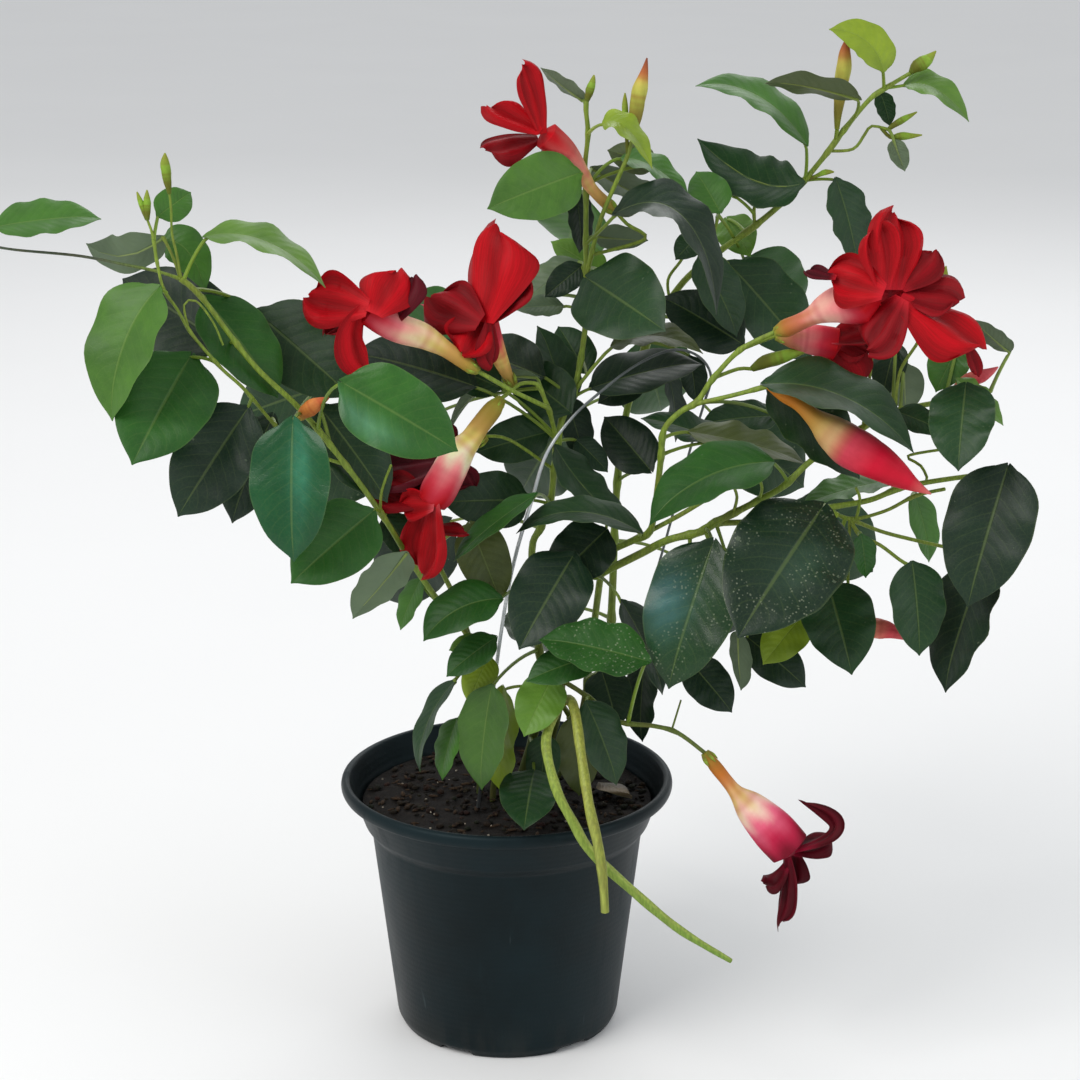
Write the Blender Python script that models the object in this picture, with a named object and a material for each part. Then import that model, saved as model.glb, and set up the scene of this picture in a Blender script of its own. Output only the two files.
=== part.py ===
"""Mandevilla in its nursery pot: a climbing plant on a bent wire hoop, with
funnel flowers, buds, a pair of seed pods and soil, as one set of solids.

World frame: origin at the centre of the pot's underside, +Z up, the plant's
front towards -Y, +X to the right.  Metres.
"""
import bpy
import bmesh
import numpy as np
from mathutils import Vector
from mathutils.bvhtree import BVHTree

for _o in list(bpy.data.objects):
    bpy.data.objects.remove(_o, do_unlink=True)

# ---------------------------------------------------------------- dimensions
# All lengths in millimetres; the build scales them to metres.
RIM_R = 85.0            # outer radius of the pot's rolled rim
POT_H = 133.0           # height of the pot
LIP_H = 7.0             # height of the rolled lip
COLLAR_TOP_R = 78.5     # collar under the lip
COLLAR_LOW_R = 73.0     # bottom of the collar
COLLAR_Z = 109.0        # height of the collar's lower edge
WALL_TOP_R = 69.5       # wall just under the collar
WALL_LOW_R = 57.5       # wall at the foot
FOOT_R = 55.0           # flat foot
FOOT_Z = 5.0            # height of the foot's bevel
WALL_T = 2.2            # wall thickness
SOIL_Z = 121.0          # surface of the soil
GAP = 0.35              # clearance left between neighbouring parts
PETIOLE_R = 0.95        # leaf stalk radius
BLADE_T = 1.1           # blade thickness at the midrib
BLADE_RATIO = 0.64      # width of a grown blade over its length
FOLD = 0.26             # V fold of the blades (radians each side)
LAYER_GAP = 2.6         # least depth between two blades that lie one over another
# The viewpoint from which leaf positions are given: a place in front of the
# plant, looking a little down.  Positions are (across, down, depth) where
# across and down are measured on a square sheet of side 1080 seen from that
# point, and depth is the world Y in millimetres.
EYE = (17.0, -1293.0, 640.8)
EYE_DIP = 16.5          # degrees below level
EYE_F = 2700.0          # sheet distance, in sheet units

import math
_cp, _sp = math.cos(math.radians(EYE_DIP)), math.sin(math.radians(EYE_DIP))


def vadd(a, b): return (a[0] + b[0], a[1] + b[1], a[2] + b[2])
def vsub(a, b): return (a[0] - b[0], a[1] - b[1], a[2] - b[2])
def vmul(a, k): return (a[0] * k, a[1] * k, a[2] * k)
def vdot(a, b): return a[0] * b[0] + a[1] * b[1] + a[2] * b[2]
def vcross(a, b): return (a[1] * b[2] - a[2] * b[1], a[2] * b[0] - a[0] * b[2], a[0] * b[1] - a[1] * b[0])
def vlen(a): return math.sqrt(vdot(a, a))
def vnorm(a):
    l = vlen(a)
    return (a[0] / l, a[1] / l, a[2] / l) if l > 1e-12 else (0.0, 0.0, 1.0)
def vlerp(a, b, t): return (a[0] + (b[0] - a[0]) * t, a[1] + (b[1] - a[1]) * t, a[2] + (b[2] - a[2]) * t)


def at(px, py, y):
    """World point (mm) seen at (px, py) on the sheet, at depth y."""
    a, b = (px - 540.0) / EYE_F, (py - 540.0) / EYE_F
    d = (a, _cp - b * _sp, -_sp - b * _cp)
    t = (y - EYE[1]) / d[1]
    return (EYE[0] + t * d[0], EYE[1] + t * d[1], EYE[2] + t * d[2])


def seen(p):
    """Sheet position and distance of a world point."""
    r = vsub(p, EYE)
    d = r[1] * _cp - r[2] * _sp
    return 540.0 + EYE_F * r[0] / d, 540.0 - EYE_F * (r[1] * _sp + r[2] * _cp) / d, d


def pt(q):
    """A table point: (px, py, y) on the sheet or ('w', x, y, z) in the world."""
    if q[0] == 'w':
        return (q[1], q[2], q[3])
    return at(q[0], q[1], q[2])


# --------------------------------------------------------------------- stems
# name: list of (points, radius at the start, radius at the end)
STEMS = {
    'stem_left': [
        ([('w', -7, -4, 121.3), (500, 720, -8), (470, 640, -26), (440, 603, -36), (412, 563, -46), (380, 512, -56),
          (338, 455, -62), (299, 408, -66), (253, 364, -68), (202, 298, -70), (181, 279, -70)], 2.3, 1.6),
        ([(181, 279, -70), (156, 271, -71), (126, 265, -72), (80, 256, -73), (17, 250, -74), (-8, 246, -74)], 1.3, 0.9),
        ([(345, 466, -62), (300, 448, -63), (274, 424, -64), (244, 389, -72), (223, 370, -76), (204, 349, -79),
          (189, 330, -81), (177, 309, -82), (164, 290, -82), (157, 262, -80), (153, 237, -78)], 1.2, 0.9),
        ([(181, 279, -70), (172, 255, -69), (163, 237, -68)], 1.0, 0.8),
        ([(181, 279, -70), (177, 256, -72), (172, 233, -74), (171, 208, -75), (169, 190, -76)], 0.9, 0.7),
        ([(157, 262, -80), (153, 236, -79), (147, 219, -78)], 0.9, 0.8),
        ([(380, 512, -56), (382, 490, -60), (391, 465, -64)], 1.0, 0.8),
        ([(189, 330, -81), (184, 305, -78), (196, 301, -76), (213, 322, -74), (223, 345, -73)], 0.7, 0.7),
    ],
    'stem_left_low': [
        ([('w', -14, 6, 121.3), (486, 700, 0), (470, 640, -8), (456, 600, -16), (436, 560, -22), (424, 530, -26)], 1.9, 1.3),
        ([(486, 700, 0), (488, 680, -22), (465, 672, -34), (455, 680, -40)], 1.0, 0.8),
    ],
    'stem_center': [
        ([('w', 6, 6, 121.3), (541, 700, 2), (536, 620, -2), (532, 550, -6), (541, 527, -8), (551, 498, -10),
          (554, 470, -12), (558, 440, -12), (563, 415, -8), (574, 392, -4), (583, 345, 0), (587, 300, 2),
          (586, 250, 2), (586, 191, 0), (585, 166, -1), (588, 134, -2), (586, 110, -2), (587, 97, -2)], 2.3, 1.1),
        ([(557, 442, -12), (553, 425, -18), (549, 410, -24), (544, 406, -30), (511, 390, -42), (478, 371, -46)], 1.3, 1.2),
        ([(550, 412, -24), (540, 388, -25), (533, 383, -26), (520, 384, -27), (511, 391, -30), (502, 398, -33)], 1.1, 1.1),
        ([(590, 275, 2), (599, 225, -6), (611, 194, -8), (626, 160, -9), (633, 136, -9)], 1.3, 1.1),
        ([(656, 262, 6), (645, 239, 3), (627, 224, 1), (616, 212, 0)], 1.0, 1.0),
    ],
    'stem_right': [
        ([('w', 14, -3, 121.3), (556, 720, -6), (565, 660, -12), (583, 583, -20), (600, 574, -22), (640, 554, -30),
          (668, 540, -36), (700, 532, -41), (716, 522, -44), (740, 510, -46), (765, 497, -48), (785, 485, -49),
          (812, 460, -48), (850, 435, -44), (895, 412, -42), (940, 402, -44), (990, 392, -44)], 2.6, 1.3),
        ([(716, 526, -44), (780, 520, -42), (828, 508, -40), (870, 500, -38), (900, 488, -38), (935, 481, -40),
          (985, 474, -44)], 1.7, 1.3),
        ([(828, 508, -40), (850, 519, -36), (885, 511, -36), (915, 496, -38), (945, 489, -42)], 1.0, 1.0),
        ([(850, 519, -36), (880, 531, -34), (910, 539, -33), (945, 547, -34), (985, 556, -38)], 1.1, 1.0),
        ([(850, 519, -36), (860, 535, -42), (880, 545, -46), (900, 560, -50), (912, 567, -52)], 1.0, 1.0),
        ([(856, 521, -36), (860, 500, -40), (856, 488, -44)], 0.9, 0.8),
        ([(759, 500, -48), (762, 488, -53), (759, 478, -56)], 0.9, 0.8),
        ([(733, 514, -46), (737, 497, -51), (732, 483, -55)], 0.9, 0.8),
        ([(900, 488, -38), (926, 482, -30), (921, 466, -26), (908, 456, -22), (945, 449, -22)], 0.8, 0.8),
    ],
    'stem_flowering': [
        ([('w', 20, 8, 121.3), (580, 720, 4), (592, 640, -2), (602, 566, -10), (607, 553, -16), (634, 540, -22),
          (650, 531, -26), (656, 500, -32), (661, 458, -40), (664, 430, -44), (680, 412, -46), (697, 402, -48),
          (712, 380, -49), (740, 350, -51), (775, 332, -53)], 2.2, 1.3),
        ([(693, 404, -48), (730, 396, -54), (768, 386, -60)], 1.2, 1.2),
        ([(714, 378, -49), (738, 369, -44), (752, 369, -40)], 1.0, 1.0),
        ([(648, 532, -25), (680, 515, -26), (710, 497, -28), (728, 487, -30)], 1.4, 1.2),
        ([(607, 553, -16), (606, 530, -18), (610, 508, -16)], 1.0, 0.8),
        ([(740, 350, -51), (762, 341, -44), (776, 336, -42)], 1.0, 1.0),
    ],
    'stem_upper_right': [
        ([('w', 26, 22, 121.3), (605, 690, 22), (612, 600, 26), (616, 500, 30), (625, 420, 36), (648, 340, 40),
          (680, 286, 42), (716, 254, 42), (756, 225, 40), (789, 197, 37), (804, 181, 35), (827, 153, 32),
          (844, 130, 30), (869, 100, 27), (884, 89, 26), (912, 72, 25)], 2.4, 1.1),
        ([(830, 152, 32), (853, 149, 33), (865, 134, 33), (872, 126, 32), (890, 130, 31)], 0.9, 0.8),
        ([(836, 142, 31), (837, 130, 28)], 1.1, 1.1),
        ([(666, 300, 42), (668, 280, 38), (680, 262, 34), (692, 245, 30), (712, 236, 28), (718, 215, 28)], 0.9, 0.8),
        ([(755, 226, 40), (754, 210, 40), (757, 196, 40)], 0.9, 0.8),
    ],
    'stem_low_right': [
        ([('w', 21, -6, 121.3), (578, 740, -12), (560, 700, -20), (556, 680, -24), (568, 684, -32), (592, 700, -40),
          (617, 721, -48), (654, 726, -55), (678, 733, -58), (705, 753, -60)], 1.6, 1.2),
        ([(560, 700, -20), (540, 680, -34), (548, 688, -44), (562, 702, -54)], 1.2, 1.2),
        ([(672, 729, -57), (681, 700, -54)], 0.6, 0.5),
    ],
}

# ---------------------------------------------------------------------- hoop
HOOP = [(478, 807, -18.5), (484, 760, -22), (492, 700, -26), (500, 640, -30), (508, 590, -33), (517, 550, -34),
        (531, 503, -34), (546, 455, -32), (570, 420, -28), (598, 394, -22), (635, 366, -14), (672, 350, -6),
        (698, 356, 4), (711, 376, 12), (704, 404, 18), (690, 450, 24), (660, 560, 34), (625, 670, 40),
        ('w', 46, 43, 121.4)]
HOOP_R = 1.1

# -------------------------------------------------------------------- leaves
# name, base, tip, seen width, depth, stalk foot (stem, px, py) or None, options
#   m: a point the midrib passes through      u: 1 = underside seen
#   t: tone 0 deep .. 5 young, 6 grey underside, 7 olive, 8 brown, 9 variegated
#   g: sheen 0..1   k: arch   r: width ratio   own: 1 = a part of its own
LEAVES = [
    ('L01', (-4, 227), (101, 216), 36, -72, ('stem_left', -6, 247), dict(t=3, own=0, k=0.04)),
    ('L03', (162, 238), (87, 243), 40, -64, ('stem_left', 163, 238), dict(t=6, u=1, m=(122, 256), own=0)),
    ('L04', (164, 240), (206, 292), 42, -60, ('stem_left', 164, 240), dict(t=3, m=(188, 252), own=0)),
    ('L05', (224, 345), (122, 278), 92, -44, ('stem_left', 236, 345), dict(t=0, own=0)),
    ('L06', (158, 216), (191, 192), 36, -66, ('stem_left', 154, 240), dict(t=3, own=0)),
    ('L07', (208, 236), (327, 286), 26, -74, ('stem_left', 184, 280), dict(t=4, m=(267, 242), pc=(194, 252), own=1, alike=1)),
    ('L08', (158, 289), (109, 421), 68, -94, ('stem_left', 165, 294), dict(t=4, own=1, k=0.07, m=(128, 345))),
    ('L09', (190, 357), (132, 464), 99, -88, ('stem_left', 216, 362), dict(t=2, own=1, k=0.05)),
    ('L10', (206, 300), (279, 397), 66, -56, ('stem_left', 198, 297), dict(t=2, own=1)),
    ('L11', (258, 314), (352, 397), 86, -36, ('stem_left', 192, 290), dict(t=1, own=1, pc=(226, 288))),
    ('L12', (248, 408), (177, 517), 84, -74, ('stem_left', 252, 398), dict(t=0, own=1, g=0.3)),
    ('L13', (272, 418), (231, 523), 62, -58, ('stem_left', 276, 425), dict(t=0, own=0)),
    ('L14', (293, 422), (293, 562), 83, -100, ('stem_left', 304, 412), dict(t=2, own=1, g=1.0, k=0.05)),
    ('L15', (343, 383), (458, 451), 86, -102, ('stem_left', 318, 430), dict(t=3, own=1, g=0.7, pc=(322, 388))),
    ('L16', (372, 512), (291, 583), 78, -84, ('stem_left', 380, 512), dict(t=2, own=1)),
    ('L17', (406, 553), (352, 617), 40, -64, ('stem_left', 410, 560), dict(t=6, u=1, own=0)),
    ('L18', (320, 408), (388, 502), 66, -40, ('stem_left', 330, 446), dict(t=1, own=0)),
    ('L19', (386, 515), (415, 560), 36, -46, ('stem_left', 381, 514), dict(t=1, own=0)),
    ('L20', (421, 579), (400, 630), 22, -38, ('stem_left', 440, 603), dict(t=3, own=0, pc=(424, 592))),
    ('L21', (474, 386), (350, 352), 66, -24, ('stem_center', 556, 440), dict(t=0, own=0)),
    ('L22', (500, 388), (441, 362), 40, -18, ('stem_center', 556, 437), dict(t=1, own=0)),
    ('L23', (548, 432), (476, 452), 48, -12, ('stem_center', 556, 440), dict(t=1, own=0)),
    ('L24', (537, 377), (447, 432), 13, -14, ('stem_center', 548, 406), dict(t=6, u=1, m=(484, 386), own=0)),
    ('L25', (570, 412), (513, 366), 58, -2, ('stem_center', 563, 416), dict(t=1, own=0, g=0.3)),
    ('L26', (566, 408), (539, 325), 40, 6, ('stem_center', 564, 412), dict(t=1, own=0)),
    ('L27', (556, 448), (633, 530), 36, -22, ('stem_center', 557, 450), dict(t=1, own=0, m=(588, 492))),
    ('L28', (640, 532), (514, 531), 26, -46, ('stem_flowering', 640, 536), dict(t=1, own=0, m=(576, 512))),
    ('L29', (650, 470), (604, 416), 52, 12, ('stem_upper_right', 618, 480), dict(t=0, own=0)),
    ('L30', (642, 378), (598, 403), 34, 22, ('stem_upper_right', 636, 382), dict(t=0, own=0)),
    ('L32', (573, 556), (519, 649), 80, -64, ('stem_right', 578, 600), dict(t=0, own=1, g=0.3)),
    ('L33', (606, 530), (548, 588), 62, -44, ('stem_flowering', 604, 560), dict(t=0, own=0)),
    ('L34', (470, 524), (501, 603), 54, -46, ('stem_left_low', 432, 550), dict(t=7, own=1)),
    ('L35', (534, 496), (453, 560), 22, -56, ('stem_center', 549, 502), dict(t=2, own=0)),
    ('L36', (527, 500), (442, 502), 60, -24, ('stem_center', 549, 504), dict(t=1, own=0)),
    ('L37', (500, 599), (423, 641), 46, -62, ('stem_center', 534, 590), dict(t=2, own=1, m=(457, 610))),
    ('L38', (646, 661), (539, 638), 54, -82, ('stem_low_right', 628, 723), dict(t=2, own=1, v=1)),
    ('L39', (596, 655), (526, 681), 40, -72, ('stem_right', 570, 640), dict(t=2, own=0)),
    ('L40', (492, 686), (480, 790), 50, -54, ('stem_center', 536, 650), dict(t=9, own=1)),
    ('L41', (503, 690), (501, 794), 42, -47, ('stem_center', 540, 690), dict(t=5, own=1, g=0.2)),
    ('L42', (552, 678), (524, 736), 50, -62, ('stem_center', 540, 670), dict(t=4, own=1)),
    ('L43', (457, 719), (441, 780), 24, -38, ('stem_left_low', 486, 705), dict(t=3, own=0)),
    ('L44', (455, 681), (417, 772), 17, -40, ('stem_left_low', 455, 681), dict(t=1, m=(428, 722), own=0)),
    ('L46', (489, 656), (468, 703), 36, -48, ('stem_left_low', 476, 655), dict(t=5, own=0)),
    ('L47', (495, 638), (446, 676), 34, -56, ('stem_left_low', 472, 645), dict(t=2, own=0)),
    ('L48', (480, 640), (449, 650), 20, -46, ('stem_left_low', 470, 640), dict(t=4, own=0)),
    ('L52', (534, 772), (524, 829), 62, -56, ('stem_center', 540, 740), dict(t=1, own=1, g=0.7)),
    ('L54', (586, 702), (618, 785), 46, -47, ('stem_low_right', 588, 698), dict(t=1, own=0)),
    ('L53', (602, 672), (618, 728), 48, -30, ('stem_flowering', 588, 680), dict(t=0, own=0)),
    ('L55', (574, 716), (580, 796), 46, -26, ('stem_low_right', 568, 718), dict(t=7, own=0)),
    ('L56', (645, 664), (641, 742), 34, -20, ('stem_upper_right', 608, 660), dict(t=0, own=0)),
    ('L58', (546, 735), (541, 792), 36, -38, ('stem_center', 541, 730), dict(t=1, own=0)),
    ('T01', (583, 100), (541, 67), 14, -3, ('stem_center', 586, 106), dict(t=6, u=1, own=0)),
    ('T04', (579, 173), (488, 208), 68, -22, ('stem_center', 586, 180), dict(t=4, own=1, k=0.06)),
    ('T05', (603, 124), (654, 168), 22, -14, ('stem_center', 588, 134), dict(t=5, m=(626, 128), pc=(594, 126), own=0)),
    ('T06', (622, 158), (691, 199), 22, -4, ('stem_center', 587, 190), dict(t=3, m=(655, 168), pc=(603, 160), own=0)),
    ('T07', (655, 164), (607, 150), 32, 10, ('stem_center', 586, 185), dict(t=7, u=1, own=0)),
    ('T08', (592, 168), (675, 211), 28, 14, ('stem_center', 586, 186), dict(t=6, u=1, own=0)),
    ('T09', (575, 190), (581, 253), 26, 18, ('stem_center', 586, 196), dict(t=0, own=0)),
    ('T11', (596, 236), (648, 240), 26, 12, ('stem_center', 586, 240), dict(t=6, u=1, own=0)),
    ('T12', (604, 276), (551, 241), 34, 20, ('stem_center', 587, 268), dict(t=4, own=0)),
    ('T13', (617, 213), (722, 314), 36, -10, ('stem_center', 588, 244), dict(t=0, m=(682, 216), pc=(600, 232), own=1, g=0.3, alike=1)),
    ('T14', (588, 279), (664, 330), 92, -24, ('stem_center', 587, 286), dict(t=1, own=1, k=0.04)),
    ('T15', (612, 346), (704, 352), 24, -14, ('stem_center', 574, 392), dict(t=7, m=(655, 336), pc=(588, 372), own=0)),
    ('T16', (592, 388), (702, 361), 44, -8, ('stem_center', 570, 400), dict(t=0, own=1)),
    ('T17', (578, 262), (521, 304), 36, 14, ('stem_center', 586, 270), dict(t=6, own=0)),
    ('T10', (582, 266), (545, 297), 30, 8, ('stem_center', 586, 280), dict(t=0, own=0)),
    ('T18', (563, 306), (516, 309), 22, 10, ('stem_center', 586, 312), dict(t=6, own=0)),
    ('T22', (542, 376), (468, 348), 60, -4, ('stem_center', 570, 398), dict(t=0, own=0)),
    ('T23', (586, 372), (558, 326), 44, 8, ('stem_center', 581, 360), dict(t=1, own=0)),
    ('T25', (566, 398), (584, 462), 34, 4, ('stem_center', 568, 402), dict(t=0, own=0)),
    ('T26', (576, 440), (608, 472), 26, 0, ('stem_center', 558, 442), dict(t=0, own=0)),
    ('U01', (806, 144), (695, 83), 28, 28, ('stem_upper_right', 805, 180), dict(t=3, m=(758, 96), pc=(808, 162), own=1)),
    ('U02', (858, 99), (765, 82), 22, 22, ('stem_upper_right', 844, 130), dict(t=7, u=1, m=(806, 86), pc=(862, 112), own=0)),
    ('U03', (883, 71), (829, 28), 36, 24, ('stem_upper_right', 884, 89), dict(t=5, m=(866, 41), own=1)),
    ('U04', (906, 85), (970, 121), 24, 24, ('stem_upper_right', 886, 88), dict(t=4, m=(936, 89), pc=(896, 87), own=0)),
    ('U05', (880, 92), (890, 126), 20, 36, ('stem_upper_right', 878, 94), dict(t=1, own=0)),
    ('U06', (894, 140), (905, 171), 20, 32, ('stem_upper_right', 889, 130), dict(t=6, u=1, own=0)),
    ('U07', (801, 184), (698, 138), 52, 30, ('stem_upper_right', 803, 182), dict(t=1, m=(752, 180), own=1)),
    ('U08', (720, 212), (696, 171), 42, 26, ('stem_upper_right', 718, 218), dict(t=3, own=0)),
    ('U09', (734, 196), (706, 156), 14, 38, ('stem_upper_right', 752, 214), dict(t=4, own=0)),
    ('U10', (727, 219), (750, 256), 42, 50, ('stem_upper_right', 745, 232), dict(t=4, own=0)),
    ('U11', (836, 180), (858, 266), 40, 32, ('stem_upper_right', 805, 181), dict(t=1, pc=(822, 178), own=1)),
    ('U12', (730, 265), (812, 362), 72, 26, ('stem_upper_right', 716, 255), dict(t=1, own=1)),
    ('U14', (700, 256), (738, 336), 44, 12, ('stem_upper_right', 706, 262), dict(t=1, own=0)),
    ('U15', (742, 344), (661, 296), 56, 20, ('stem_upper_right', 662, 316), dict(t=0, own=0)),
    ('U16', (696, 238), (676, 259), 28, 18, ('stem_upper_right', 694, 246), dict(t=1, own=0)),
    ('U21', (690, 356), (696, 402), 28, 18, ('stem_upper_right', 648, 342), dict(t=0, own=0)),
    ('U22', (668, 372), (677, 442), 18, 14, ('stem_upper_right', 640, 358), dict(t=0, own=0)),
    ('R01', (766, 384), (915, 452), 46, -70, ('stem_flowering', 768, 386), dict(t=1, m=(846, 398), own=1)),
    ('R02', (770, 388), (862, 477), 62, -46, ('stem_flowering', 757, 389), dict(t=1, own=1)),
    ('R03', (892, 480), (801, 505), 26, -36, ('stem_right', 893, 490), dict(t=3, own=0)),
    ('R04', (966, 384), (958, 470), 68, -62, ('stem_right', 980, 394), dict(t=1, own=1)),
    ('R05', (957, 380), (1004, 425), 20, -56, ('stem_right', 965, 397), dict(t=4, own=0)),
    ('R06', (1008, 466), (967, 607), 92, -76, ('stem_right', 985, 474), dict(t=0, own=1)),
    ('R07', (986, 560), (943, 692), 62, -58, ('stem_right', 985, 556), dict(t=0, own=1)),
    ('R08', (912, 562), (920, 656), 56, -66, ('stem_right', 912, 567), dict(t=1, own=1, g=0.5)),
    ('R09', (1010, 352), (972, 318), 20, -38, ('stem_right', 990, 392), dict(t=6, u=1, own=0)),
    ('R10', (958, 346), (936, 391), 44, -24, ('stem_right', 945, 401), dict(t=3, own=0)),
    ('R11', (896, 342), (882, 398), 36, -18, ('stem_right', 892, 413), dict(t=0, own=0)),
    ('R12', (904, 364), (906, 412), 40, -8, ('stem_right', 900, 410), dict(t=6, u=1, own=0)),
    ('R13', (898, 412), (945, 432), 28, -50, ('stem_right', 895, 412), dict(t=1, own=0)),
    ('R16', (772, 462), (647, 523), 54, -64, ('stem_right', 788, 482), dict(t=2, m=(705, 478), own=1)),
    ('R17', (713, 543), (667, 689), 94, -80, ('stem_right', 706, 530), dict(t=1, own=1, g=1.0, v=1)),
    ('R18', (822, 508), (738, 637), 124, -92, ('stem_right', 828, 508), dict(t=0, own=1, g=0.6, v=1)),
    ('R19', (828, 584), (852, 673), 76, -70, ('stem_right', 846, 516), dict(t=1, own=1)),
    ('R20', (861, 535), (866, 578), 24, -58, ('stem_right', 860, 533), dict(t=2, own=0)),
    ('R21', (804, 614), (763, 664), 46, -58, ('stem_right', 838, 510), dict(t=5, own=0)),
    ('R22', (748, 638), (806, 687), 46, -46, ('stem_right', 716, 528), dict(t=0, own=0)),
    ('R23', (739, 632), (742, 690), 22, -64, ('stem_right', 706, 532), dict(t=6, u=1, own=0)),
    ('R24', (690, 662), (732, 712), 46, -56, ('stem_right', 690, 535), dict(t=0, own=0)),
    ('R26', (622, 602), (665, 694), 34, -62, ('stem_right', 598, 576), dict(t=0, own=0)),
    ('R29', (776, 416), (700, 424), 34, -20, ('stem_flowering', 697, 403), dict(t=1, own=0)),
    ('R30', (722, 442), (641, 417), 28, -26, ('stem_flowering', 662, 455), dict(t=1, own=0)),
    ('R31', (690, 432), (806, 462), 28, -32, ('stem_flowering', 664, 438), dict(t=7, own=0)),
    ('R32', (914, 494), (931, 562), 28, -24, ('stem_right', 912, 498), dict(t=3, own=0)),
]

# The side turned away, filled in so that the plant is round: world positions
# base (x, y, z) and tip (x, y, z), width in mm.
BACK = [
    ('B01', (-60, 40, 300), (-118, 66, 262), 44, ('stem_center', 18, 30, 330), 1),
    ('B02', (-30, 60, 250), (-70, 98, 196), 44, ('stem_center', 20, 10, 260), 0),
    ('B03', (30, 80, 300), (6, 128, 246), 46, ('stem_upper_right', 50, 35, 330), 1),
    ('B04', (70, 90, 340), (84, 140, 288), 46, ('stem_upper_right', 60, 38, 350), 2),
    ('B05', (110, 80, 300), (160, 112, 254), 46, ('stem_upper_right', 66, 40, 340), 1),
    ('B06', (90, 60, 230), (130, 98, 180), 44, ('stem_upper_right', 48, 26, 250), 0),
    ('B07', (20, 70, 200), (16, 118, 158), 42, ('stem_upper_right', 40, 24, 210), 1),
    ('B08', (-20, 70, 360), (-58, 116, 330), 42, ('stem_center', 36, 2, 380), 2),
    ('B09', (40, 60, 420), (30, 108, 386), 42, ('stem_center', 42, 2, 440), 3),
    ('B10', (120, 50, 390), (152, 96, 350), 42, ('stem_upper_right', 110, 41, 420), 2),
    ('B11', (150, 60, 260), (196, 86, 214), 44, ('stem_right', 120, -46, 280), 1),
    ('B12', (-90, 30, 330), (-140, 60, 306), 40, ('stem_left', -100, -60, 330), 1),
]

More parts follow.
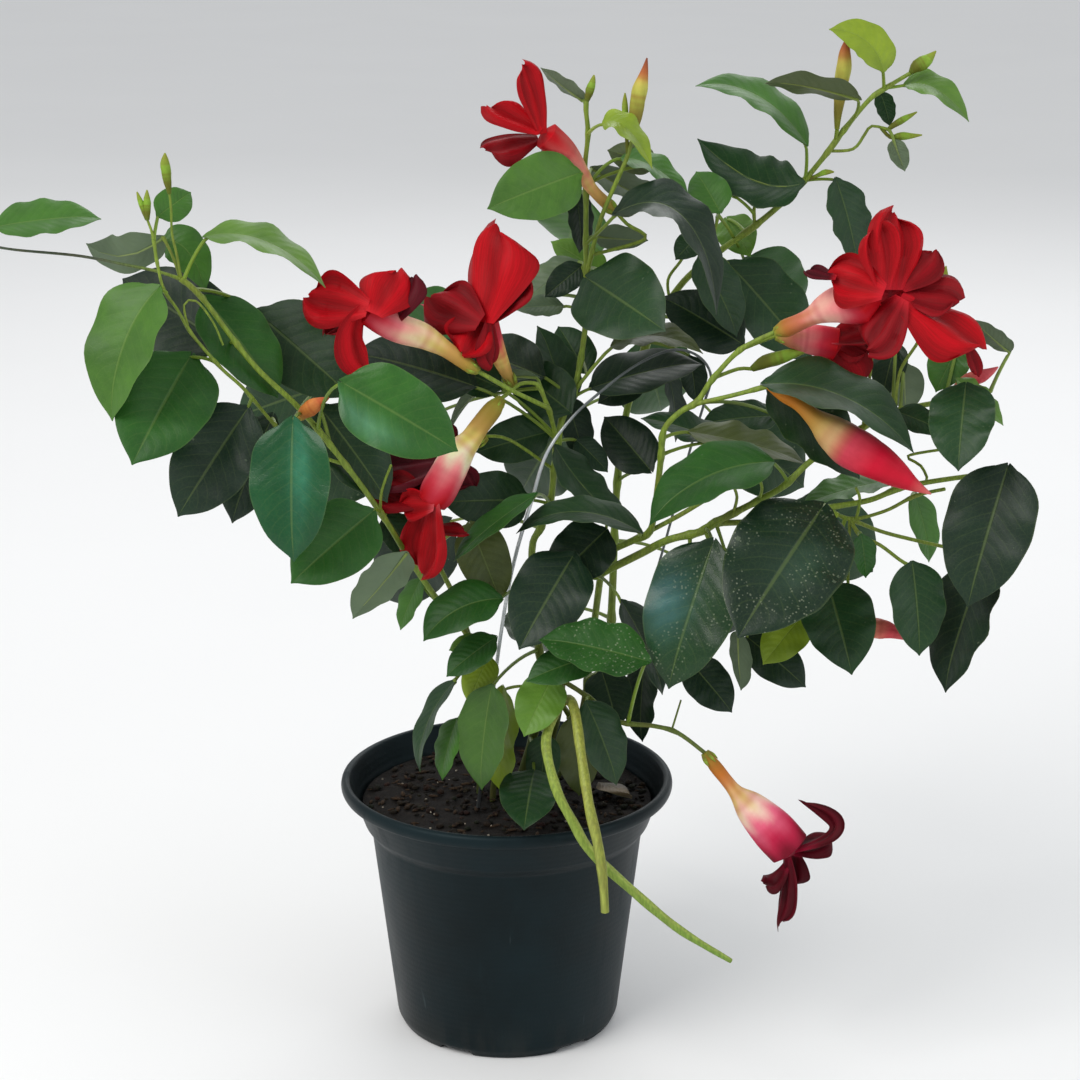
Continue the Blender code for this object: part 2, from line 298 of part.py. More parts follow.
# ------------------------------------------------------------------- flowers
# tube: (px, py, y, radius); petals: (base px, py, tip px, py, width, y, tone, options)
# petal tones: 0 red, 1 dark red, 2 maroon, 3 pink
FLOWERS = {
    'flower_left': dict(
        tube=[(478, 371, -46, 1.7), (470, 366, -46.5, 3.3), (447, 350, -48, 3.9), (432, 341, -49, 5.3),
              (420, 335, -50, 6.3), (400, 329, -53, 6.9), (384, 321, -55, 7.2), (368, 310, -57, 7.2)],
        petals=[(368, 308, 306, 296, 60, -62, 0, {}), (374, 314, 398, 269, 60, -60, 0, {}),
                (366, 306, 371, 374, 32, -66, 0, dict(m=(354, 340))), (392, 324, 413, 276, 26, -54, 2, {}),
                (358, 314, 326, 335, 20, -58, 1, {})]),
    'flower_middle': dict(
        tube=[(514, 386, -22, 1.5), (507, 374, -23, 2.8), (496, 350, -26, 4.6), (484, 322, -30, 6.8)],
        petals=[(482, 322, 498, 226, 68, -38, 0, {}), (480, 322, 429, 296, 62, -40, 1, {}),
                (484, 322, 527, 264, 52, -34, 1, {}), (480, 312, 461, 354, 52, -42, 0, {}),
                (490, 318, 492, 367, 22, -44, 1, {}), (470, 330, 422, 306, 16, -31, 3, {})]),
    'flower_low_left': dict(
        tube=[(502, 398, -33, 1.6), (494, 408, -34, 4.4), (479, 427, -37, 4.8), (470, 440, -39, 5.4),
              (458, 454, -42, 7.6), (447, 474, -46, 8.4), (437, 492, -49, 8.6), (431, 502, -50, 7.2)],
        petals=[(430, 500, 373, 490, 44, -46, 1, {}), (432, 498, 422, 576, 44, -56, 0, {}),
                (434, 506, 401, 505, 34, -54, 0, {}), (430, 528, 467, 533, 16, -52, 1, {})]),
    'flower_low_left_back': dict(
        tube=[(486, 436, -20, 1.4), (474, 443, -21, 2.6), (460, 452, -23, 4.2), (446, 460, -26, 5.2)],
        petals=[(444, 462, 375, 482, 40, -34, 2, {}), (446, 460, 437, 419, 34, -28, 2, {}),
                (450, 462, 474, 486, 28, -27, 2, {}), (444, 464, 420, 500, 36, -30, 2, {})]),
    'flower_top': dict(
        tube=[(616, 212, 0, 1.4), (608, 205, -1, 2.8), (592, 189, -4, 2.8), (580, 172, -7, 4.2),
              (564, 152, -10, 6.2), (546, 136, -13, 6.8)],
        petals=[(542, 134, 522, 65, 30, -15, 0, dict(m=(531, 96))), (540, 132, 487, 106, 26, -18, 0, {}),
                (538, 138, 483, 149, 30, -12, 1, {}), (548, 142, 529, 208, 22, -8, 2, {})]),
    'flower_right': dict(
        tube=[(775, 332, -53, 1.8), (784, 329, -54, 4.2), (800, 322, -56, 4.0), (812, 316, -58, 4.4),
              (825, 309, -60, 6.8), (840, 304, -62, 8.8), (858, 303, -65, 9.4), (872, 303, -68, 9.2)],
        petals=[(884, 292, 829, 275, 56, -74, 0, {}), (884, 290, 876, 223, 46, -71, 0, {}),
                (836, 278, 805, 271, 14, -70, 2, {}), (894, 290, 894, 210, 54, -64, 0, {}),
                (900, 288, 934, 250, 44, -62, 1, {}), (900, 292, 961, 301, 44, -66, 1, {}),
                (900, 298, 983, 348, 54, -74, 0, {}), (966, 342, 977, 376, 16, -72, 1, {}),
                (902, 298, 867, 350, 52, -76, 1, {})]),
    'flower_behind': dict(
        tube=[(776, 336, -42, 1.8), (790, 338, -42, 4.6), (803, 338, -42, 6.6), (818, 340, -42, 7.4),
              (836, 343, -42, 7.6)],
        petals=[(830, 340, 870, 330, 30, -46, 1, {}), (832, 344, 862, 389, 50, -44, 1, {}),
                (830, 344, 843, 372, 30, -38, 2, {}), (828, 338, 872, 352, 34, -38, 1, {})]),
    'flower_low_right': dict(
        tube=[(705, 753, -60, 1.9), (715, 766, -61, 3.2), (727, 781, -62, 3.1), (736, 792, -63, 3.8),
              (748, 804, -64, 7.4), (760, 816, -65, 9.4), (775, 831, -66, 10.8), (790, 847, -67, 10.6)],
        petals=[(794, 850, 802, 801, 17, -68, 2, dict(m=(835, 828))), (792, 852, 834, 838, 26, -66, 2, {}),
                (788, 862, 763, 883, 20, -70, 2, dict(m=(776, 882))), (786, 852, 779, 927, 20, -72, 2, dict(m=(787, 890))),
                (796, 852, 794, 887, 26, -64, 2, {})]),
}

# ---------------------------------------------------------------------- buds
# points (px, py, y, radius); kind 0 green, 1 brown tip, 2 pink, 3 orange, 4 pink tip
BUDS = {
    'bud_top': ([(634, 134, -9, 1.3), (635, 118, -9, 3.1), (638, 101, -9, 3.5), (640, 88, -9, 3.6),
                 (644, 74, -9, 2.1), (647, 58, -9, 0.35)], 1, None),
    'bud_top_right': ([(837, 129, 28, 1.2), (838, 112, 28, 2.1), (840, 95, 28, 3.0), (842, 80, 28, 3.5),
                       (844, 65, 28, 3.6), (845, 52, 28, 2.7), (847, 40, 28, 1.2), (848, 30, 28, 0.35)], 1, None),
    'bud_pink': ([(768, 386, -60, 1.5), (783, 395, -62, 3.0), (799, 405, -64, 3.0), (814, 418, -66, 4.4),
                  (828, 430, -69, 7.6), (845, 442, -72, 9.6), (862, 453, -75, 9.6), (880, 464, -78, 8.4),
                  (898, 475, -80, 6.2), (914, 485, -82, 3.2), (931, 494, -83, 0.4)], 2, None),
    'bud_orange': ([(300, 419, -72, 1.4), (305, 412, -73, 3.3), (314, 406, -74, 3.6), (322, 401, -74, 2.0),
                    (329, 398, -74, 0.35)], 3, None),
    'calyx_spent': ([(752, 368, -40, 1.5), (765, 362, -41, 3.2), (785, 356, -42, 3.0), (800, 352, -43, 1.7),
                     (814, 349, -44, 0.35)], 0, 'stem_flowering'),
    'bud_tip_right': ([(910, 73, 25, 1.0), (917, 66, 25, 3.1), (926, 61, 25, 3.1), (936, 51, 25, 0.35)], 0, 'stem_upper_right'),
    'bud_edge': ([(945, 399, -43, 1.0), (962, 381, -42, 1.8), (978, 377, -42, 3.4), (990, 372, -43, 2.0),
                  (998, 367, -43, 0.35)], 4, 'stem_right'),
    'bud_low': ([(850, 627, -50, 1.2), (868, 628, -51, 4.6), (884, 629, -52, 4.6), (897, 634, -53, 2.6),
                 (909, 640, -54, 0.35)], 4, 'stem_right'),
    # small ones that are one with their shoot
    'b_cluster1': ([(880, 133, 31, 0.9), (890, 137, 31, 1.0), (901, 136, 31, 2.0), (910, 136, 31, 1.5),
                    (922, 135, 31, 0.35)], 0, 'stem_upper_right'),
    'b_cluster2': ([(888, 129, 31, 0.9), (897, 123, 31, 1.6), (906, 118, 31, 1.5), (917, 112, 31, 0.35)], 0,
                   'stem_upper_right'),
    'b_small': ([(805, 181, 35, 1.0), (816, 176, 34, 0.9), (826, 172, 34, 1.5), (834, 172, 34, 0.35)], 0,
                'stem_upper_right'),
    'b_spike': ([(169, 194, -76, 0.9), (167, 178, -76, 2.0), (165, 163, -76, 2.1), (165, 153, -76, 0.35)], 0,
                'stem_left'),
    'b_twin1': ([(146, 220, -78, 1.0), (141, 203, -78, 1.3), (137, 192, -78, 0.35)], 0, 'stem_left'),
    'b_twin2': ([(147, 220, -78, 1.0), (147, 203, -78, 1.8), (147, 190, -78, 0.35)], 0, 'stem_left'),
    'b_shoot': ([(587, 101, -2, 1.2), (590, 90, -2, 2.1), (593, 80, -2, 1.3), (594, 75, -2, 0.35)], 0, 'stem_center'),
    'b_spikelet': ([(628, 154, -9, 1.0), (626, 128, -8, 0.9), (625, 107, -7, 1.5), (625, 93, -7, 0.35)], 0,
                   'stem_center'),
    'b_back': ([(929, 320, -32, 1.0), (938, 303, -31, 2.4), (944, 286, -31, 2.4), (946, 266, -31, 0.35)], 0,
               'stem_right'),
}
STEMS['stem_right'] += [
    ([(895, 412, -42), (900, 372, -36), (918, 342, -33), (930, 318, -32)], 0.9, 0.9),
    ([(862, 427, -43), (868, 390, -42), (872, 350, -42), (866, 320, -42)], 0.9, 0.8),
    ([(850, 519, -36), (848, 580, -46), (851, 628, -50)], 0.9, 0.9),
]

STEMS['stem_center'] += [([(530, 470, -18), (510, 440, -21), (486, 436, -20)], 0.9, 0.9)]

# every stem leaves the soil upright
for _branches in STEMS.values():
    _first = _branches[0][0]
    _x, _y = _first[0][1], _first[0][2]
    _first[0:1] = [('w', _x, _y, SOIL_Z + 0.4), ('w', _x, _y, SOIL_Z + 4.5)]


def near_path(p, paths):
    best = None
    for w in paths:
        for a, b in zip(w, w[1:]):
            d = vsub(b, a)
            q = vdot(d, d)
            t = 0.0 if q < 1e-9 else min(max(vdot(vsub(p, a), d) / q, 0.0), 1.0)
            c = vadd(a, vmul(d, t))
            e = vlen(vsub(c, p))
            if best is None or e < best[0]:
                best = (e, c)
    return best


def join_branches():
    """Start every side branch and hosted bud on its parent's centre line."""
    for name, branches in STEMS.items():
        paths = []
        for i, (pts, r0, r1) in enumerate(branches):
            w = [pt(q) for q in pts]
            if paths:
                e, c = near_path(w[0], paths)
                w[0] = c
                pts[0] = ('w',) + c
            paths.append(w)
        for pts, kind, host in BUDS.values():
            if host == name:
                e, c = near_path(at(*pts[0][:3]), paths)
                x, y, _ = seen(c)
                pts[0] = (x, y, c[1], pts[0][3])


# ---------------------------------------------------------------------- pods
PODS = [
    [(561, 703, -55, 2.0), (569, 700, -60, 2.6), (575, 712, -68, 2.5), (581, 753, -82, 2.4), (589, 805, -98, 2.5),
     (598, 845, -105, 2.5), (603, 880, -107, 2.3), (605, 912, -108, 1.9)],
    [(561, 703, -55, 2.0), (555, 713, -62, 2.5), (546, 743, -74, 2.4), (556, 788, -88, 2.4), (573, 822, -93, 2.4),
     (592, 853, -96, 2.4), (635, 893, -98, 2.3), (680, 930, -98, 2.0), (731, 961, -96, 1.2)],
]
# the dry leaf lying on the soil: base, tip (world), width
DRY = (('w', 47, 8, 124.0), ('w', 64, -8, 122.6), 13.0)


# ------------------------------------------------------------------ geometry
PROFILE_LEAF = [(0, 0.06), (0.02, 0.24), (0.06, 0.47), (0.12, 0.70), (0.2, 0.88), (0.3, 0.98), (0.4, 1.0),
                (0.5, 0.965), (0.6, 0.87), (0.7, 0.71), (0.8, 0.49), (0.87, 0.30), (0.92, 0.165), (0.96, 0.075), (1, 0)]
PROFILE_PETAL = [(0, 0.30), (0.1, 0.44), (0.3, 0.72), (0.5, 0.93), (0.66, 1.0), (0.8, 0.90), (0.9, 0.66), (0.96, 0.38), (1, 0)]


def prof(table, t):
    t = min(max(t, 0.0), 1.0)
    for (t0, v0), (t1, v1) in zip(table, table[1:]):
        if t <= t1:
            k = (t - t0) / (t1 - t0)
            return v0 + (v1 - v0) * k
    return 0.0


def bez(a, b, c, t):
    return tuple((1 - t) * (1 - t) * a[i] + 2 * t * (1 - t) * b[i] + t * t * c[i] for i in range(len(a)))


join_branches()


class Blade:
    """A leaf blade or a petal laid out from what is seen of it."""

    def __init__(self, name, base, tip, width, y, opt, petal=False):
        self.name, self.base, self.tip, self.width, self.y, self.opt = name, base, tip, width, y, opt
        self.petal = petal
        self.ratio = opt.get('r', 0.9 if petal else BLADE_RATIO)
        self.k = opt.get('k', 0.0 if ('m' in opt or petal) else 0.05)
        self.fold = opt.get('fold', 0.14 if petal else FOLD)
        self.under = opt.get('u', 0)
        self.profile = PROFILE_PETAL if petal else PROFILE_LEAF
        self.shift = 0.0
        self.settle()

    def settle(self):
        y = self.y
        mm = seen(at(self.base[0], self.base[1], y))[2] / EYE_F
        b, t = self.base, self.tip
        if 'm' in self.opt:
            m = self.opt['m']
            lpx = math.hypot(m[0] - b[0], m[1] - b[1]) + math.hypot(t[0] - m[0], t[1] - m[1])
            self.ctrl = (2 * m[0] - (b[0] + t[0]) / 2, 2 * m[1] - (b[1] + t[1]) / 2)
        else:
            lpx = math.hypot(t[0] - b[0], t[1] - b[1])
            self.ctrl = ((b[0] + t[0]) / 2, (b[1] + t[1]) / 2)
        lv, wv = lpx * mm, self.width * mm
        if wv > self.ratio * lv:
            length = min(wv / self.ratio, lv * (1.35 if self.petal else 1.8))
            dd = math.sqrt(max(length * length - lv * lv, 0.0)) * _cp
            self.W, roll = wv, 0.16
            cases = [(dd, roll), (-dd, roll), (dd, -roll), (-dd, -roll)]
        else:
            self.W = min(self.ratio * lv, wv / math.cos(math.radians(50 if self.petal else 64)))
            roll = math.acos(min(1.0, wv / self.W))
            length = lv
            dd = 0.22 * lv
            cases = [(dd, roll), (dd, -roll), (-dd, roll), (-dd, -roll)]
        self.L = length
        best = None
        for dd, roll in cases:
            self.dd, self.roll = dd, roll
            n = self.frame(0.5)[2]
            score = n[2] - 0.0004 * abs(dd)
            if best is None or score > best[0]:
                best = (score, dd, roll)
        _, self.dd, self.roll = best
        if 's' in self.opt:
            self.dd = abs(self.dd) * self.opt['s']
        if 'q' in self.opt:
            self.roll = abs(self.roll) * self.opt['q']

    def mid(self, t):
        c = bez(self.base, self.ctrl, self.tip, t)
        y = self.y + self.shift + self.dd * (t - 0.45)
        return at(c[0], c[1], y)

    def frame(self, t):
        """Midrib point, across direction, upper normal."""
        a, b = max(t - 0.04, 0.0), min(t + 0.04, 1.0)
        tau = vnorm(vsub(self.mid(b), self.mid(a)))
        m = self.mid(t)
        v = vnorm(vsub(m, EYE))
        w0 = vnorm(vcross(v, tau))
        n0 = vcross(w0, tau)
        c, s = math.cos(self.roll), math.sin(self.roll)
        w = vadd(vmul(w0, c), vmul(n0, s))
        n = vsub(vmul(n0, c), vmul(w0, s))
        if self.under:
            n = vmul(n, -1.0)
        return m, w, n

    def half(self, t):
        return 0.5 * self.W * prof(self.profile, t)

    def point(self, t, s, lift=0.0):
        m, w, n = self.frame(t)
        h = self.half(t) * s
        up = self.k * self.L * 4 * t * (1 - t) * (-1.0 if self.under else 1.0) * 0.6
        z = abs(h) * math.sin(self.fold) + up + lift
        x = h * math.cos(self.fold)
        return vadd(m, vadd(vmul(w, x), vmul(n, z)))


def stem_nearest(name, px, py):
    """Point on a stem's centre line nearest to a sheet position, and the stem's radius there."""
    best = None
    for pts, r0, r1 in STEMS[name]:
        w = [pt(q) for q in pts]
        s = [seen(p)[:2] for p in w]
        n = len(w) - 1
        for i in range(n):
            ax, ay = s[i]
            bx, by = s[i + 1]
            dx, dy = bx - ax, by - ay
            q = dx * dx + dy * dy
            t = 0.0 if q < 1e-9 else min(max(((px - ax) * dx + (py - ay) * dy) / q, 0.0), 1.0)
            d = math.hypot(ax + dx * t - px, ay + dy * t - py)
            if best is None or d < best[0] - 1e-9:
                best = (d, vlerp(w[i], w[i + 1], t), r0 + (r1 - r0) * (i + t) / n, vnorm(vsub(w[i + 1], w[i])))
    return best[1], best[2], best[3]


def make_blades():
    out = []
    for name, base, tip, width, y, foot, opt in LEAVES:
        b = Blade(name, base, tip, width, y, opt)
        b.foot = foot
        b.own = opt.get('own', 0)
        b.tone = opt.get('t', 2)
        b.order = y
        out.append(b)
    for name, base, tip, width, foot, tone in BACK:
        bs, ts = seen(base), seen(tip)
        yc = (base[1] + tip[1]) / 2
        b = Blade(name, bs[:2], ts[:2], width * EYE_F / bs[2], yc, dict(t=tone, own=0))
        b.W = width
        b.dd = tip[1] - base[1]
        b.L = vlen(vsub(tip, base))
        b.foot = (foot[0],) + seen(foot[1:])[:2]
        b.own = 0
        b.tone = tone
        b.order = yc
        b.back = True
        out.append(b)
    return out


def stalk_path(b):
    """Leaf stalk from its stem to the blade's base: foot, control, base."""
    stem, px, py = b.foot
    foot, r, along = stem_nearest(stem, px, py)
    end = b.mid(0.0)
    if 'pc' in b.opt:
        q = b.opt['pc']
        c = at(q[0], q[1], (foot[1] + end[1]) / 2)
    else:
        d = vlen(vsub(end, foot))
        c = vadd(vlerp(foot, end, 0.5), (0.0, 0.0, 0.10 * d))
    return foot, c, end, r, along


# Depth order.  Blades keep their place on the sheet and slide in depth until
# those that cover one another stand clear.
CELL = 5.0


def cover(points):
    cells = {}
    for p in points:
        x, y, _ = seen(p)
        key = (int(math.floor(x / CELL)), int(math.floor(y / CELL)))
        v = cells.get(key)
        if v is None:
            cells[key] = [p[1], p[1]]
        else:
            if p[1] < v[0]:
                v[0] = p[1]
            if p[1] > v[1]:
                v[1] = p[1]
    return cells


def blade_cover(b):
    pts = []
    nt = max(8, int(b.L / 1.6))
    for i in range(nt + 1):
        t = i / nt
        m, w, n = b.frame(t)
        h = b.half(t)
        ns = max(2, int(h / 1.2))
        up = b.k * b.L * 4 * t * (1 - t) * (-1.0 if b.under else 1.0) * 0.6
        for j in range(-ns, ns + 1):
            s = j / ns
            pts.append(vadd(m, vadd(vmul(w, h * s * math.cos(b.fold)),
                                    vmul(n, abs(h * s) * math.sin(b.fold) + up))))
    return cover(pts)


def tube_cover(pts4):
    pts = []
    for (a, ra), (b, rb) in zip(pts4, pts4[1:]):
        n = max(2, int(vlen(vsub(b, a)) / 1.5))
        for i in range(n + 1):
            t = i / n
            c = vlerp(a, b, t)
            r = ra + (rb - ra) * t
            k = max(1, int(r / 1.2))
            for j in range(-k, k + 1):
                x = r * j / k
                for yy in (-1, 1):
                    pts.append((c[0] + x, c[1] + yy * math.sqrt(max(r * r - x * x, 0.0)), c[2]))
                    pts.append((c[0], c[1] + yy * math.sqrt(max(r * r - x * x, 0.0)), c[2] + x))
    return cover(pts)


def solve_depths(blades):
    items = []
    for b in blades:
        items.append(dict(cells=blade_cover(b), fixed=False, blade=b, order=b.order))
    for name, branches in STEMS.items():
        for pts, r0, r1 in branches:
            n = len(pts) - 1
            w = [(pt(q), r0 + (r1 - r0) * i / n) for i, q in enumerate(pts)]
            items.append(dict(cells=tube_cover(w), fixed=True, stem=name))
    items.append(dict(cells=tube_cover([(pt(q), HOOP_R) for q in HOOP]), fixed=True))
    for f in FLOWERS.values():
        items.append(dict(cells=tube_cover([(at(*q[:3]), q[3]) for q in f['tube']]), fixed=True))
        for q in f['petals']:
            items.append(dict(cells=blade_cover(Blade('p', q[0:2], q[2:4], q[4], q[5], q[7], petal=True)), fixed=True))
    for pts, kind, host in BUDS.values():
        items.append(dict(cells=tube_cover([(at(*q[:3]), q[3]) for q in pts]), fixed=True))
    for pod in PODS:
        items.append(dict(cells=tube_cover([(at(*q[:3]), q[3]) for q in pod]), fixed=True))
    n = len(items)
    grid = {}
    for i, it in enumerate(items):
        for key in it['cells']:
            grid.setdefault(key, []).append(i)
    pairs = {}
    for key, members in grid.items():
        for a in range(len(members)):
            for c in range(a + 1, len(members)):
                i, j = members[a], members[c]
                if items[i]['fixed'] and items[j]['fixed']:
                    continue
                pairs.setdefault((i, j), []).append(key)
    cons = []
    for (i, j), keys in sorted(pairs.items()):
        a, b = items[i], items[j]
        mean = sum((b['cells'][k][0] + b['cells'][k][1] - a['cells'][k][0] - a['cells'][k][1]) for k in keys)
        if not a['fixed'] and not b['fixed']:
            front = a['order'] <= b['order']
        else:
            front = mean >= 0
        gap = LAYER_GAP
        if front:
            g = max(gap - (b['cells'][k][0] - a['cells'][k][1]) for k in keys)
            cons.append((i, j, g))
        else:
            g = max(gap - (a['cells'][k][0] - b['cells'][k][1]) for k in keys)
            cons.append((j, i, g))
    sh = [0.0] * n
    for _ in range(600):
        worst = 0.0
        for i, j, g in cons:
            e = g - (sh[j] - sh[i])
            if e > 0.01:
                worst = max(worst, e)
                if items[i]['fixed']:
                    sh[j] += e * 0.9
                elif items[j]['fixed']:
                    sh[i] -= e * 0.9
                else:
                    sh[i] -= e * 0.5
                    sh[j] += e * 0.5
        if worst < 0.05:
            break
    for i, it in enumerate(items):
        if not it['fixed']:
            it['blade'].shift = sh[i]
    return worst, cons, sh


report = []


# ------------------------------------------------------------ closed solids
def loft(rings, start_apex=None, end_apex=None, alike=False):
    """Closed mesh through rings of equal count; capped flat or to an apex.
    alike splits both sides of a thin bent section the same way."""
    verts, faces = [], []
    for r in rings:
        verts += list(r)
    n = len(rings[0])
    for i in range(len(rings) - 1):
        a, b = i * n, (i + 1) * n
        for j in range(n):
            k = (j + 1) % n
            if alike and j % 2 == 0:
                faces += [(a + j, a + k, b + k), (a + j, b + k, b + j)]
            elif alike:
                faces += [(a + j, a + k, b + j), (a + k, b + k, b + j)]
            else:
                faces.append((a + j, a + k, b + k, b + j))
    if start_apex is None:
        faces.append(tuple(reversed(range(n))))
    else:
        verts.append(start_apex)
        c = len(verts) - 1
        for j in range(n):
            faces.append((c, (j + 1) % n, j))
    base = (len(rings) - 1) * n
    if end_apex is None:
        faces.append(tuple(base + j for j in range(n)))
    else:
        verts.append(end_apex)
        c = len(verts) - 1
        for j in range(n):
            faces.append((base + j, base + (j + 1) % n, c))
    return verts, faces


def ring_round(c, u, v, r, n):
    return [vadd(c, vadd(vmul(u, r * math.cos(2 * math.pi * i / n)), vmul(v, r * math.sin(2 * math.pi * i / n))))
            for i in range(n)]


def tube(points, radii, n=5, grow=0.0):
    """Round tube along a path (mm)."""
    u = None
    rings = []
    m = len(points)
    for i in range(m):
        a, b = points[max(i - 1, 0)], points[min(i + 1, m - 1)]
        t = vnorm(vsub(b, a))
        if u is None:
            u = vnorm(vcross(t, (0.31, 0.89, 0.33)))
        u = vnorm(vsub(u, vmul(t, vdot(u, t))))
        v = vcross(t, u)
        c = points[i]
        if grow and i == 0:
            c = vsub(c, vmul(t, grow))
        if grow and i == m - 1:
            c = vadd(c, vmul(t, grow))
        rings.append(ring_round(c, u, v, radii[i] + grow, n))
    return loft(rings)


def stem_solid(branch, grow=0.0, n=5):
    pts, r0, r1 = branch
    w = [pt(q) for q in pts]
    k = len(w) - 1
    return tube(w, [r0 + (r1 - r0) * i / k for i in range(k + 1)], n, grow)


def leaf_solid(b, grow=0.0, inside=False):
    """Stalk and blade as one loft of four-sided rings."""
    foot, ctrl, end, r_stem, along = stalk_path(b)
    th = BLADE_T * 0.5 + grow
    rp = PETIOLE_R + grow
    rings = []
    d = vlen(vsub(end, foot))
    if d > 1.6 or inside:
        ts = [0.0]
        if inside:
            t0 = 0.0
        else:
            # leave the stem's skin and its clearance
            t0 = 0.0
            for i in range(1, 120):
                t0 = i / 120.0
                p = bez(foot, ctrl, end, t0)
                q = vsub(p, foot)
                side = vlen(vsub(q, vmul(along, vdot(q, along))))
                if side > r_stem + rp - grow + GAP + 0.15:
                    break
            t0 = min(t0, 0.85)
        ts = [t0] + ([0.5 * (t0 + 1.0)] if d > 22 else [])
        for t in ts:
            p = bez(foot, ctrl, end, t)
            q = bez(foot, ctrl, end, min(t + 0.05, 1.0)) if t < 0.95 else end
            tan = vnorm(vsub(q, p))
            m, w, n = b.frame(0.0)
            w = vsub(w, vmul(tan, vdot(w, tan)))
            w = vnorm(w) if vlen(w) > 0.05 else vnorm(vcross(tan, n))
            n2 = vcross(tan, w) if b.under else vcross(w, tan)
            rings.append([vadd(p, vmul(w, rp)), vadd(p, vmul(n2, rp)), vsub(p, vmul(w, rp)), vsub(p, vmul(n2, rp))])
    for t in ((0.0, 0.16, 0.55) if inside else (0.0, 0.12, 0.42, 0.76)):
        m, w, n = b.frame(t)
        up = b.k * b.L * 4 * t * (1 - t) * (-1.0 if b.under else 1.0) * 0.6
        m = vadd(m, vmul(n, up))
        h = max(b.half(t), rp) + grow
        x, z = h * math.cos(b.fold), h * math.sin(b.fold)
        tt = max(th, rp) if t == 0.0 else th
        rings.append([vadd(m, vadd(vmul(w, x), vmul(n, z))), vadd(m, vmul(n, tt)),
                      vadd(m, vadd(vmul(w, -x), vmul(n, z))), vadd(m, vmul(n, -tt))])
    tip = b.mid(1.0)
    if grow:
        tip = vadd(tip, vmul(vnorm(vsub(tip, b.mid(0.9))), grow * 2))
    return loft(rings, None, tip, bool(b.opt.get('alike', 0)))


def petal_solid(b, grow=0.0):
    th = 0.8 + grow
    rings = []
    for t in (0.0, 0.36, 0.78):
        m, w, n = b.frame(t)
        h = b.half(t) + grow
        x, z = h * math.cos(b.fold), h * math.sin(b.fold)
        rings.append([vadd(m, vadd(vmul(w, x), vmul(n, z))), vadd(m, vmul(n, th)),
                      vadd(m, vadd(vmul(w, -x), vmul(n, z))), vadd(m, vmul(n, -th))])
    return loft(rings, None, b.mid(1.0))


def make_object(name, solid):
    me = bpy.data.meshes.new(name)
    verts, faces = solid
    me.from_pydata([(x * 0.001, y * 0.001, z * 0.001) for x, y, z in verts], [], [tuple(f) for f in faces])
    bm = bmesh.new()
    bm.from_mesh(me)
    bmesh.ops.recalc_face_normals(bm, faces=bm.faces)
    if bm.calc_volume(signed=True) < 0:
        bmesh.ops.reverse_faces(bm, faces=bm.faces)
    bm.to_mesh(me)
    bm.free()
    me.update()
    ob = bpy.data.objects.new(name, me)
    bpy.context.scene.collection.objects.link(ob)
    return ob


def drop(ob):
    me = ob.data
    bpy.data.objects.remove(ob, do_unlink=True)
    if me.users == 0:
        bpy.data.meshes.remove(me)


def take_result(ob):
    dg = bpy.context.evaluated_depsgraph_get()
    ev = ob.evaluated_get(dg)
    me = bpy.data.meshes.new_from_object(ev)
    old = ob.data
    ob.modifiers.clear()
    ob.data = me
    bpy.data.meshes.remove(old)


def boolean(ob, other, op, use_self=False, solver='EXACT'):
    m = ob.modifiers.new('cut', 'BOOLEAN')
    m.operation = op
    m.solver = solver
    if solver == 'EXACT':
        m.use_self = use_self
    m.object = other
    bpy.context.view_layer.update()
    take_result(ob)


def join(ob, piece, label):
    """Union that is tried again another way where a result is not sound."""
    before = ob.data.copy()
    v0, v1 = volume_of(ob), volume_of(piece)
    for use_self, solver in ((False, 'EXACT'), (True, 'EXACT'), (False, 'MANIFOLD')):
        for weld in (2e-6, 0.0):
            boolean(ob, piece, 'UNION', use_self, solver)
            v = volume_of(ob)
            n = keep_largest(ob, weld)
            whole = n == 1 or volume_of(ob) > v - 0.1 * min(v0, v1)
            if whole and v > max(v0, v1) * 0.98 and edges_sound(ob):
                bpy.data.meshes.remove(before)
                return True
            spare = ob.data
            ob.data = before.copy()
            bpy.data.meshes.remove(spare)
    report.append('%s: a piece did not join, n=%d sound=%d v=%.0f of %.0f + %.0f' % (label, n, edges_sound(ob), v, v0, v1))
    bpy.data.meshes.remove(before)
    return False


def clear_of(ob, solid, label):
    """Cut one grown solid away, tried again another way where a result is not sound."""
    before = ob.data.copy()
    v0 = volume_of(ob)
    cutter = make_object('cut', solid)
    for use_self, solver in ((False, 'EXACT'), (True, 'EXACT'), (False, 'MANIFOLD')):
        boolean(ob, cutter, 'DIFFERENCE', use_self, solver)
        if len(ob.data.polygons) > 3:
            keep_largest(ob)
            if volume_of(ob) > 0.5 * v0 and edges_sound(ob):
                bpy.data.meshes.remove(before)
                drop(cutter)
                return True
        spare = ob.data
        ob.data = before.copy()
        bpy.data.meshes.remove(spare)
    report.append('%s: a cut was left out' % label)
    bpy.data.meshes.remove(before)
    drop(cutter)
    return False


def signed_volume(faces):
    s = 0.0
    for f in faces:
        vs = [v.co for v in f.verts]
        for i in range(1, len(vs) - 1):
            s += vs[0].dot(vs[i].cross(vs[i + 1])) / 6.0
    return s


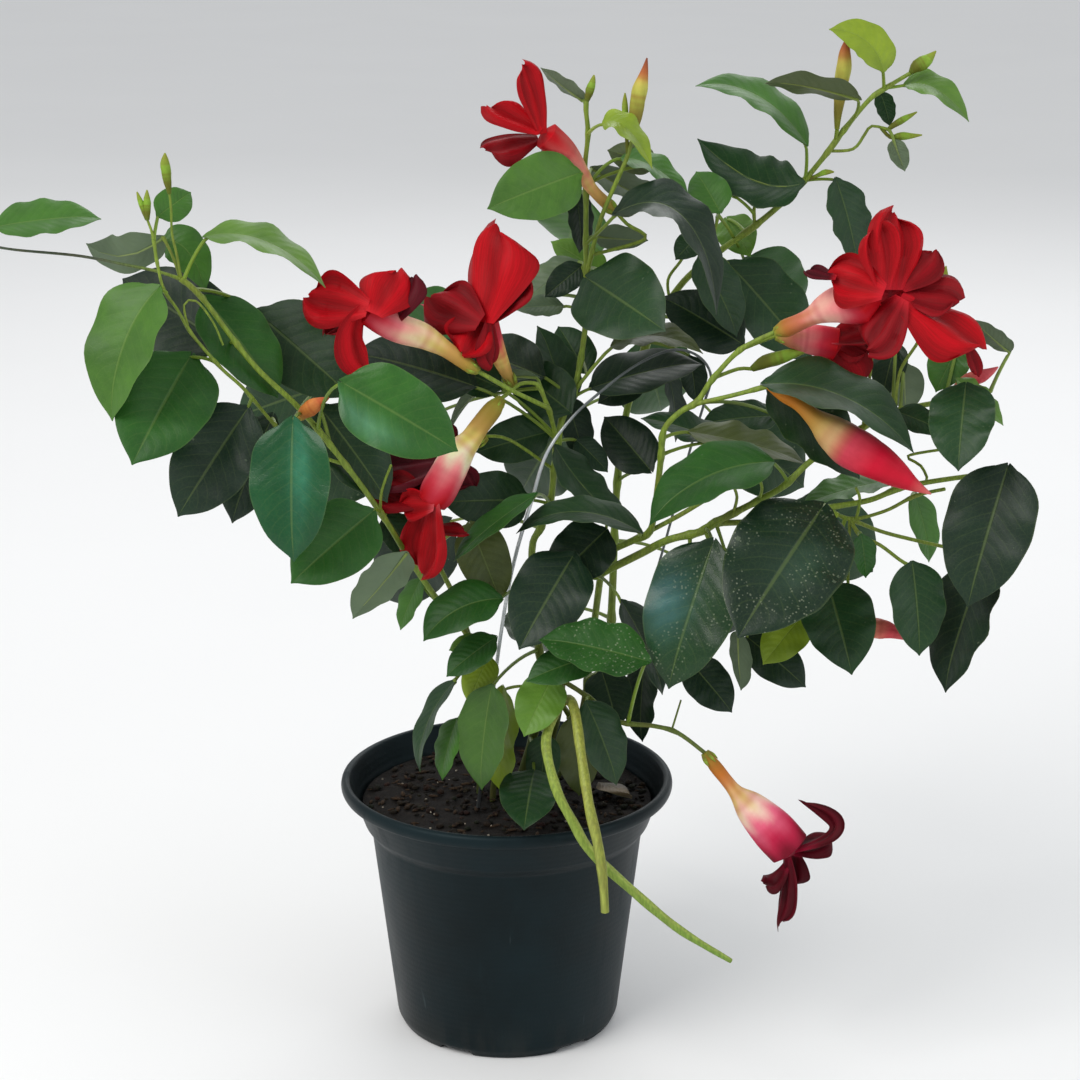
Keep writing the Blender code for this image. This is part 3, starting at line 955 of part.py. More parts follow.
def keep_largest(ob, weld=2e-6):
    """Weld stray points and keep the largest closed piece."""
    bm = bmesh.new()
    bm.from_mesh(ob.data)
    if weld > 0.0:
        bmesh.ops.remove_doubles(bm, verts=bm.verts, dist=weld)
        bmesh.ops.dissolve_degenerate(bm, dist=weld, edges=bm.edges)
    bm.faces.ensure_lookup_table()
    seen_f, groups = set(), []
    for f in bm.faces:
        if f.index in seen_f:
            continue
        stack, group = [f], []
        seen_f.add(f.index)
        while stack:
            g = stack.pop()
            group.append(g)
            for e in g.edges:
                for h in e.link_faces:
                    if h.index not in seen_f:
                        seen_f.add(h.index)
                        stack.append(h)
        groups.append(group)
    n = len(groups)
    if n > 1:
        vols = [abs(signed_volume(g)) for g in groups]
        best = max(range(n), key=lambda i: vols[i])
        kill = [f for i, g in enumerate(groups) if i != best for f in g]
        bmesh.ops.delete(bm, geom=kill, context='FACES')
        loose = [v for v in bm.verts if not v.link_faces]
        bmesh.ops.delete(bm, geom=loose, context='VERTS')
    if bm.calc_volume(signed=True) < 0:
        bmesh.ops.reverse_faces(bm, faces=bm.faces)
    bm.to_mesh(ob.data)
    bm.free()
    ob.data.update()
    return n


def edges_sound(ob):
    bm = bmesh.new()
    bm.from_mesh(ob.data)
    ok = all(len(e.link_faces) == 2 for e in bm.edges)
    bm.free()
    return ok


def volume_of(ob):
    bm = bmesh.new()
    bm.from_mesh(ob.data)
    v = abs(signed_volume(bm.faces)) * 1e9
    bm.free()
    return v


def bvh_of(ob):
    bm = bmesh.new()
    bm.from_mesh(ob.data)
    t = BVHTree.FromBMesh(bm, epsilon=0.0)
    bm.free()
    return t


def bounds_of(ob):
    xs = [v.co for v in ob.data.vertices]
    lo = [min(c[i] for c in xs) for i in range(3)]
    hi = [max(c[i] for c in xs) for i in range(3)]
    return lo, hi


def apart(a, b, pad=0.0):
    return any(a[0][i] > b[1][i] + pad or b[0][i] > a[1][i] + pad for i in range(3))


# -------------------------------------------------------------- pot and soil
def revolve(profile, n=40):
    """Closed profile (r, z) turned about Z; points with r = 0 close the ends, flat ends as one face."""
    verts, faces, rows = [], [], []
    flat_start = abs(profile[0][1] - profile[1][1]) < 1e-9
    flat_end = abs(profile[-1][1] - profile[-2][1]) < 1e-9
    profile = profile[1 if flat_start else 0:len(profile) - (1 if flat_end else 0)]
    for r, z in profile:
        if r < 1e-6:
            rows.append([len(verts)])
            verts.append((0.0, 0.0, z))
        else:
            rows.append(list(range(len(verts), len(verts) + n)))
            for i in range(n):
                a = 2 * math.pi * i / n
                verts.append((r * math.cos(a), r * math.sin(a), z))
    for a, b in zip(rows, rows[1:]):
        for i in range(n):
            j = (i + 1) % n
            if len(a) == 1:
                faces.append((a[0], b[i], b[j]))
            elif len(b) == 1:
                faces.append((a[i], b[0], a[j]))
            else:
                faces.append((a[i], b[i], b[j], a[j]))
    if flat_start:
        faces.append(tuple(rows[0]))
    if flat_end:
        faces.append(tuple(reversed(rows[-1])))
    return verts, faces


def pot_profile():
    t = WALL_T
    return [(0, 0), (FOOT_R, 0), (WALL_LOW_R, FOOT_Z), (WALL_TOP_R, COLLAR_Z - 1.5), (COLLAR_LOW_R, COLLAR_Z),
            (COLLAR_TOP_R, POT_H - LIP_H - 1.0), (RIM_R - 1.2, POT_H - LIP_H), (RIM_R, POT_H - LIP_H * 0.6),
            (RIM_R - 0.6, POT_H - 1.2), (RIM_R - 2.6, POT_H), (RIM_R - 4.6, POT_H - 1.0),
            (COLLAR_TOP_R - 1.4, POT_H - LIP_H - 4.0), (COLLAR_LOW_R - t, COLLAR_Z - 1.0),
            (WALL_TOP_R - t, COLLAR_Z - 4.0), (WALL_LOW_R - t, FOOT_Z), (WALL_LOW_R - t - 2.0, 3.0), (0, 3.0)]


def soil_profile():
    t = WALL_T + GAP
    return [(0, 3.0 + GAP), (WALL_LOW_R - t - 2.4, 3.0 + GAP), (WALL_LOW_R - t - 0.2, FOOT_Z + 0.4),
            (WALL_TOP_R - t - 0.1, COLLAR_Z - 4.0), (COLLAR_LOW_R - t - 0.1, COLLAR_Z - 0.6),
            (COLLAR_TOP_R - 4.4, SOIL_Z - 1.0), (COLLAR_TOP_R - 6.0, SOIL_Z - 0.2), (0, SOIL_Z)]


def box_solid(cx, cy, cz, sx, sy, sz, turn):
    c, s = math.cos(turn), math.sin(turn)
    v = []
    for dx, dy, dz in ((-1, -1, -1), (1, -1, -1), (1, 1, -1), (-1, 1, -1), (-1, -1, 1), (1, -1, 1), (1, 1, 1), (-1, 1, 1)):
        x, y, z = dx * sx / 2, dy * sy / 2, dz * sz / 2
        v.append((cx + c * x - s * y, cy + s * x + c * y, cz + z))
    return v, [(0, 3, 2, 1), (4, 5, 6, 7), (0, 1, 5, 4), (1, 2, 6, 5), (2, 3, 7, 6), (3, 0, 4, 7)]


NOTCHES = (-118.0, -52.0, 8.0, 68.0, 128.0, 188.0)     # bearings of the foot's drain notches, degrees

blades = make_blades()
solve_depths(blades)
by_name = {b.name: b for b in blades}

# Every part is a list of simple solids that are joined; each simple solid can
# be made a little fat, to cut clearance into its neighbours.
PARTS = []


def part(name, kinds, tone):
    PARTS.append(dict(name=name, kinds=kinds, tone=tone))


part('wire_hoop', [('hoop', None)], 'wire')
for sname in STEMS:
    kinds = [('stem', br) for br in STEMS[sname]]
    kinds += [('leafin', b) for b in blades if not b.own and b.foot[0] == sname]
    kinds += [('bud', q[0]) for q in BUDS.values() if q[2] == sname]
    part(sname, kinds, 'stem')
for fname, f in FLOWERS.items():
    kinds = [('ftube', f['tube'])]
    mouth, inner = at(*f['tube'][-1][:3]), at(*f['tube'][-2][:3])
    for i, q in enumerate(f['petals']):
        bl = Blade('p', q[0:2], q[2:4], q[4], q[5], q[7], petal=True)
        if vlen(vsub(bl.mid(0.1), mouth)) > 0.8:
            kinds.append(('claw', (vlerp(mouth, inner, 0.25), bl.mid(0.12))))
        kinds.append(('petal', bl))
    part(fname, kinds, 'petal')
for bname, q in BUDS.items():
    if q[2] is None:
        part(bname, [('bud', q[0])], 'bud')
part('seed_pods', [('pod', p) for p in PODS], 'pod')
part('leaf_dry', [('dry', None)], 'dry')
AREAS = {'L0': 'left', 'L1': 'left', 'L3': 'low', 'L4': 'low', 'L5': 'low', 'T': 'top', 'U': 'upper', 'R': 'right'}
_count = {}
for b in blades:
    if b.own:
        area = AREAS.get(b.name[:2]) or AREAS[b.name[0]]
        _count[area] = _count.get(area, 0) + 1
        part('leaf_%s_%02d' % (area, _count[area]), [('leaf', b)], 'leaf')
        PARTS[-1]['code'] = b.name


def primitive(kind, data, grow=0.0):
    if kind == 'hoop':
        w = [pt(q) for q in HOOP]
        return tube(w, [HOOP_R] * len(w), 6, grow)
    if kind == 'stem':
        return stem_solid(data, grow)
    if kind == 'leafin':
        return leaf_solid(data, grow, True)
    if kind == 'leaf':
        return leaf_solid(data, grow, False)
    if kind == 'ftube':
        return tube([at(*q[:3]) for q in data], [q[3] for q in data], 8, grow)
    if kind == 'bud':
        return tube([at(*q[:3]) for q in data], [q[3] for q in data], 6, grow)
    if kind == 'pod':
        return tube([at(*q[:3]) for q in data], [q[3] for q in data], 6, grow)
    if kind == 'petal':
        return petal_solid(data, grow)
    if kind == 'claw':
        return tube(list(data), [1.7, 1.2], 5, grow)
    if kind == 'dry':
        a, b = pt(DRY[0]), pt(DRY[1])
        ax = vnorm(vsub(b, a))
        w = vnorm(vcross(ax, (0, 0, 1)))
        n = vcross(w, ax)
        L, rings = vlen(vsub(b, a)), []
        for t, k in ((0.04, 0.3), (0.3, 0.9), (0.6, 1.0), (0.86, 0.6)):
            c = vadd(vlerp(a, b, t), vmul(n, 1.2 + 1.2 * math.sin(math.pi * t)))
            h = DRY[2] * 0.5 * k
            rings.append([vadd(c, vadd(vmul(w, h), vmul(n, -0.8))), vadd(c, vmul(n, 0.6 + grow)),
                          vadd(c, vadd(vmul(w, -h), vmul(n, -0.8))), vadd(c, vmul(n, -0.6 - grow))])
        return loft(rings, vadd(a, vmul(n, 1.0)), vadd(b, vmul(n, 0.8)))
    raise ValueError(kind)


built = []           # (object, list of (primitive, grown primitive source))
pot = make_object('pot', revolve(pot_profile()))
for k, deg in enumerate(NOTCHES):
    a = math.radians(deg)
    cutter = make_object('notch_cut', box_solid((FOOT_R + 1) * math.cos(a), (FOOT_R + 1) * math.sin(a), 0.0,
                                                9.0, 17.0, 5.0, a))
    boolean(pot, cutter, 'DIFFERENCE')
    drop(cutter)
soil = make_object('soil', revolve(soil_profile()))

done = []            # finished parts: dict(ob, bvh, box, prims)
for spec in PARTS:
    prims = []
    ob = None
    for kind, data in spec['kinds']:
        piece = make_object(spec['name'] if ob is None else 'join', primitive(kind, data))
        entry = dict(kind=kind, data=data, bvh=bvh_of(piece), box=bounds_of(piece))
        if ob is None:
            ob = piece
            prims.append(entry)
        else:
            label = '%s %s %s' % (spec['name'], kind, getattr(data, 'name', ''))
            if join(ob, piece, label):
                prims.append(entry)
            drop(piece)
    # clearance to everything finished before
    cuts = 0
    for _round in range(2):
        tree, box = bvh_of(ob), bounds_of(ob)
        hits = []
        for other in done:
            if apart(box, other['box']):
                continue
            for q in other['prims']:
                if not apart(box, q['box']) and tree.overlap(q['bvh']):
                    hits.append(q)
        if not hits:
            break
        for q in hits:
            if clear_of(ob, primitive(q['kind'], q['data'], GAP), '%s by %s' % (spec['name'], q['kind'])):
                cuts += 1
    if cuts:
        report.append('%s trimmed %d' % (spec['name'], cuts))
    done.append(dict(ob=ob, bvh=bvh_of(ob), box=bounds_of(ob), prims=prims, spec=spec))

# ----------------------------------------------------------------- materials
TONES = {
    'pot': ((0.012, 0.020, 0.024), 0.45), 'soil': ((0.020, 0.014, 0.010), 0.95), 'wire': ((0.62, 0.63, 0.62), 0.4),
    'stem': ((0.20, 0.30, 0.05), 0.6), 'petal': ((0.55, 0.01, 0.02), 0.6), 'bud': ((0.40, 0.45, 0.10), 0.55),
    'pod': ((0.24, 0.36, 0.09), 0.55), 'dry': ((0.10, 0.07, 0.04), 0.9), 'leaf': ((0.04, 0.12, 0.02), 0.4),
}


def paint(ob, tone):
    c, rough = TONES[tone]
    m = bpy.data.materials.new(ob.name + '_mat')
    m.use_nodes = True
    b = m.node_tree.nodes['Principled BSDF']
    b.inputs['Base Color'].default_value = (c[0], c[1], c[2], 1.0)
    b.inputs['Roughness'].default_value = rough
    if tone == 'wire':
        b.inputs['Metallic'].default_value = 1.0
    ob.data.materials.clear()
    ob.data.materials.append(m)


paint(pot, 'pot')
paint(soil, 'soil')
for d in done:
    paint(d['ob'], d['spec']['tone'])
for ob in (pot, soil):
    for f in ob.data.polygons:
        f.use_smooth = True
    ob.data.set_sharp_from_angle(angle=math.radians(32))
for d in done:
    if d['spec']['tone'] in ('wire', 'stem', 'bud', 'pod', 'petal'):
        for f in d['ob'].data.polygons:
            f.use_smooth = True
        d['ob'].data.set_sharp_from_angle(angle=math.radians(50))
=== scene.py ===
import bpy
import bmesh
import math
import random
import numpy as np
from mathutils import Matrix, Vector, noise
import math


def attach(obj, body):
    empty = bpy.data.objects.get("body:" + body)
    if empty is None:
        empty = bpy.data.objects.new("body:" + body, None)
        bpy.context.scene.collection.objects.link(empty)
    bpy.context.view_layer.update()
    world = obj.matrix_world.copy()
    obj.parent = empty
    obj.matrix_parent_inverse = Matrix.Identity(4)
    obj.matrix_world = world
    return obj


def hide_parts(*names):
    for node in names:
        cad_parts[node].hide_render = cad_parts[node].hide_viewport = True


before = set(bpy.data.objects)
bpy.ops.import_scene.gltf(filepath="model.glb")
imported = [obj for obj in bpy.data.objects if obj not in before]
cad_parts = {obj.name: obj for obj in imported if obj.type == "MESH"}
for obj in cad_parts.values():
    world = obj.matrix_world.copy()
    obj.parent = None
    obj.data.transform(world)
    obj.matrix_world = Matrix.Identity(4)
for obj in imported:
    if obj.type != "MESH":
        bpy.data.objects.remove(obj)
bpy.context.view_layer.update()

# ---------------------------------------------------------------- dimensions
# All lengths in millimetres; the build scales them to metres.
RIM_R = 85.0            # outer radius of the pot's rolled rim
POT_H = 133.0           # height of the pot
LIP_H = 7.0             # height of the rolled lip
COLLAR_TOP_R = 78.5     # collar under the lip
COLLAR_LOW_R = 73.0     # bottom of the collar
COLLAR_Z = 109.0        # height of the collar's lower edge
WALL_TOP_R = 69.5       # wall just under the collar
WALL_LOW_R = 57.5       # wall at the foot
FOOT_R = 55.0           # flat foot
FOOT_Z = 5.0            # height of the foot's bevel
WALL_T = 2.2            # wall thickness
SOIL_Z = 121.0          # surface of the soil
GAP = 0.35              # clearance left between neighbouring parts
PETIOLE_R = 0.95        # leaf stalk radius
BLADE_T = 1.1           # blade thickness at the midrib
BLADE_RATIO = 0.64      # width of a grown blade over its length
FOLD = 0.26             # V fold of the blades (radians each side)
LAYER_GAP = 2.6         # least depth between two blades that lie one over another
# The viewpoint from which leaf positions are given: a place in front of the
# plant, looking a little down.  Positions are (across, down, depth) where
# across and down are measured on a square sheet of side 1080 seen from that
# point, and depth is the world Y in millimetres.
EYE = (17.0, -1293.0, 640.8)
EYE_DIP = 16.5          # degrees below level
EYE_F = 2700.0          # sheet distance, in sheet units

_cp, _sp = math.cos(math.radians(EYE_DIP)), math.sin(math.radians(EYE_DIP))


def vadd(a, b): return (a[0] + b[0], a[1] + b[1], a[2] + b[2])
def vsub(a, b): return (a[0] - b[0], a[1] - b[1], a[2] - b[2])
def vmul(a, k): return (a[0] * k, a[1] * k, a[2] * k)
def vdot(a, b): return a[0] * b[0] + a[1] * b[1] + a[2] * b[2]
def vcross(a, b): return (a[1] * b[2] - a[2] * b[1], a[2] * b[0] - a[0] * b[2], a[0] * b[1] - a[1] * b[0])
def vlen(a): return math.sqrt(vdot(a, a))
def vnorm(a):
    l = vlen(a)
    return (a[0] / l, a[1] / l, a[2] / l) if l > 1e-12 else (0.0, 0.0, 1.0)
def vlerp(a, b, t): return (a[0] + (b[0] - a[0]) * t, a[1] + (b[1] - a[1]) * t, a[2] + (b[2] - a[2]) * t)


def at(px, py, y):
    """World point (mm) seen at (px, py) on the sheet, at depth y."""
    a, b = (px - 540.0) / EYE_F, (py - 540.0) / EYE_F
    d = (a, _cp - b * _sp, -_sp - b * _cp)
    t = (y - EYE[1]) / d[1]
    return (EYE[0] + t * d[0], EYE[1] + t * d[1], EYE[2] + t * d[2])


def seen(p):
    """Sheet position and distance of a world point."""
    r = vsub(p, EYE)
    d = r[1] * _cp - r[2] * _sp
    return 540.0 + EYE_F * r[0] / d, 540.0 - EYE_F * (r[1] * _sp + r[2] * _cp) / d, d


def pt(q):
    """A table point: (px, py, y) on the sheet or ('w', x, y, z) in the world."""
    if q[0] == 'w':
        return (q[1], q[2], q[3])
    return at(q[0], q[1], q[2])


# --------------------------------------------------------------------- stems
# name: list of (points, radius at the start, radius at the end)
STEMS = {
    'stem_left': [
        ([('w', -7, -4, 121.3), (500, 720, -8), (470, 640, -26), (440, 603, -36), (412, 563, -46), (380, 512, -56),
          (338, 455, -62), (299, 408, -66), (253, 364, -68), (202, 298, -70), (181, 279, -70)], 2.3, 1.6),
        ([(181, 279, -70), (156, 271, -71), (126, 265, -72), (80, 256, -73), (17, 250, -74), (-8, 246, -74)], 1.3, 0.9),
        ([(345, 466, -62), (300, 448, -63), (274, 424, -64), (244, 389, -72), (223, 370, -76), (204, 349, -79),
          (189, 330, -81), (177, 309, -82), (164, 290, -82), (157, 262, -80), (153, 237, -78)], 1.2, 0.9),
        ([(181, 279, -70), (172, 255, -69), (163, 237, -68)], 1.0, 0.8),
        ([(181, 279, -70), (177, 256, -72), (172, 233, -74), (171, 208, -75), (169, 190, -76)], 0.9, 0.7),
        ([(157, 262, -80), (153, 236, -79), (147, 219, -78)], 0.9, 0.8),
        ([(380, 512, -56), (382, 490, -60), (391, 465, -64)], 1.0, 0.8),
        ([(189, 330, -81), (184, 305, -78), (196, 301, -76), (213, 322, -74), (223, 345, -73)], 0.7, 0.7),
    ],
    'stem_left_low': [
        ([('w', -14, 6, 121.3), (486, 700, 0), (470, 640, -8), (456, 600, -16), (436, 560, -22), (424, 530, -26)], 1.9, 1.3),
        ([(486, 700, 0), (488, 680, -22), (465, 672, -34), (455, 680, -40)], 1.0, 0.8),
    ],
    'stem_center': [
        ([('w', 6, 6, 121.3), (541, 700, 2), (536, 620, -2), (532, 550, -6), (541, 527, -8), (551, 498, -10),
          (554, 470, -12), (558, 440, -12), (563, 415, -8), (574, 392, -4), (583, 345, 0), (587, 300, 2),
          (586, 250, 2), (586, 191, 0), (585, 166, -1), (588, 134, -2), (586, 110, -2), (587, 97, -2)], 2.3, 1.1),
        ([(557, 442, -12), (553, 425, -18), (549, 410, -24), (544, 406, -30), (511, 390, -42), (478, 371, -46)], 1.3, 1.2),
        ([(550, 412, -24), (540, 388, -25), (533, 383, -26), (520, 384, -27), (511, 391, -30), (502, 398, -33)], 1.1, 1.1),
        ([(590, 275, 2), (599, 225, -6), (611, 194, -8), (626, 160, -9), (633, 136, -9)], 1.3, 1.1),
        ([(656, 262, 6), (645, 239, 3), (627, 224, 1), (616, 212, 0)], 1.0, 1.0),
    ],
    'stem_right': [
        ([('w', 14, -3, 121.3), (556, 720, -6), (565, 660, -12), (583, 583, -20), (600, 574, -22), (640, 554, -30),
          (668, 540, -36), (700, 532, -41), (716, 522, -44), (740, 510, -46), (765, 497, -48), (785, 485, -49),
          (812, 460, -48), (850, 435, -44), (895, 412, -42), (940, 402, -44), (990, 392, -44)], 2.6, 1.3),
        ([(716, 526, -44), (780, 520, -42), (828, 508, -40), (870, 500, -38), (900, 488, -38), (935, 481, -40),
          (985, 474, -44)], 1.7, 1.3),
        ([(828, 508, -40), (850, 519, -36), (885, 511, -36), (915, 496, -38), (945, 489, -42)], 1.0, 1.0),
        ([(850, 519, -36), (880, 531, -34), (910, 539, -33), (945, 547, -34), (985, 556, -38)], 1.1, 1.0),
        ([(850, 519, -36), (860, 535, -42), (880, 545, -46), (900, 560, -50), (912, 567, -52)], 1.0, 1.0),
        ([(856, 521, -36), (860, 500, -40), (856, 488, -44)], 0.9, 0.8),
        ([(759, 500, -48), (762, 488, -53), (759, 478, -56)], 0.9, 0.8),
        ([(733, 514, -46), (737, 497, -51), (732, 483, -55)], 0.9, 0.8),
        ([(900, 488, -38), (926, 482, -30), (921, 466, -26), (908, 456, -22), (945, 449, -22)], 0.8, 0.8),
    ],
    'stem_flowering': [
        ([('w', 20, 8, 121.3), (580, 720, 4), (592, 640, -2), (602, 566, -10), (607, 553, -16), (634, 540, -22),
          (650, 531, -26), (656, 500, -32), (661, 458, -40), (664, 430, -44), (680, 412, -46), (697, 402, -48),
          (712, 380, -49), (740, 350, -51), (775, 332, -53)], 2.2, 1.3),
        ([(693, 404, -48), (730, 396, -54), (768, 386, -60)], 1.2, 1.2),
        ([(714, 378, -49), (738, 369, -44), (752, 369, -40)], 1.0, 1.0),
        ([(648, 532, -25), (680, 515, -26), (710, 497, -28), (728, 487, -30)], 1.4, 1.2),
        ([(607, 553, -16), (606, 530, -18), (610, 508, -16)], 1.0, 0.8),
        ([(740, 350, -51), (762, 341, -44), (776, 336, -42)], 1.0, 1.0),
    ],
    'stem_upper_right': [
        ([('w', 26, 22, 121.3), (605, 690, 22), (612, 600, 26), (616, 500, 30), (625, 420, 36), (648, 340, 40),
          (680, 286, 42), (716, 254, 42), (756, 225, 40), (789, 197, 37), (804, 181, 35), (827, 153, 32),
          (844, 130, 30), (869, 100, 27), (884, 89, 26), (912, 72, 25)], 2.4, 1.1),
        ([(830, 152, 32), (853, 149, 33), (865, 134, 33), (872, 126, 32), (890, 130, 31)], 0.9, 0.8),
        ([(836, 142, 31), (837, 130, 28)], 1.1, 1.1),
        ([(666, 300, 42), (668, 280, 38), (680, 262, 34), (692, 245, 30), (712, 236, 28), (718, 215, 28)], 0.9, 0.8),
        ([(755, 226, 40), (754, 210, 40), (757, 196, 40)], 0.9, 0.8),
    ],
    'stem_low_right': [
        ([('w', 21, -6, 121.3), (578, 740, -12), (560, 700, -20), (556, 680, -24), (568, 684, -32), (592, 700, -40),
          (617, 721, -48), (654, 726, -55), (678, 733, -58), (705, 753, -60)], 1.6, 1.2),
        ([(560, 700, -20), (540, 680, -34), (548, 688, -44), (562, 702, -54)], 1.2, 1.2),
        ([(672, 729, -57), (681, 700, -54)], 0.6, 0.5),
    ],
}

# ---------------------------------------------------------------------- hoop
HOOP = [(478, 807, -18.5), (484, 760, -22), (492, 700, -26), (500, 640, -30), (508, 590, -33), (517, 550, -34),
        (531, 503, -34), (546, 455, -32), (570, 420, -28), (598, 394, -22), (635, 366, -14), (672, 350, -6),
        (698, 356, 4), (711, 376, 12), (704, 404, 18), (690, 450, 24), (660, 560, 34), (625, 670, 40),
        ('w', 46, 43, 121.4)]
HOOP_R = 1.1

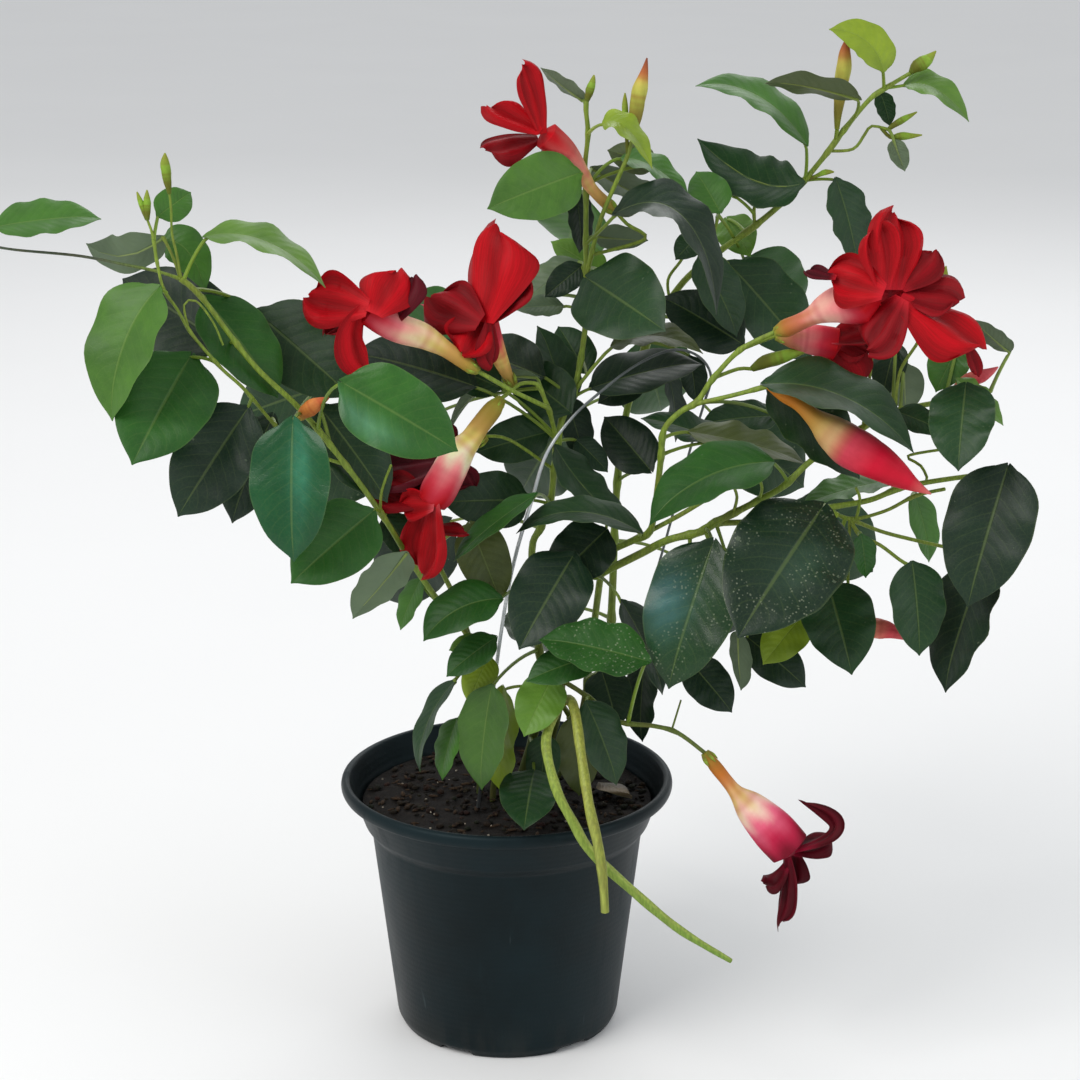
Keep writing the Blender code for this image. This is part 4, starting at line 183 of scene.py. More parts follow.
# -------------------------------------------------------------------- leaves
# name, base, tip, seen width, depth, stalk foot (stem, px, py) or None, options
#   m: a point the midrib passes through      u: 1 = underside seen
#   t: tone 0 deep .. 5 young, partly painted light (the lighter tones stand in for lit leaves, the darker for shaded
#       ones), 6 grey underside, 7 olive, 8 brown, 9 variegated
#   g: sheen 0..1   k: arch   r: width ratio   own: 1 = a part of its own
LEAVES = [
    ('L01', (-4, 227), (101, 216), 36, -72, ('stem_left', -6, 247), dict(t=3, own=0, k=0.04)),
    ('L03', (162, 238), (87, 243), 40, -64, ('stem_left', 163, 238), dict(t=6, u=1, m=(122, 256), own=0)),
    ('L04', (164, 240), (206, 292), 42, -60, ('stem_left', 164, 240), dict(t=3, m=(188, 252), own=0)),
    ('L05', (224, 345), (122, 278), 92, -44, ('stem_left', 236, 345), dict(t=0, own=0)),
    ('L06', (158, 216), (191, 192), 36, -66, ('stem_left', 154, 240), dict(t=3, own=0)),
    ('L07', (208, 236), (327, 286), 26, -74, ('stem_left', 184, 280), dict(t=4, m=(267, 242), pc=(194, 252), own=1, alike=1)),
    ('L08', (158, 289), (109, 421), 68, -94, ('stem_left', 165, 294), dict(t=4, own=1, k=0.07, m=(128, 345))),
    ('L09', (190, 357), (132, 464), 99, -88, ('stem_left', 216, 362), dict(t=2, own=1, k=0.05)),
    ('L10', (206, 300), (279, 397), 66, -56, ('stem_left', 198, 297), dict(t=2, own=1)),
    ('L11', (258, 314), (352, 397), 86, -36, ('stem_left', 192, 290), dict(t=1, own=1, pc=(226, 288))),
    ('L12', (248, 408), (177, 517), 84, -74, ('stem_left', 252, 398), dict(t=0, own=1, g=0.3)),
    ('L13', (272, 418), (231, 523), 62, -58, ('stem_left', 276, 425), dict(t=0, own=0)),
    ('L14', (293, 422), (293, 562), 83, -100, ('stem_left', 304, 412), dict(t=2, own=1, g=1.0, k=0.05)),
    ('L15', (343, 383), (458, 451), 86, -102, ('stem_left', 318, 430), dict(t=3, own=1, g=0.7, pc=(322, 388))),
    ('L16', (372, 512), (291, 583), 78, -84, ('stem_left', 380, 512), dict(t=2, own=1)),
    ('L17', (406, 553), (352, 617), 40, -64, ('stem_left', 410, 560), dict(t=6, u=1, own=0)),
    ('L18', (320, 408), (388, 502), 66, -40, ('stem_left', 330, 446), dict(t=1, own=0)),
    ('L19', (386, 515), (415, 560), 36, -46, ('stem_left', 381, 514), dict(t=1, own=0)),
    ('L20', (421, 579), (400, 630), 22, -38, ('stem_left', 440, 603), dict(t=3, own=0, pc=(424, 592))),
    ('L21', (474, 386), (350, 352), 66, -24, ('stem_center', 556, 440), dict(t=0, own=0)),
    ('L22', (500, 388), (441, 362), 40, -18, ('stem_center', 556, 437), dict(t=1, own=0)),
    ('L23', (548, 432), (476, 452), 48, -12, ('stem_center', 556, 440), dict(t=1, own=0)),
    ('L24', (537, 377), (447, 432), 13, -14, ('stem_center', 548, 406), dict(t=6, u=1, m=(484, 386), own=0)),
    ('L25', (570, 412), (513, 366), 58, -2, ('stem_center', 563, 416), dict(t=1, own=0, g=0.3)),
    ('L26', (566, 408), (539, 325), 40, 6, ('stem_center', 564, 412), dict(t=1, own=0)),
    ('L27', (556, 448), (633, 530), 36, -22, ('stem_center', 557, 450), dict(t=1, own=0, m=(588, 492))),
    ('L28', (640, 532), (514, 531), 26, -46, ('stem_flowering', 640, 536), dict(t=1, own=0, m=(576, 512))),
    ('L29', (650, 470), (604, 416), 52, 12, ('stem_upper_right', 618, 480), dict(t=0, own=0)),
    ('L30', (642, 378), (598, 403), 34, 22, ('stem_upper_right', 636, 382), dict(t=0, own=0)),
    ('L32', (573, 556), (519, 649), 80, -64, ('stem_right', 578, 600), dict(t=0, own=1, g=0.3)),
    ('L33', (606, 530), (548, 588), 62, -44, ('stem_flowering', 604, 560), dict(t=0, own=0)),
    ('L34', (470, 524), (501, 603), 54, -46, ('stem_left_low', 432, 550), dict(t=7, own=1)),
    ('L35', (534, 496), (453, 560), 22, -56, ('stem_center', 549, 502), dict(t=2, own=0)),
    ('L36', (527, 500), (442, 502), 60, -24, ('stem_center', 549, 504), dict(t=1, own=0)),
    ('L37', (500, 599), (423, 641), 46, -62, ('stem_center', 534, 590), dict(t=2, own=1, m=(457, 610))),
    ('L38', (646, 661), (539, 638), 54, -82, ('stem_low_right', 628, 723), dict(t=2, own=1, v=1)),
    ('L39', (596, 655), (526, 681), 40, -72, ('stem_right', 570, 640), dict(t=2, own=0)),
    ('L40', (492, 686), (480, 790), 50, -54, ('stem_center', 536, 650), dict(t=9, own=1)),
    ('L41', (503, 690), (501, 794), 42, -47, ('stem_center', 540, 690), dict(t=5, own=1, g=0.2)),
    ('L42', (552, 678), (524, 736), 50, -62, ('stem_center', 540, 670), dict(t=4, own=1)),
    ('L43', (457, 719), (441, 780), 24, -38, ('stem_left_low', 486, 705), dict(t=3, own=0)),
    ('L44', (455, 681), (417, 772), 17, -40, ('stem_left_low', 455, 681), dict(t=1, m=(428, 722), own=0)),
    ('L46', (489, 656), (468, 703), 36, -48, ('stem_left_low', 476, 655), dict(t=5, own=0)),
    ('L47', (495, 638), (446, 676), 34, -56, ('stem_left_low', 472, 645), dict(t=2, own=0)),
    ('L48', (480, 640), (449, 650), 20, -46, ('stem_left_low', 470, 640), dict(t=4, own=0)),
    ('L52', (534, 772), (524, 829), 62, -56, ('stem_center', 540, 740), dict(t=1, own=1, g=0.7)),
    ('L54', (586, 702), (618, 785), 46, -47, ('stem_low_right', 588, 698), dict(t=1, own=0)),
    ('L53', (602, 672), (618, 728), 48, -30, ('stem_flowering', 588, 680), dict(t=0, own=0)),
    ('L55', (574, 716), (580, 796), 46, -26, ('stem_low_right', 568, 718), dict(t=7, own=0)),
    ('L56', (645, 664), (641, 742), 34, -20, ('stem_upper_right', 608, 660), dict(t=0, own=0)),
    ('L58', (546, 735), (541, 792), 36, -38, ('stem_center', 541, 730), dict(t=1, own=0)),
    ('T01', (583, 100), (541, 67), 14, -3, ('stem_center', 586, 106), dict(t=6, u=1, own=0)),
    ('T04', (579, 173), (488, 208), 68, -22, ('stem_center', 586, 180), dict(t=4, own=1, k=0.06)),
    ('T05', (603, 124), (654, 168), 22, -14, ('stem_center', 588, 134), dict(t=5, m=(626, 128), pc=(594, 126), own=0)),
    ('T06', (622, 158), (691, 199), 22, -4, ('stem_center', 587, 190), dict(t=3, m=(655, 168), pc=(603, 160), own=0)),
    ('T07', (655, 164), (607, 150), 32, 10, ('stem_center', 586, 185), dict(t=7, u=1, own=0)),
    ('T08', (592, 168), (675, 211), 28, 14, ('stem_center', 586, 186), dict(t=6, u=1, own=0)),
    ('T09', (575, 190), (581, 253), 26, 18, ('stem_center', 586, 196), dict(t=0, own=0)),
    ('T11', (596, 236), (648, 240), 26, 12, ('stem_center', 586, 240), dict(t=6, u=1, own=0)),
    ('T12', (604, 276), (551, 241), 34, 20, ('stem_center', 587, 268), dict(t=4, own=0)),
    ('T13', (617, 213), (722, 314), 36, -10, ('stem_center', 588, 244), dict(t=0, m=(682, 216), pc=(600, 232), own=1, g=0.3, alike=1)),
    ('T14', (588, 279), (664, 330), 92, -24, ('stem_center', 587, 286), dict(t=1, own=1, k=0.04)),
    ('T15', (612, 346), (704, 352), 24, -14, ('stem_center', 574, 392), dict(t=7, m=(655, 336), pc=(588, 372), own=0)),
    ('T16', (592, 388), (702, 361), 44, -8, ('stem_center', 570, 400), dict(t=0, own=1)),
    ('T17', (578, 262), (521, 304), 36, 14, ('stem_center', 586, 270), dict(t=6, own=0)),
    ('T10', (582, 266), (545, 297), 30, 8, ('stem_center', 586, 280), dict(t=0, own=0)),
    ('T18', (563, 306), (516, 309), 22, 10, ('stem_center', 586, 312), dict(t=6, own=0)),
    ('T22', (542, 376), (468, 348), 60, -4, ('stem_center', 570, 398), dict(t=0, own=0)),
    ('T23', (586, 372), (558, 326), 44, 8, ('stem_center', 581, 360), dict(t=1, own=0)),
    ('T25', (566, 398), (584, 462), 34, 4, ('stem_center', 568, 402), dict(t=0, own=0)),
    ('T26', (576, 440), (608, 472), 26, 0, ('stem_center', 558, 442), dict(t=0, own=0)),
    ('U01', (806, 144), (695, 83), 28, 28, ('stem_upper_right', 805, 180), dict(t=3, m=(758, 96), pc=(808, 162), own=1)),
    ('U02', (858, 99), (765, 82), 22, 22, ('stem_upper_right', 844, 130), dict(t=7, u=1, m=(806, 86), pc=(862, 112), own=0)),
    ('U03', (883, 71), (829, 28), 36, 24, ('stem_upper_right', 884, 89), dict(t=5, m=(866, 41), own=1)),
    ('U04', (906, 85), (970, 121), 24, 24, ('stem_upper_right', 886, 88), dict(t=4, m=(936, 89), pc=(896, 87), own=0)),
    ('U05', (880, 92), (890, 126), 20, 36, ('stem_upper_right', 878, 94), dict(t=1, own=0)),
    ('U06', (894, 140), (905, 171), 20, 32, ('stem_upper_right', 889, 130), dict(t=6, u=1, own=0)),
    ('U07', (801, 184), (698, 138), 52, 30, ('stem_upper_right', 803, 182), dict(t=1, m=(752, 180), own=1)),
    ('U08', (720, 212), (696, 171), 42, 26, ('stem_upper_right', 718, 218), dict(t=3, own=0)),
    ('U09', (734, 196), (706, 156), 14, 38, ('stem_upper_right', 752, 214), dict(t=4, own=0)),
    ('U10', (727, 219), (750, 256), 42, 50, ('stem_upper_right', 745, 232), dict(t=4, own=0)),
    ('U11', (836, 180), (858, 266), 40, 32, ('stem_upper_right', 805, 181), dict(t=1, pc=(822, 178), own=1)),
    ('U12', (730, 265), (812, 362), 72, 26, ('stem_upper_right', 716, 255), dict(t=1, own=1)),
    ('U14', (700, 256), (738, 336), 44, 12, ('stem_upper_right', 706, 262), dict(t=1, own=0)),
    ('U15', (742, 344), (661, 296), 56, 20, ('stem_upper_right', 662, 316), dict(t=0, own=0)),
    ('U16', (696, 238), (676, 259), 28, 18, ('stem_upper_right', 694, 246), dict(t=1, own=0)),
    ('U21', (690, 356), (696, 402), 28, 18, ('stem_upper_right', 648, 342), dict(t=0, own=0)),
    ('U22', (668, 372), (677, 442), 18, 14, ('stem_upper_right', 640, 358), dict(t=0, own=0)),
    ('R01', (766, 384), (915, 452), 46, -70, ('stem_flowering', 768, 386), dict(t=1, m=(846, 398), own=1)),
    ('R02', (770, 388), (862, 477), 62, -46, ('stem_flowering', 757, 389), dict(t=1, own=1)),
    ('R03', (892, 480), (801, 505), 26, -36, ('stem_right', 893, 490), dict(t=3, own=0)),
    ('R04', (966, 384), (958, 470), 68, -62, ('stem_right', 980, 394), dict(t=1, own=1)),
    ('R05', (957, 380), (1004, 425), 20, -56, ('stem_right', 965, 397), dict(t=4, own=0)),
    ('R06', (1008, 466), (967, 607), 92, -76, ('stem_right', 985, 474), dict(t=0, own=1)),
    ('R07', (986, 560), (943, 692), 62, -58, ('stem_right', 985, 556), dict(t=0, own=1)),
    ('R08', (912, 562), (920, 656), 56, -66, ('stem_right', 912, 567), dict(t=1, own=1, g=0.5)),
    ('R09', (1010, 352), (972, 318), 20, -38, ('stem_right', 990, 392), dict(t=6, u=1, own=0)),
    ('R10', (958, 346), (936, 391), 44, -24, ('stem_right', 945, 401), dict(t=3, own=0)),
    ('R11', (896, 342), (882, 398), 36, -18, ('stem_right', 892, 413), dict(t=0, own=0)),
    ('R12', (904, 364), (906, 412), 40, -8, ('stem_right', 900, 410), dict(t=6, u=1, own=0)),
    ('R13', (898, 412), (945, 432), 28, -50, ('stem_right', 895, 412), dict(t=1, own=0)),
    ('R16', (772, 462), (647, 523), 54, -64, ('stem_right', 788, 482), dict(t=2, m=(705, 478), own=1)),
    ('R17', (713, 543), (667, 689), 94, -80, ('stem_right', 706, 530), dict(t=1, own=1, g=1.0, v=1)),
    ('R18', (822, 508), (738, 637), 124, -92, ('stem_right', 828, 508), dict(t=0, own=1, g=0.6, v=1)),
    ('R19', (828, 584), (852, 673), 76, -70, ('stem_right', 846, 516), dict(t=1, own=1)),
    ('R20', (861, 535), (866, 578), 24, -58, ('stem_right', 860, 533), dict(t=2, own=0)),
    ('R21', (804, 614), (763, 664), 46, -58, ('stem_right', 838, 510), dict(t=5, own=0)),
    ('R22', (748, 638), (806, 687), 46, -46, ('stem_right', 716, 528), dict(t=0, own=0)),
    ('R23', (739, 632), (742, 690), 22, -64, ('stem_right', 706, 532), dict(t=6, u=1, own=0)),
    ('R24', (690, 662), (732, 712), 46, -56, ('stem_right', 690, 535), dict(t=0, own=0)),
    ('R26', (622, 602), (665, 694), 34, -62, ('stem_right', 598, 576), dict(t=0, own=0)),
    ('R29', (776, 416), (700, 424), 34, -20, ('stem_flowering', 697, 403), dict(t=1, own=0)),
    ('R30', (722, 442), (641, 417), 28, -26, ('stem_flowering', 662, 455), dict(t=1, own=0)),
    ('R31', (690, 432), (806, 462), 28, -32, ('stem_flowering', 664, 438), dict(t=7, own=0)),
    ('R32', (914, 494), (931, 562), 28, -24, ('stem_right', 912, 498), dict(t=3, own=0)),
]

# The side turned away, filled in so that the plant is round: world positions
# base (x, y, z) and tip (x, y, z), width in mm.
BACK = [
    ('B01', (-60, 40, 300), (-118, 66, 262), 44, ('stem_center', 18, 30, 330), 1),
    ('B02', (-30, 60, 250), (-70, 98, 196), 44, ('stem_center', 20, 10, 260), 0),
    ('B03', (30, 80, 300), (6, 128, 246), 46, ('stem_upper_right', 50, 35, 330), 1),
    ('B04', (70, 90, 340), (84, 140, 288), 46, ('stem_upper_right', 60, 38, 350), 2),
    ('B05', (110, 80, 300), (160, 112, 254), 46, ('stem_upper_right', 66, 40, 340), 1),
    ('B06', (90, 60, 230), (130, 98, 180), 44, ('stem_upper_right', 48, 26, 250), 0),
    ('B07', (20, 70, 200), (16, 118, 158), 42, ('stem_upper_right', 40, 24, 210), 1),
    ('B08', (-20, 70, 360), (-58, 116, 330), 42, ('stem_center', 36, 2, 380), 2),
    ('B09', (40, 60, 420), (30, 108, 386), 42, ('stem_center', 42, 2, 440), 3),
    ('B10', (120, 50, 390), (152, 96, 350), 42, ('stem_upper_right', 110, 41, 420), 2),
    ('B11', (150, 60, 260), (196, 86, 214), 44, ('stem_right', 120, -46, 280), 1),
    ('B12', (-90, 30, 330), (-140, 60, 306), 40, ('stem_left', -100, -60, 330), 1),
]

# ------------------------------------------------------------------- flowers
# tube: (px, py, y, radius); petals: (base px, py, tip px, py, width, y, tone, options)
# petal tones: 0 red, 1 dark red, 2 maroon, 3 pink
FLOWERS = {
    'flower_left': dict(
        tube=[(478, 371, -46, 1.7), (470, 366, -46.5, 3.3), (447, 350, -48, 3.9), (432, 341, -49, 5.3),
              (420, 335, -50, 6.3), (400, 329, -53, 6.9), (384, 321, -55, 7.2), (368, 310, -57, 7.2)],
        petals=[(368, 308, 306, 296, 60, -62, 0, {}), (374, 314, 398, 269, 60, -60, 0, {}),
                (366, 306, 371, 374, 32, -66, 0, dict(m=(354, 340))), (392, 324, 413, 276, 26, -54, 2, {}),
                (358, 314, 326, 335, 20, -58, 1, {})]),
    'flower_middle': dict(
        tube=[(514, 386, -22, 1.5), (507, 374, -23, 2.8), (496, 350, -26, 4.6), (484, 322, -30, 6.8)],
        petals=[(482, 322, 498, 226, 68, -38, 0, {}), (480, 322, 429, 296, 62, -40, 1, {}),
                (484, 322, 527, 264, 52, -34, 1, {}), (480, 312, 461, 354, 52, -42, 0, {}),
                (490, 318, 492, 367, 22, -44, 1, {}), (470, 330, 422, 306, 16, -31, 3, {})]),
    'flower_low_left': dict(
        tube=[(502, 398, -33, 1.6), (494, 408, -34, 4.4), (479, 427, -37, 4.8), (470, 440, -39, 5.4),
              (458, 454, -42, 7.6), (447, 474, -46, 8.4), (437, 492, -49, 8.6), (431, 502, -50, 7.2)],
        petals=[(430, 500, 373, 490, 44, -46, 1, {}), (432, 498, 422, 576, 44, -56, 0, {}),
                (434, 506, 401, 505, 34, -54, 0, {}), (430, 528, 467, 533, 16, -52, 1, {})]),
    'flower_low_left_back': dict(
        tube=[(486, 436, -20, 1.4), (474, 443, -21, 2.6), (460, 452, -23, 4.2), (446, 460, -26, 5.2)],
        petals=[(444, 462, 375, 482, 40, -34, 2, {}), (446, 460, 437, 419, 34, -28, 2, {}),
                (450, 462, 474, 486, 28, -27, 2, {}), (444, 464, 420, 500, 36, -30, 2, {})]),
    'flower_top': dict(
        tube=[(616, 212, 0, 1.4), (608, 205, -1, 2.8), (592, 189, -4, 2.8), (580, 172, -7, 4.2),
              (564, 152, -10, 6.2), (546, 136, -13, 6.8)],
        petals=[(542, 134, 522, 65, 30, -15, 0, dict(m=(531, 96))), (540, 132, 487, 106, 26, -18, 0, {}),
                (538, 138, 483, 149, 30, -12, 1, {}), (548, 142, 529, 208, 22, -8, 2, {})]),
    'flower_right': dict(
        tube=[(775, 332, -53, 1.8), (784, 329, -54, 4.2), (800, 322, -56, 4.0), (812, 316, -58, 4.4),
              (825, 309, -60, 6.8), (840, 304, -62, 8.8), (858, 303, -65, 9.4), (872, 303, -68, 9.2)],
        petals=[(884, 292, 829, 275, 56, -74, 0, {}), (884, 290, 876, 223, 46, -71, 0, {}),
                (836, 278, 805, 271, 14, -70, 2, {}), (894, 290, 894, 210, 54, -64, 0, {}),
                (900, 288, 934, 250, 44, -62, 1, {}), (900, 292, 961, 301, 44, -66, 1, {}),
                (900, 298, 983, 348, 54, -74, 0, {}), (966, 342, 977, 376, 16, -72, 1, {}),
                (902, 298, 867, 350, 52, -76, 1, {})]),
    'flower_behind': dict(
        tube=[(776, 336, -42, 1.8), (790, 338, -42, 4.6), (803, 338, -42, 6.6), (818, 340, -42, 7.4),
              (836, 343, -42, 7.6)],
        petals=[(830, 340, 870, 330, 30, -46, 1, {}), (832, 344, 862, 389, 50, -44, 1, {}),
                (830, 344, 843, 372, 30, -38, 2, {}), (828, 338, 872, 352, 34, -38, 1, {})]),
    'flower_low_right': dict(
        tube=[(705, 753, -60, 1.9), (715, 766, -61, 3.2), (727, 781, -62, 3.1), (736, 792, -63, 3.8),
              (748, 804, -64, 7.4), (760, 816, -65, 9.4), (775, 831, -66, 10.8), (790, 847, -67, 10.6)],
        petals=[(794, 850, 802, 801, 17, -68, 2, dict(m=(835, 828))), (792, 852, 834, 838, 26, -66, 2, {}),
                (788, 862, 763, 883, 20, -70, 2, dict(m=(776, 882))), (786, 852, 779, 927, 20, -72, 2, dict(m=(787, 890))),
                (796, 852, 794, 887, 26, -64, 2, {})]),
}

# ---------------------------------------------------------------------- buds
# points (px, py, y, radius); kind 0 green, 1 brown tip, 2 pink, 3 orange, 4 pink tip
BUDS = {
    'bud_top': ([(634, 134, -9, 1.3), (635, 118, -9, 3.1), (638, 101, -9, 3.5), (640, 88, -9, 3.6),
                 (644, 74, -9, 2.1), (647, 58, -9, 0.35)], 1, None),
    'bud_top_right': ([(837, 129, 28, 1.2), (838, 112, 28, 2.1), (840, 95, 28, 3.0), (842, 80, 28, 3.5),
                       (844, 65, 28, 3.6), (845, 52, 28, 2.7), (847, 40, 28, 1.2), (848, 30, 28, 0.35)], 1, None),
    'bud_pink': ([(768, 386, -60, 1.5), (783, 395, -62, 3.0), (799, 405, -64, 3.0), (814, 418, -66, 4.4),
                  (828, 430, -69, 7.6), (845, 442, -72, 9.6), (862, 453, -75, 9.6), (880, 464, -78, 8.4),
                  (898, 475, -80, 6.2), (914, 485, -82, 3.2), (931, 494, -83, 0.4)], 2, None),
    'bud_orange': ([(300, 419, -72, 1.4), (305, 412, -73, 3.3), (314, 406, -74, 3.6), (322, 401, -74, 2.0),
                    (329, 398, -74, 0.35)], 3, None),
    'calyx_spent': ([(752, 368, -40, 1.5), (765, 362, -41, 3.2), (785, 356, -42, 3.0), (800, 352, -43, 1.7),
                     (814, 349, -44, 0.35)], 0, 'stem_flowering'),
    'bud_tip_right': ([(910, 73, 25, 1.0), (917, 66, 25, 3.1), (926, 61, 25, 3.1), (936, 51, 25, 0.35)], 0, 'stem_upper_right'),
    'bud_edge': ([(945, 399, -43, 1.0), (962, 381, -42, 1.8), (978, 377, -42, 3.4), (990, 372, -43, 2.0),
                  (998, 367, -43, 0.35)], 4, 'stem_right'),
    'bud_low': ([(850, 627, -50, 1.2), (868, 628, -51, 4.6), (884, 629, -52, 4.6), (897, 634, -53, 2.6),
                 (909, 640, -54, 0.35)], 4, 'stem_right'),
    # small ones that are one with their shoot
    'b_cluster1': ([(880, 133, 31, 0.9), (890, 137, 31, 1.0), (901, 136, 31, 2.0), (910, 136, 31, 1.5),
                    (922, 135, 31, 0.35)], 0, 'stem_upper_right'),
    'b_cluster2': ([(888, 129, 31, 0.9), (897, 123, 31, 1.6), (906, 118, 31, 1.5), (917, 112, 31, 0.35)], 0,
                   'stem_upper_right'),
    'b_small': ([(805, 181, 35, 1.0), (816, 176, 34, 0.9), (826, 172, 34, 1.5), (834, 172, 34, 0.35)], 0,
                'stem_upper_right'),
    'b_spike': ([(169, 194, -76, 0.9), (167, 178, -76, 2.0), (165, 163, -76, 2.1), (165, 153, -76, 0.35)], 0,
                'stem_left'),
    'b_twin1': ([(146, 220, -78, 1.0), (141, 203, -78, 1.3), (137, 192, -78, 0.35)], 0, 'stem_left'),
    'b_twin2': ([(147, 220, -78, 1.0), (147, 203, -78, 1.8), (147, 190, -78, 0.35)], 0, 'stem_left'),
    'b_shoot': ([(587, 101, -2, 1.2), (590, 90, -2, 2.1), (593, 80, -2, 1.3), (594, 75, -2, 0.35)], 0, 'stem_center'),
    'b_spikelet': ([(628, 154, -9, 1.0), (626, 128, -8, 0.9), (625, 107, -7, 1.5), (625, 93, -7, 0.35)], 0,
                   'stem_center'),
    'b_back': ([(929, 320, -32, 1.0), (938, 303, -31, 2.4), (944, 286, -31, 2.4), (946, 266, -31, 0.35)], 0,
               'stem_right'),
}
STEMS['stem_right'] += [
    ([(895, 412, -42), (900, 372, -36), (918, 342, -33), (930, 318, -32)], 0.9, 0.9),
    ([(862, 427, -43), (868, 390, -42), (872, 350, -42), (866, 320, -42)], 0.9, 0.8),
    ([(850, 519, -36), (848, 580, -46), (851, 628, -50)], 0.9, 0.9),
]

STEMS['stem_center'] += [([(530, 470, -18), (510, 440, -21), (486, 436, -20)], 0.9, 0.9)]

# every stem leaves the soil upright
for _branches in STEMS.values():
    _first = _branches[0][0]
    _x, _y = _first[0][1], _first[0][2]
    _first[0:1] = [('w', _x, _y, SOIL_Z + 0.4), ('w', _x, _y, SOIL_Z + 4.5)]


def near_path(p, paths):
    best = None
    for w in paths:
        for a, b in zip(w, w[1:]):
            d = vsub(b, a)
            q = vdot(d, d)
            t = 0.0 if q < 1e-9 else min(max(vdot(vsub(p, a), d) / q, 0.0), 1.0)
            c = vadd(a, vmul(d, t))
            e = vlen(vsub(c, p))
            if best is None or e < best[0]:
                best = (e, c)
    return best


def join_branches():
    """Start every side branch and hosted bud on its parent's centre line."""
    for name, branches in STEMS.items():
        paths = []
        for i, (pts, r0, r1) in enumerate(branches):
            w = [pt(q) for q in pts]
            if paths:
                e, c = near_path(w[0], paths)
                w[0] = c
                pts[0] = ('w',) + c
            paths.append(w)
        for pts, kind, host in BUDS.values():
            if host == name:
                e, c = near_path(at(*pts[0][:3]), paths)
                x, y, _ = seen(c)
                pts[0] = (x, y, c[1], pts[0][3])


# ---------------------------------------------------------------------- pods
PODS = [
    [(561, 703, -55, 2.0), (569, 700, -60, 2.6), (575, 712, -68, 2.5), (581, 753, -82, 2.4), (589, 805, -98, 2.5),
     (598, 845, -105, 2.5), (603, 880, -107, 2.3), (605, 912, -108, 1.9)],
    [(561, 703, -55, 2.0), (555, 713, -62, 2.5), (546, 743, -74, 2.4), (556, 788, -88, 2.4), (573, 822, -93, 2.4),
     (592, 853, -96, 2.4), (635, 893, -98, 2.3), (680, 930, -98, 2.0), (731, 961, -96, 1.2)],
]
# the dry leaf lying on the soil: base, tip (world), width
DRY = (('w', 47, 8, 124.0), ('w', 64, -8, 122.6), 13.0)


# ------------------------------------------------------------------ geometry
PROFILE_LEAF = [(0, 0.06), (0.02, 0.24), (0.06, 0.47), (0.12, 0.70), (0.2, 0.88), (0.3, 0.98), (0.4, 1.0),
                (0.5, 0.965), (0.6, 0.87), (0.7, 0.71), (0.8, 0.49), (0.87, 0.30), (0.92, 0.165), (0.96, 0.075), (1, 0)]
PROFILE_PETAL = [(0, 0.30), (0.1, 0.44), (0.3, 0.72), (0.5, 0.93), (0.66, 1.0), (0.8, 0.90), (0.9, 0.66), (0.96, 0.38), (1, 0)]


def prof(table, t):
    t = min(max(t, 0.0), 1.0)
    for (t0, v0), (t1, v1) in zip(table, table[1:]):
        if t <= t1:
            k = (t - t0) / (t1 - t0)
            return v0 + (v1 - v0) * k
    return 0.0


def bez(a, b, c, t):
    return tuple((1 - t) * (1 - t) * a[i] + 2 * t * (1 - t) * b[i] + t * t * c[i] for i in range(len(a)))


join_branches()


